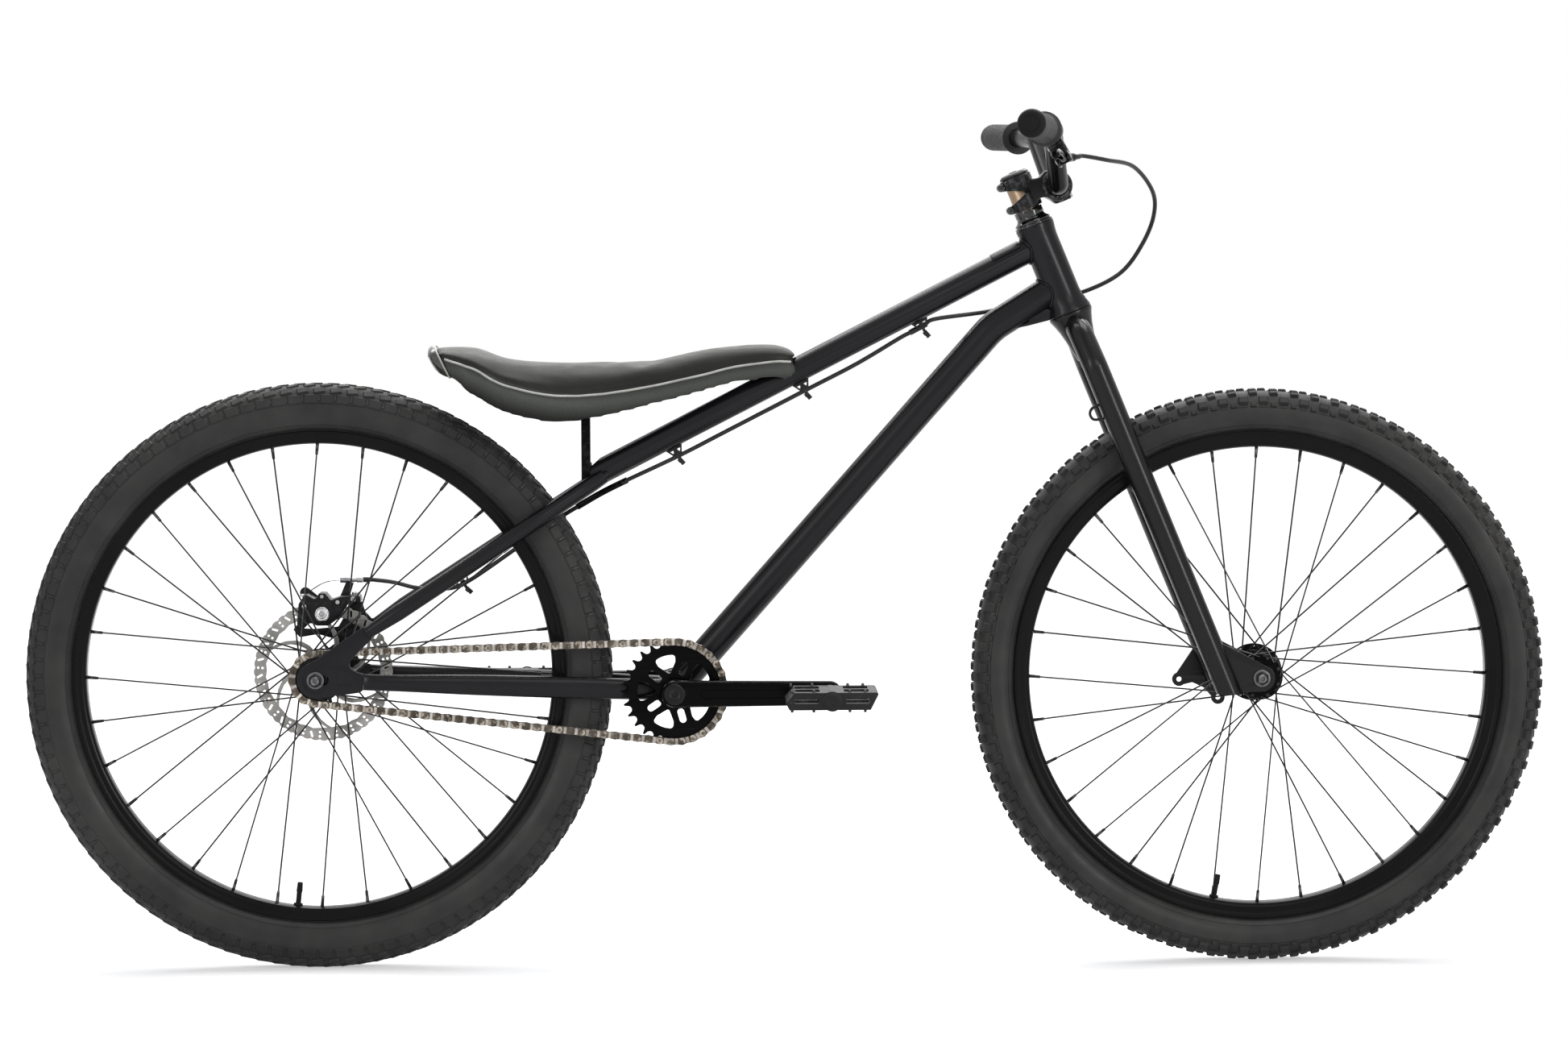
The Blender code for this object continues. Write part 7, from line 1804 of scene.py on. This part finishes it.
def build_pads_and_arm():
    outline = rounded([(-0.0125, -0.0035, 0.003), (0.0125, -0.0035, 0.003), (0.0115, 0.0118, 0.003),
        (-0.0115, 0.0118, 0.003)], 5)
    for name, y, body, node in (("fixed", 0.05375, "frame", "brake_pad_fixed"),
            ("moving", 0.05825, "pad", "brake_pad_moving")):
        backing = plate([outline], 0.0015, side_plane(y, CALIPER), 0.0002)
        piece("pad_block_" + name, backing, PAD, body, [node])
    edge = belt((0, 0), 0.01, ARM_TIP, 0.0062, 20)
    lean = atan2(ARM_TIP[1], ARM_TIP[0])
    window = slot_loop((ARM_TIP[0] * 0.52, ARM_TIP[1] * 0.52), lean, 0.01, 0.0036, 8)
    arm = plate([edge, circle((0, 0), 0.0045, 32), window], ARM_THICKNESS, side_plane(ARM_Y, CALIPER), 0.0008)
    piece("caliper_arm", arm, SATIN, "brake_arm", ["brake_arm"])
    tip = CALIPER + Vector((ARM_TIP[0], ARM_Y + ARM_THICKNESS / 2, ARM_TIP[1]))
    washer = rod(tip - SIDEWAYS * 0.0006, tip + SIDEWAYS * 0.0012, 0.0042, 32)
    bolt = socket_bolt(tip + SIDEWAYS * 0.0008, SIDEWAYS, 0.0036, 0.0036)
    piece("wire_clamp", joined(washer, bolt), ZINC, "brake_arm")
    coil = []
    for step in range(61):
        angle = 2 * pi * step / 20
        coil.append(CALIPER + Vector((0.0062 * cos(angle), CALIPER_OUTER - 0.0048 + 0.0045 * step / 60,
            0.0062 * sin(angle))))
    piece("return_spring", tube(coil, 0.0006, 2), ZINC, "frame")


# Housings: the lever's runs to the clip on the frame, and the rear one on to the caliper

UNDER = Vector((-TOP_TUBE_RUN.z, 0, TOP_TUBE_RUN.x))
HOUSING_DROP = 0.025
HOUSING_RADIUS = 0.0025
WIRE_RADIUS = 0.0008
CLIP = HEAD_TOP + Vector((-0.135, 0.01, -0.1136)) + UNDER * 0.004
CLIP_RUN = Vector((-0.88, -0.08, -0.46)).normalized()
WIRE_END = CALIPER + Vector((ARM_TIP[0] + 0.0042 + 2 * GAP + WIRE_RADIUS, ARM_Y + ARM_THICKNESS / 2 + 0.002,
    ARM_TIP[1] + 0.0016))

# The front housing's bow, from the top of the head tube

FRONT_LOOP = ((0.0717, -0.14, 0.0713), (0.1059, -0.09, 0.0645), (0.131, -0.045, 0.0376), (0.1351, -0.015, 0.0103),
    (0.1244, 0.01, -0.0218), (0.1021, 0.03, -0.0539), (0.0653, 0.038, -0.0741), (0.0247, 0.04, -0.0843),
    (-0.0203, 0.034, -0.0923), (-0.0557, 0.026, -0.099))


def under_top_tube(distance, drop, y):
    return TOP_TUBE_START + TOP_TUBE_RUN * distance + UNDER * drop + SIDEWAYS * y


def ferrule(place, run, length=0.0085):
    section = [(0, 0), (0.0031, 0), (0.0031, length * 0.7), (0.0027, length), (0, length)]
    return lathe(section, 0.0003, place, run, 24, False)


def build_housings():
    start = BARREL_END + BARREL_RUN * GAP
    route = [start, start + BARREL_RUN * 0.014, *(HEAD_TOP + Vector(place) for place in FRONT_LOOP),
        CLIP - CLIP_RUN * 0.024, CLIP - CLIP_RUN * 0.01, CLIP - CLIP_RUN * GAP]
    housing = tube(smooth(route, 8), HOUSING_RADIUS, 4)
    made = finished("front_housing", joined(housing, ferrule(start, BARREL_RUN)), HOUSE)
    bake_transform(made)
    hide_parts("brake_housing_front")
    below_tube = [under_top_tube(distance, HOUSING_DROP, y) for distance,
        y in ((0.2494, 0.003), (0.3143, 0.001), (0.4162, 0.001), (0.4792, 0.003))]
    past_yoke = [YOKE + Vector(place) for place in ((0.0245, 0.018, -0.0128), (-0.0126, 0.028, -0.0336))]
    by_stay = [REAR_AXLE + Vector(place) for place in ((0.2671, 0.0355, 0.172), (0.2218, 0.044, 0.14),
        (0.1648, 0.05, 0.1018), (0.1362, 0.05, 0.0946), (0.1078, 0.052, 0.0963), (0.0821, 0.061, 0.102))]
    mouth = STOP_FRONT + Vector((2 * GAP, 0, 0))
    route = [CLIP + CLIP_RUN * GAP, CLIP + CLIP_RUN * 0.01, CLIP + CLIP_RUN * 0.024, *below_tube, *past_yoke,
        *by_stay, STOP_FRONT + Vector((0.014, 0, -0.0004)), STOP_FRONT + Vector((0.007, 0, 0)), mouth]
    path = smooth(route, 8)
    housing = tube(path, HOUSING_RADIUS, 4)
    shield = tube([place for place in path if -0.24 < place.x < -0.177], 0.0037, 5)
    piece("housing_shield", shield, GLOSS, "frame")
    last = ferrule(mouth, Vector((1, 0, 0)))
    sleeve = lathe([(0, -0.012), (0.0034, -0.012), (0.0034, 0.01), (0, 0.01)], 0.0006, CLIP, CLIP_RUN, 24, False)
    piece("rear_housing", joined(housing, last, sleeve), HOUSE, "frame", ["brake_housing_rear"])
    start = STOP_REAR - Vector((GAP, 0, 0))
    route = [start, start + Vector((-0.011, 0.0015, -0.0012)), start.lerp(WIRE_END, 0.66) + Vector((0, 0, 0.003)),
        WIRE_END]
    wire_run = finished("brake_wire", tube(smooth(route, 8), WIRE_RADIUS, 3), STEEL)
    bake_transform(wire_run)
    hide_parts("brake_cable")


def build_cockpit():
    build_stem()
    build_handlebar()
    for side, word in SIDES:
        build_grip(side, word)
    build_brake_lever()


def build_brake():
    build_caliper()
    build_pads_and_arm()
    build_housings()


# Seat: each station is its distance forward of the top tube's rear end, then top, bottom, roof, piping and half width

SEAT_STATIONS = ((-0.1818, 0.148, 0.118, 0.131, 0.139, 0.036), (-0.168, 0.1499, 0.1085, 0.1285, 0.1389, 0.048),
    (-0.1312, 0.1478, 0.0916, 0.115, 0.1285, 0.06), (-0.0943, 0.1346, 0.072, 0.1, 0.1107, 0.062),
    (-0.039, 0.1296, 0.0604, 0.092, 0.0982, 0.056), (0.0163, 0.13, 0.0674, 0.093, 0.0987, 0.046),
    (0.0716, 0.1342, 0.0807, 0.102, 0.1065, 0.038), (0.1269, 0.1449, 0.0942, 0.112, 0.1181, 0.033),
    (0.1638, 0.1491, 0.1049, 0.1165, 0.127, 0.03), (0.2006, 0.1507, 0.1083, 0.1218, 0.1322, 0.028),
    (0.2212, 0.1475, 0.108, 0.129, 0.133, 0.025), (0.2337, 0.14, 0.109, 0.1353, 0.1325, 0.0215))
CHANNEL_HALF = TOP_TUBE_RADIUS + 0.0009
COVER_VOXEL = 0.004
COVER_SWELL = 0.003
SEAM_HALF = 0.0034
SEAM_DEPTH = 0.001
PER_CENTIMETRE = 100.0
CROWN_SHAPE = ((0.2, 0.02), (0.4, 0.08), (0.58, 0.19), (0.74, 0.36), (0.87, 0.6))
BELLY_SHAPE = ((-0.0008, 0.1), (0.0008, 0.26), (0.0016, 0.44), (0.0006, 0.62))
CLOTH_FRAMES = 20
CLOTH = {"use_pressure": True, "uniform_pressure_force": 4.0, "quality": 5, "tension_stiffness": 30.0,
    "compression_stiffness": 30.0, "bending_stiffness": 2.0, "vertex_group_mass": "pinned"}


def channel_half(width):
    return max(width * 0.74, CHANNEL_HALF)


def seat_side(top, bottom, piping, outer, flap):
    """Half of the outer skin: the crown, the seam, the belly below it and the edge that turns under."""
    crown, depth = top - piping, piping - bottom
    above = [(outer * out, top - crown * down) for out, down in CROWN_SHAPE]
    below = [(outer + out, piping - depth * down) for out, down in BELLY_SHAPE]
    return [(0, top), *above, (outer * 0.96, piping + crown * 0.16), (outer - 0.0006, piping), *below,
        (outer - (outer - flap) * 0.45, piping - depth * 0.8), (flap + 0.0016, bottom + depth * 0.07)]


def slanted(forward, y, z, top):
    """A place on the seat; towards the tail the end slants, so what is lower stands further forward."""
    share = min(1.0, max(0.0, (-0.14 - forward) / 0.034))
    return YOKE + Vector((forward + share * (top - z) * 0.5, y, z))


def seat_section(forward, top, bottom, roof, piping, width, inset=0.0):
    """One cross-section of the cover: its outer skin, then the hollow underneath."""
    inner = channel_half(width)
    shrink = min(0.0022, (width - inner) * 0.14) + inset
    flap = width - shrink - (width - inner) * 0.35
    half = seat_side(top - shrink, bottom + shrink, piping, width - shrink, flap)
    half += [(flap - (flap - inner) * 0.25, bottom + shrink), (flap - (flap - inner) * 0.7, bottom + shrink),
        (inner, bottom + shrink + 0.0026), (inner, roof - 0.0045), (inner * 0.82, roof), (0, roof)]
    whole = half + [(-y, z) for y, z in reversed(half[1:-1])]
    return [slanted(forward, y, z, top) for y, z in whole]


def seat_between(steps):
    """The seat's stations with smooth ones between them."""
    places = smooth([Vector(station[:3]) for station in SEAT_STATIONS], steps)
    others = smooth([Vector(station[3:]) for station in SEAT_STATIONS], steps)
    return [(*first, *second) for first, second in zip(places, others)]


def seat_station(forward, table):
    """The station at a place along the seat."""
    after = next((index for index, each in enumerate(table) if each[0] >= forward), len(table) - 1)
    first, second = table[max(after, 1) - 1], table[max(after, 1)]
    share = min(1.0, max(0.0, (forward - first[0]) / (second[0] - first[0])))
    return [low + (high - low) * share for low, high in zip(first, second)]


def swollen(body, table):
    """Blow the cover up as cloth over its padding, and hold every point near where it began."""
    rest = [vertex.co.copy() for vertex in body.data.vertices]
    pinned = body.vertex_groups.new(name="pinned")
    for vertex in body.data.vertices:
        place = vertex.co - YOKE
        station = seat_station(place.x, table)
        if place.z < station[3] + 0.004 and abs(place.y) < channel_half(station[5]) + 0.0028:
            pinned.add([vertex.index], 1.0, "REPLACE")
    cloth = body.modifiers.new("Cloth", "CLOTH")
    cloth.settings.effector_weights.gravity = 0.0
    for name, value in CLOTH.items():
        setattr(cloth.settings, name, value)
    cloth.point_cache.frame_start = 1
    cloth.point_cache.frame_end = CLOTH_FRAMES
    for number in range(CLOTH_FRAMES):
        bpy.context.scene.frame_set(number + 1)
    applied(body, cloth)
    bpy.context.scene.frame_set(1)
    for vertex, start in zip(body.data.vertices, rest):
        moved = vertex.co - start
        if moved.length > COVER_SWELL:
            vertex.co = start + moved.normalized() * COVER_SWELL
    body.vertex_groups.clear()
    return body


def seat_seam(cover, side, table, lift):
    """The line of the piping on one side, laid on the cover's own surface."""
    line = []
    for station in table:
        if -0.17 < station[0] < 0.2325:
            place = YOKE + Vector((station[0], side * (station[5] + 0.004), station[4] - 0.0005))
            _, found, normal, _ = cover.closest_point_on_mesh(place)
            line.append(found + normal * lift)
    return line


def sewn(cover, table):
    """Draw the cover in along the piping, and write how many centimetres each point lies above it."""
    above = cover.data.attributes.new("above_piping", "FLOAT", "POINT")
    for vertex in cover.data.vertices:
        place = vertex.co - YOKE
        station = seat_station(place.x, table)
        height = place.z - station[4]
        above.data[vertex.index].value = height * PER_CENTIMETRE
        if abs(place.y) > channel_half(station[5]):
            pull = exp(-(height / SEAM_HALF) ** 2) * SEAM_DEPTH
            vertex.co.y -= pull if place.y > 0 else -pull


def build_seat():
    table = seat_between(4)
    rings = [seat_section(*station) for station in table[2:-1]]
    rings.insert(0, seat_section(*seat_station(-0.1785, table), inset=0.0012))
    rings.append(seat_section(*seat_station(0.2337, table), inset=0.0012))
    body = lofted(rings)
    remesh = body.modifiers.new("Remesh", "REMESH")
    remesh.mode = "VOXEL"
    remesh.voxel_size = COVER_VOXEL
    applied(body, remesh)
    swollen(body, table)
    begin(body)
    bpy.ops.mesh.vertices_smooth(factor=0.5, repeat=3)
    end()
    subdivision = body.modifiers.new("Subdivision", "SUBSURF")
    subdivision.levels = subdivision.render_levels = 1
    applied(body, subdivision)
    sewn(body, table)
    cover = piece("seat_padding", body, HIDE, "frame", ["seat_cover"], sharp=80.0)
    trims = [tube(smooth(seat_seam(cover, side, table, 0.0004), 2), 0.0013, 3) for side in (RIGHT, LEFT)]
    piece("seat_piping", joined(*trims), CORD, "frame")
    build_tail_cap(table)


def build_tail_cap(table):
    """The moulded cap on the tail, with the pale welt round its mouth."""
    rings = []
    for forward, inset in ((-0.175, 0.001), (-0.1756, -0.0006), (-0.178, -0.0014), (-0.1812, -0.0006),
            (-0.1846, 0.002), (-0.1872, 0.0062), (-0.1882, 0.01)):
        _, top, bottom, _, piping, width = seat_station(max(forward, -0.179), table)
        half = seat_side(top - inset, bottom + inset, piping, width - inset, (width - inset) * 0.86)
        whole = half + [(-y, z) for y, z in reversed(half[1:])]
        rings.append([slanted(forward, y, z, top) for y, z in whole])
    piece("seat_tail_cap", lofted(rings), TAIL, "frame", sharp=50.0)
    welt = tube(smooth([*rings[1], rings[1][0]], 2), 0.001, 3)
    piece("seat_tail_welt", welt, CORD, "frame")


def build_seat_support():
    rings = []
    for forward, _, _, roof, _, width in seat_between(4):
        if -0.16 < forward < 0.206:
            half, top = channel_half(width) * 0.8, roof - GAP
            section = ((-half, top - 0.0008), (-half + 0.001, top), (half - 0.001, top), (half, top - 0.0008),
                (half, top - 0.003), (half * 0.3, top - 0.003), (half * 0.28, top - 0.0024),
                (-half * 0.28, top - 0.0024), (-half * 0.3, top - 0.003), (-half, top - 0.003))
            rings.append([YOKE + Vector((forward, y, z)) for y, z in section])
    piece("seat_pan", lofted(rings), PLASTIC, "frame", ["seat_base"])
    foot, top = YOKE.z - 0.0123, YOKE.z + 0.08814 - 2 * GAP
    place = YOKE.x - GAP - 0.0103 / 2
    post = block(Vector((place, 0, (foot + top) / 2)), (0.0103, 0.028, top - foot), edge=0.0012)
    flange = block(Vector((place, 0, top - 0.0015)), (0.03, 0.06, 0.003), edge=0.0008)
    seam = [Vector((YOKE.x - 0.0006, y, YOKE.z + z)) for y, z in ((-0.0125, -0.004), (-0.0105, 0.0085), (0, 0.015),
        (0.0105, 0.0085), (0.0125, -0.004))]
    piece("seat_upright", joined(post, flange, tube(smooth(seam, 6), 0.0019, 3)), GLOSS, "frame", ["seat_post"])
    bolts = [rod(Vector((place, y, top - 0.003)), Vector((place, y, top - 0.0062)), 0.005, 6, 0.0004)
        for y in (-0.022, 0.022)]
    piece("seat_bolts", joined(*bolts), ZINC, "frame")


# The cable guides' distances along the top tube, and how far each stands from the middle

GUIDES = ((0.164, 0.006), (0.3165, 0.001), (0.479, 0.003))
STAY_GUIDE = STAY_FOOT.lerp(STAY_TOP, 0.352) + SIDEWAYS * 0.057


def build_cable_guides():
    """Moulded guides that hold the rear housing off the tube, each with a cut tie round it."""
    outline = [(-0.0105, 0.0), (0.0105, 0.0), (0.0092, 0.0022), (0.005, 0.0108), (-0.004, 0.0108), (-0.009, 0.0022)]
    windows = [rounded([(-0.0062, 0.0034, 0.0004), (-0.002, 0.0034, 0.0004), (-0.0036, 0.0072, 0.0004)], 2),
        rounded([(0.0022, 0.0034, 0.0004), (0.0066, 0.0034, 0.0004), (0.0042, 0.0072, 0.0004)], 2)]
    stay_under = Vector((STAY_RUN.z, 0, -STAY_RUN.x))
    seats = [(under_top_tube(distance, TOP_TUBE_RADIUS - 0.0006, y), -TOP_TUBE_RUN, UNDER) for distance, y in GUIDES]
    seats.append((STAY_GUIDE + stay_under * 0.0086, STAY_RUN, stay_under))
    for number, (foot, ahead, under) in enumerate(seats):
        frame_of = axes(ahead, under, ahead.cross(under))
        place = Matrix.Translation(foot) @ frame_of
        body = plate([outline, *windows], 0.007, place, 0.0005)
        middle = foot + under * (HOUSING_DROP - TOP_TUBE_RADIUS + 0.0006)
        ring = lathe([(0.0027, -0.0016), (0.0038, -0.0016), (0.0038, 0.0016), (0.0027, 0.0016)], 0.0002, middle,
            ahead, 24)
        turn = Matrix.Rotation(radians(-14.0), 4, "Y") @ frame_of
        head = block(middle + under * 0.005, (0.0056, 0.0044, 0.0046), turn, 0.0006)
        tail = block(middle + under * 0.0086 + ahead * 0.0012, (0.0052, 0.0052, 0.0016), turn, 0.0004)
        piece(f"cable_guide_{number + 1}", joined(body, ring, head, tail), PLASTIC, "frame")


build_camera()
build_studio()
build_wheels()
build_drive()
build_frame()
build_cockpit()
build_brake()
build_seat()
build_seat_support()
build_cable_guides()
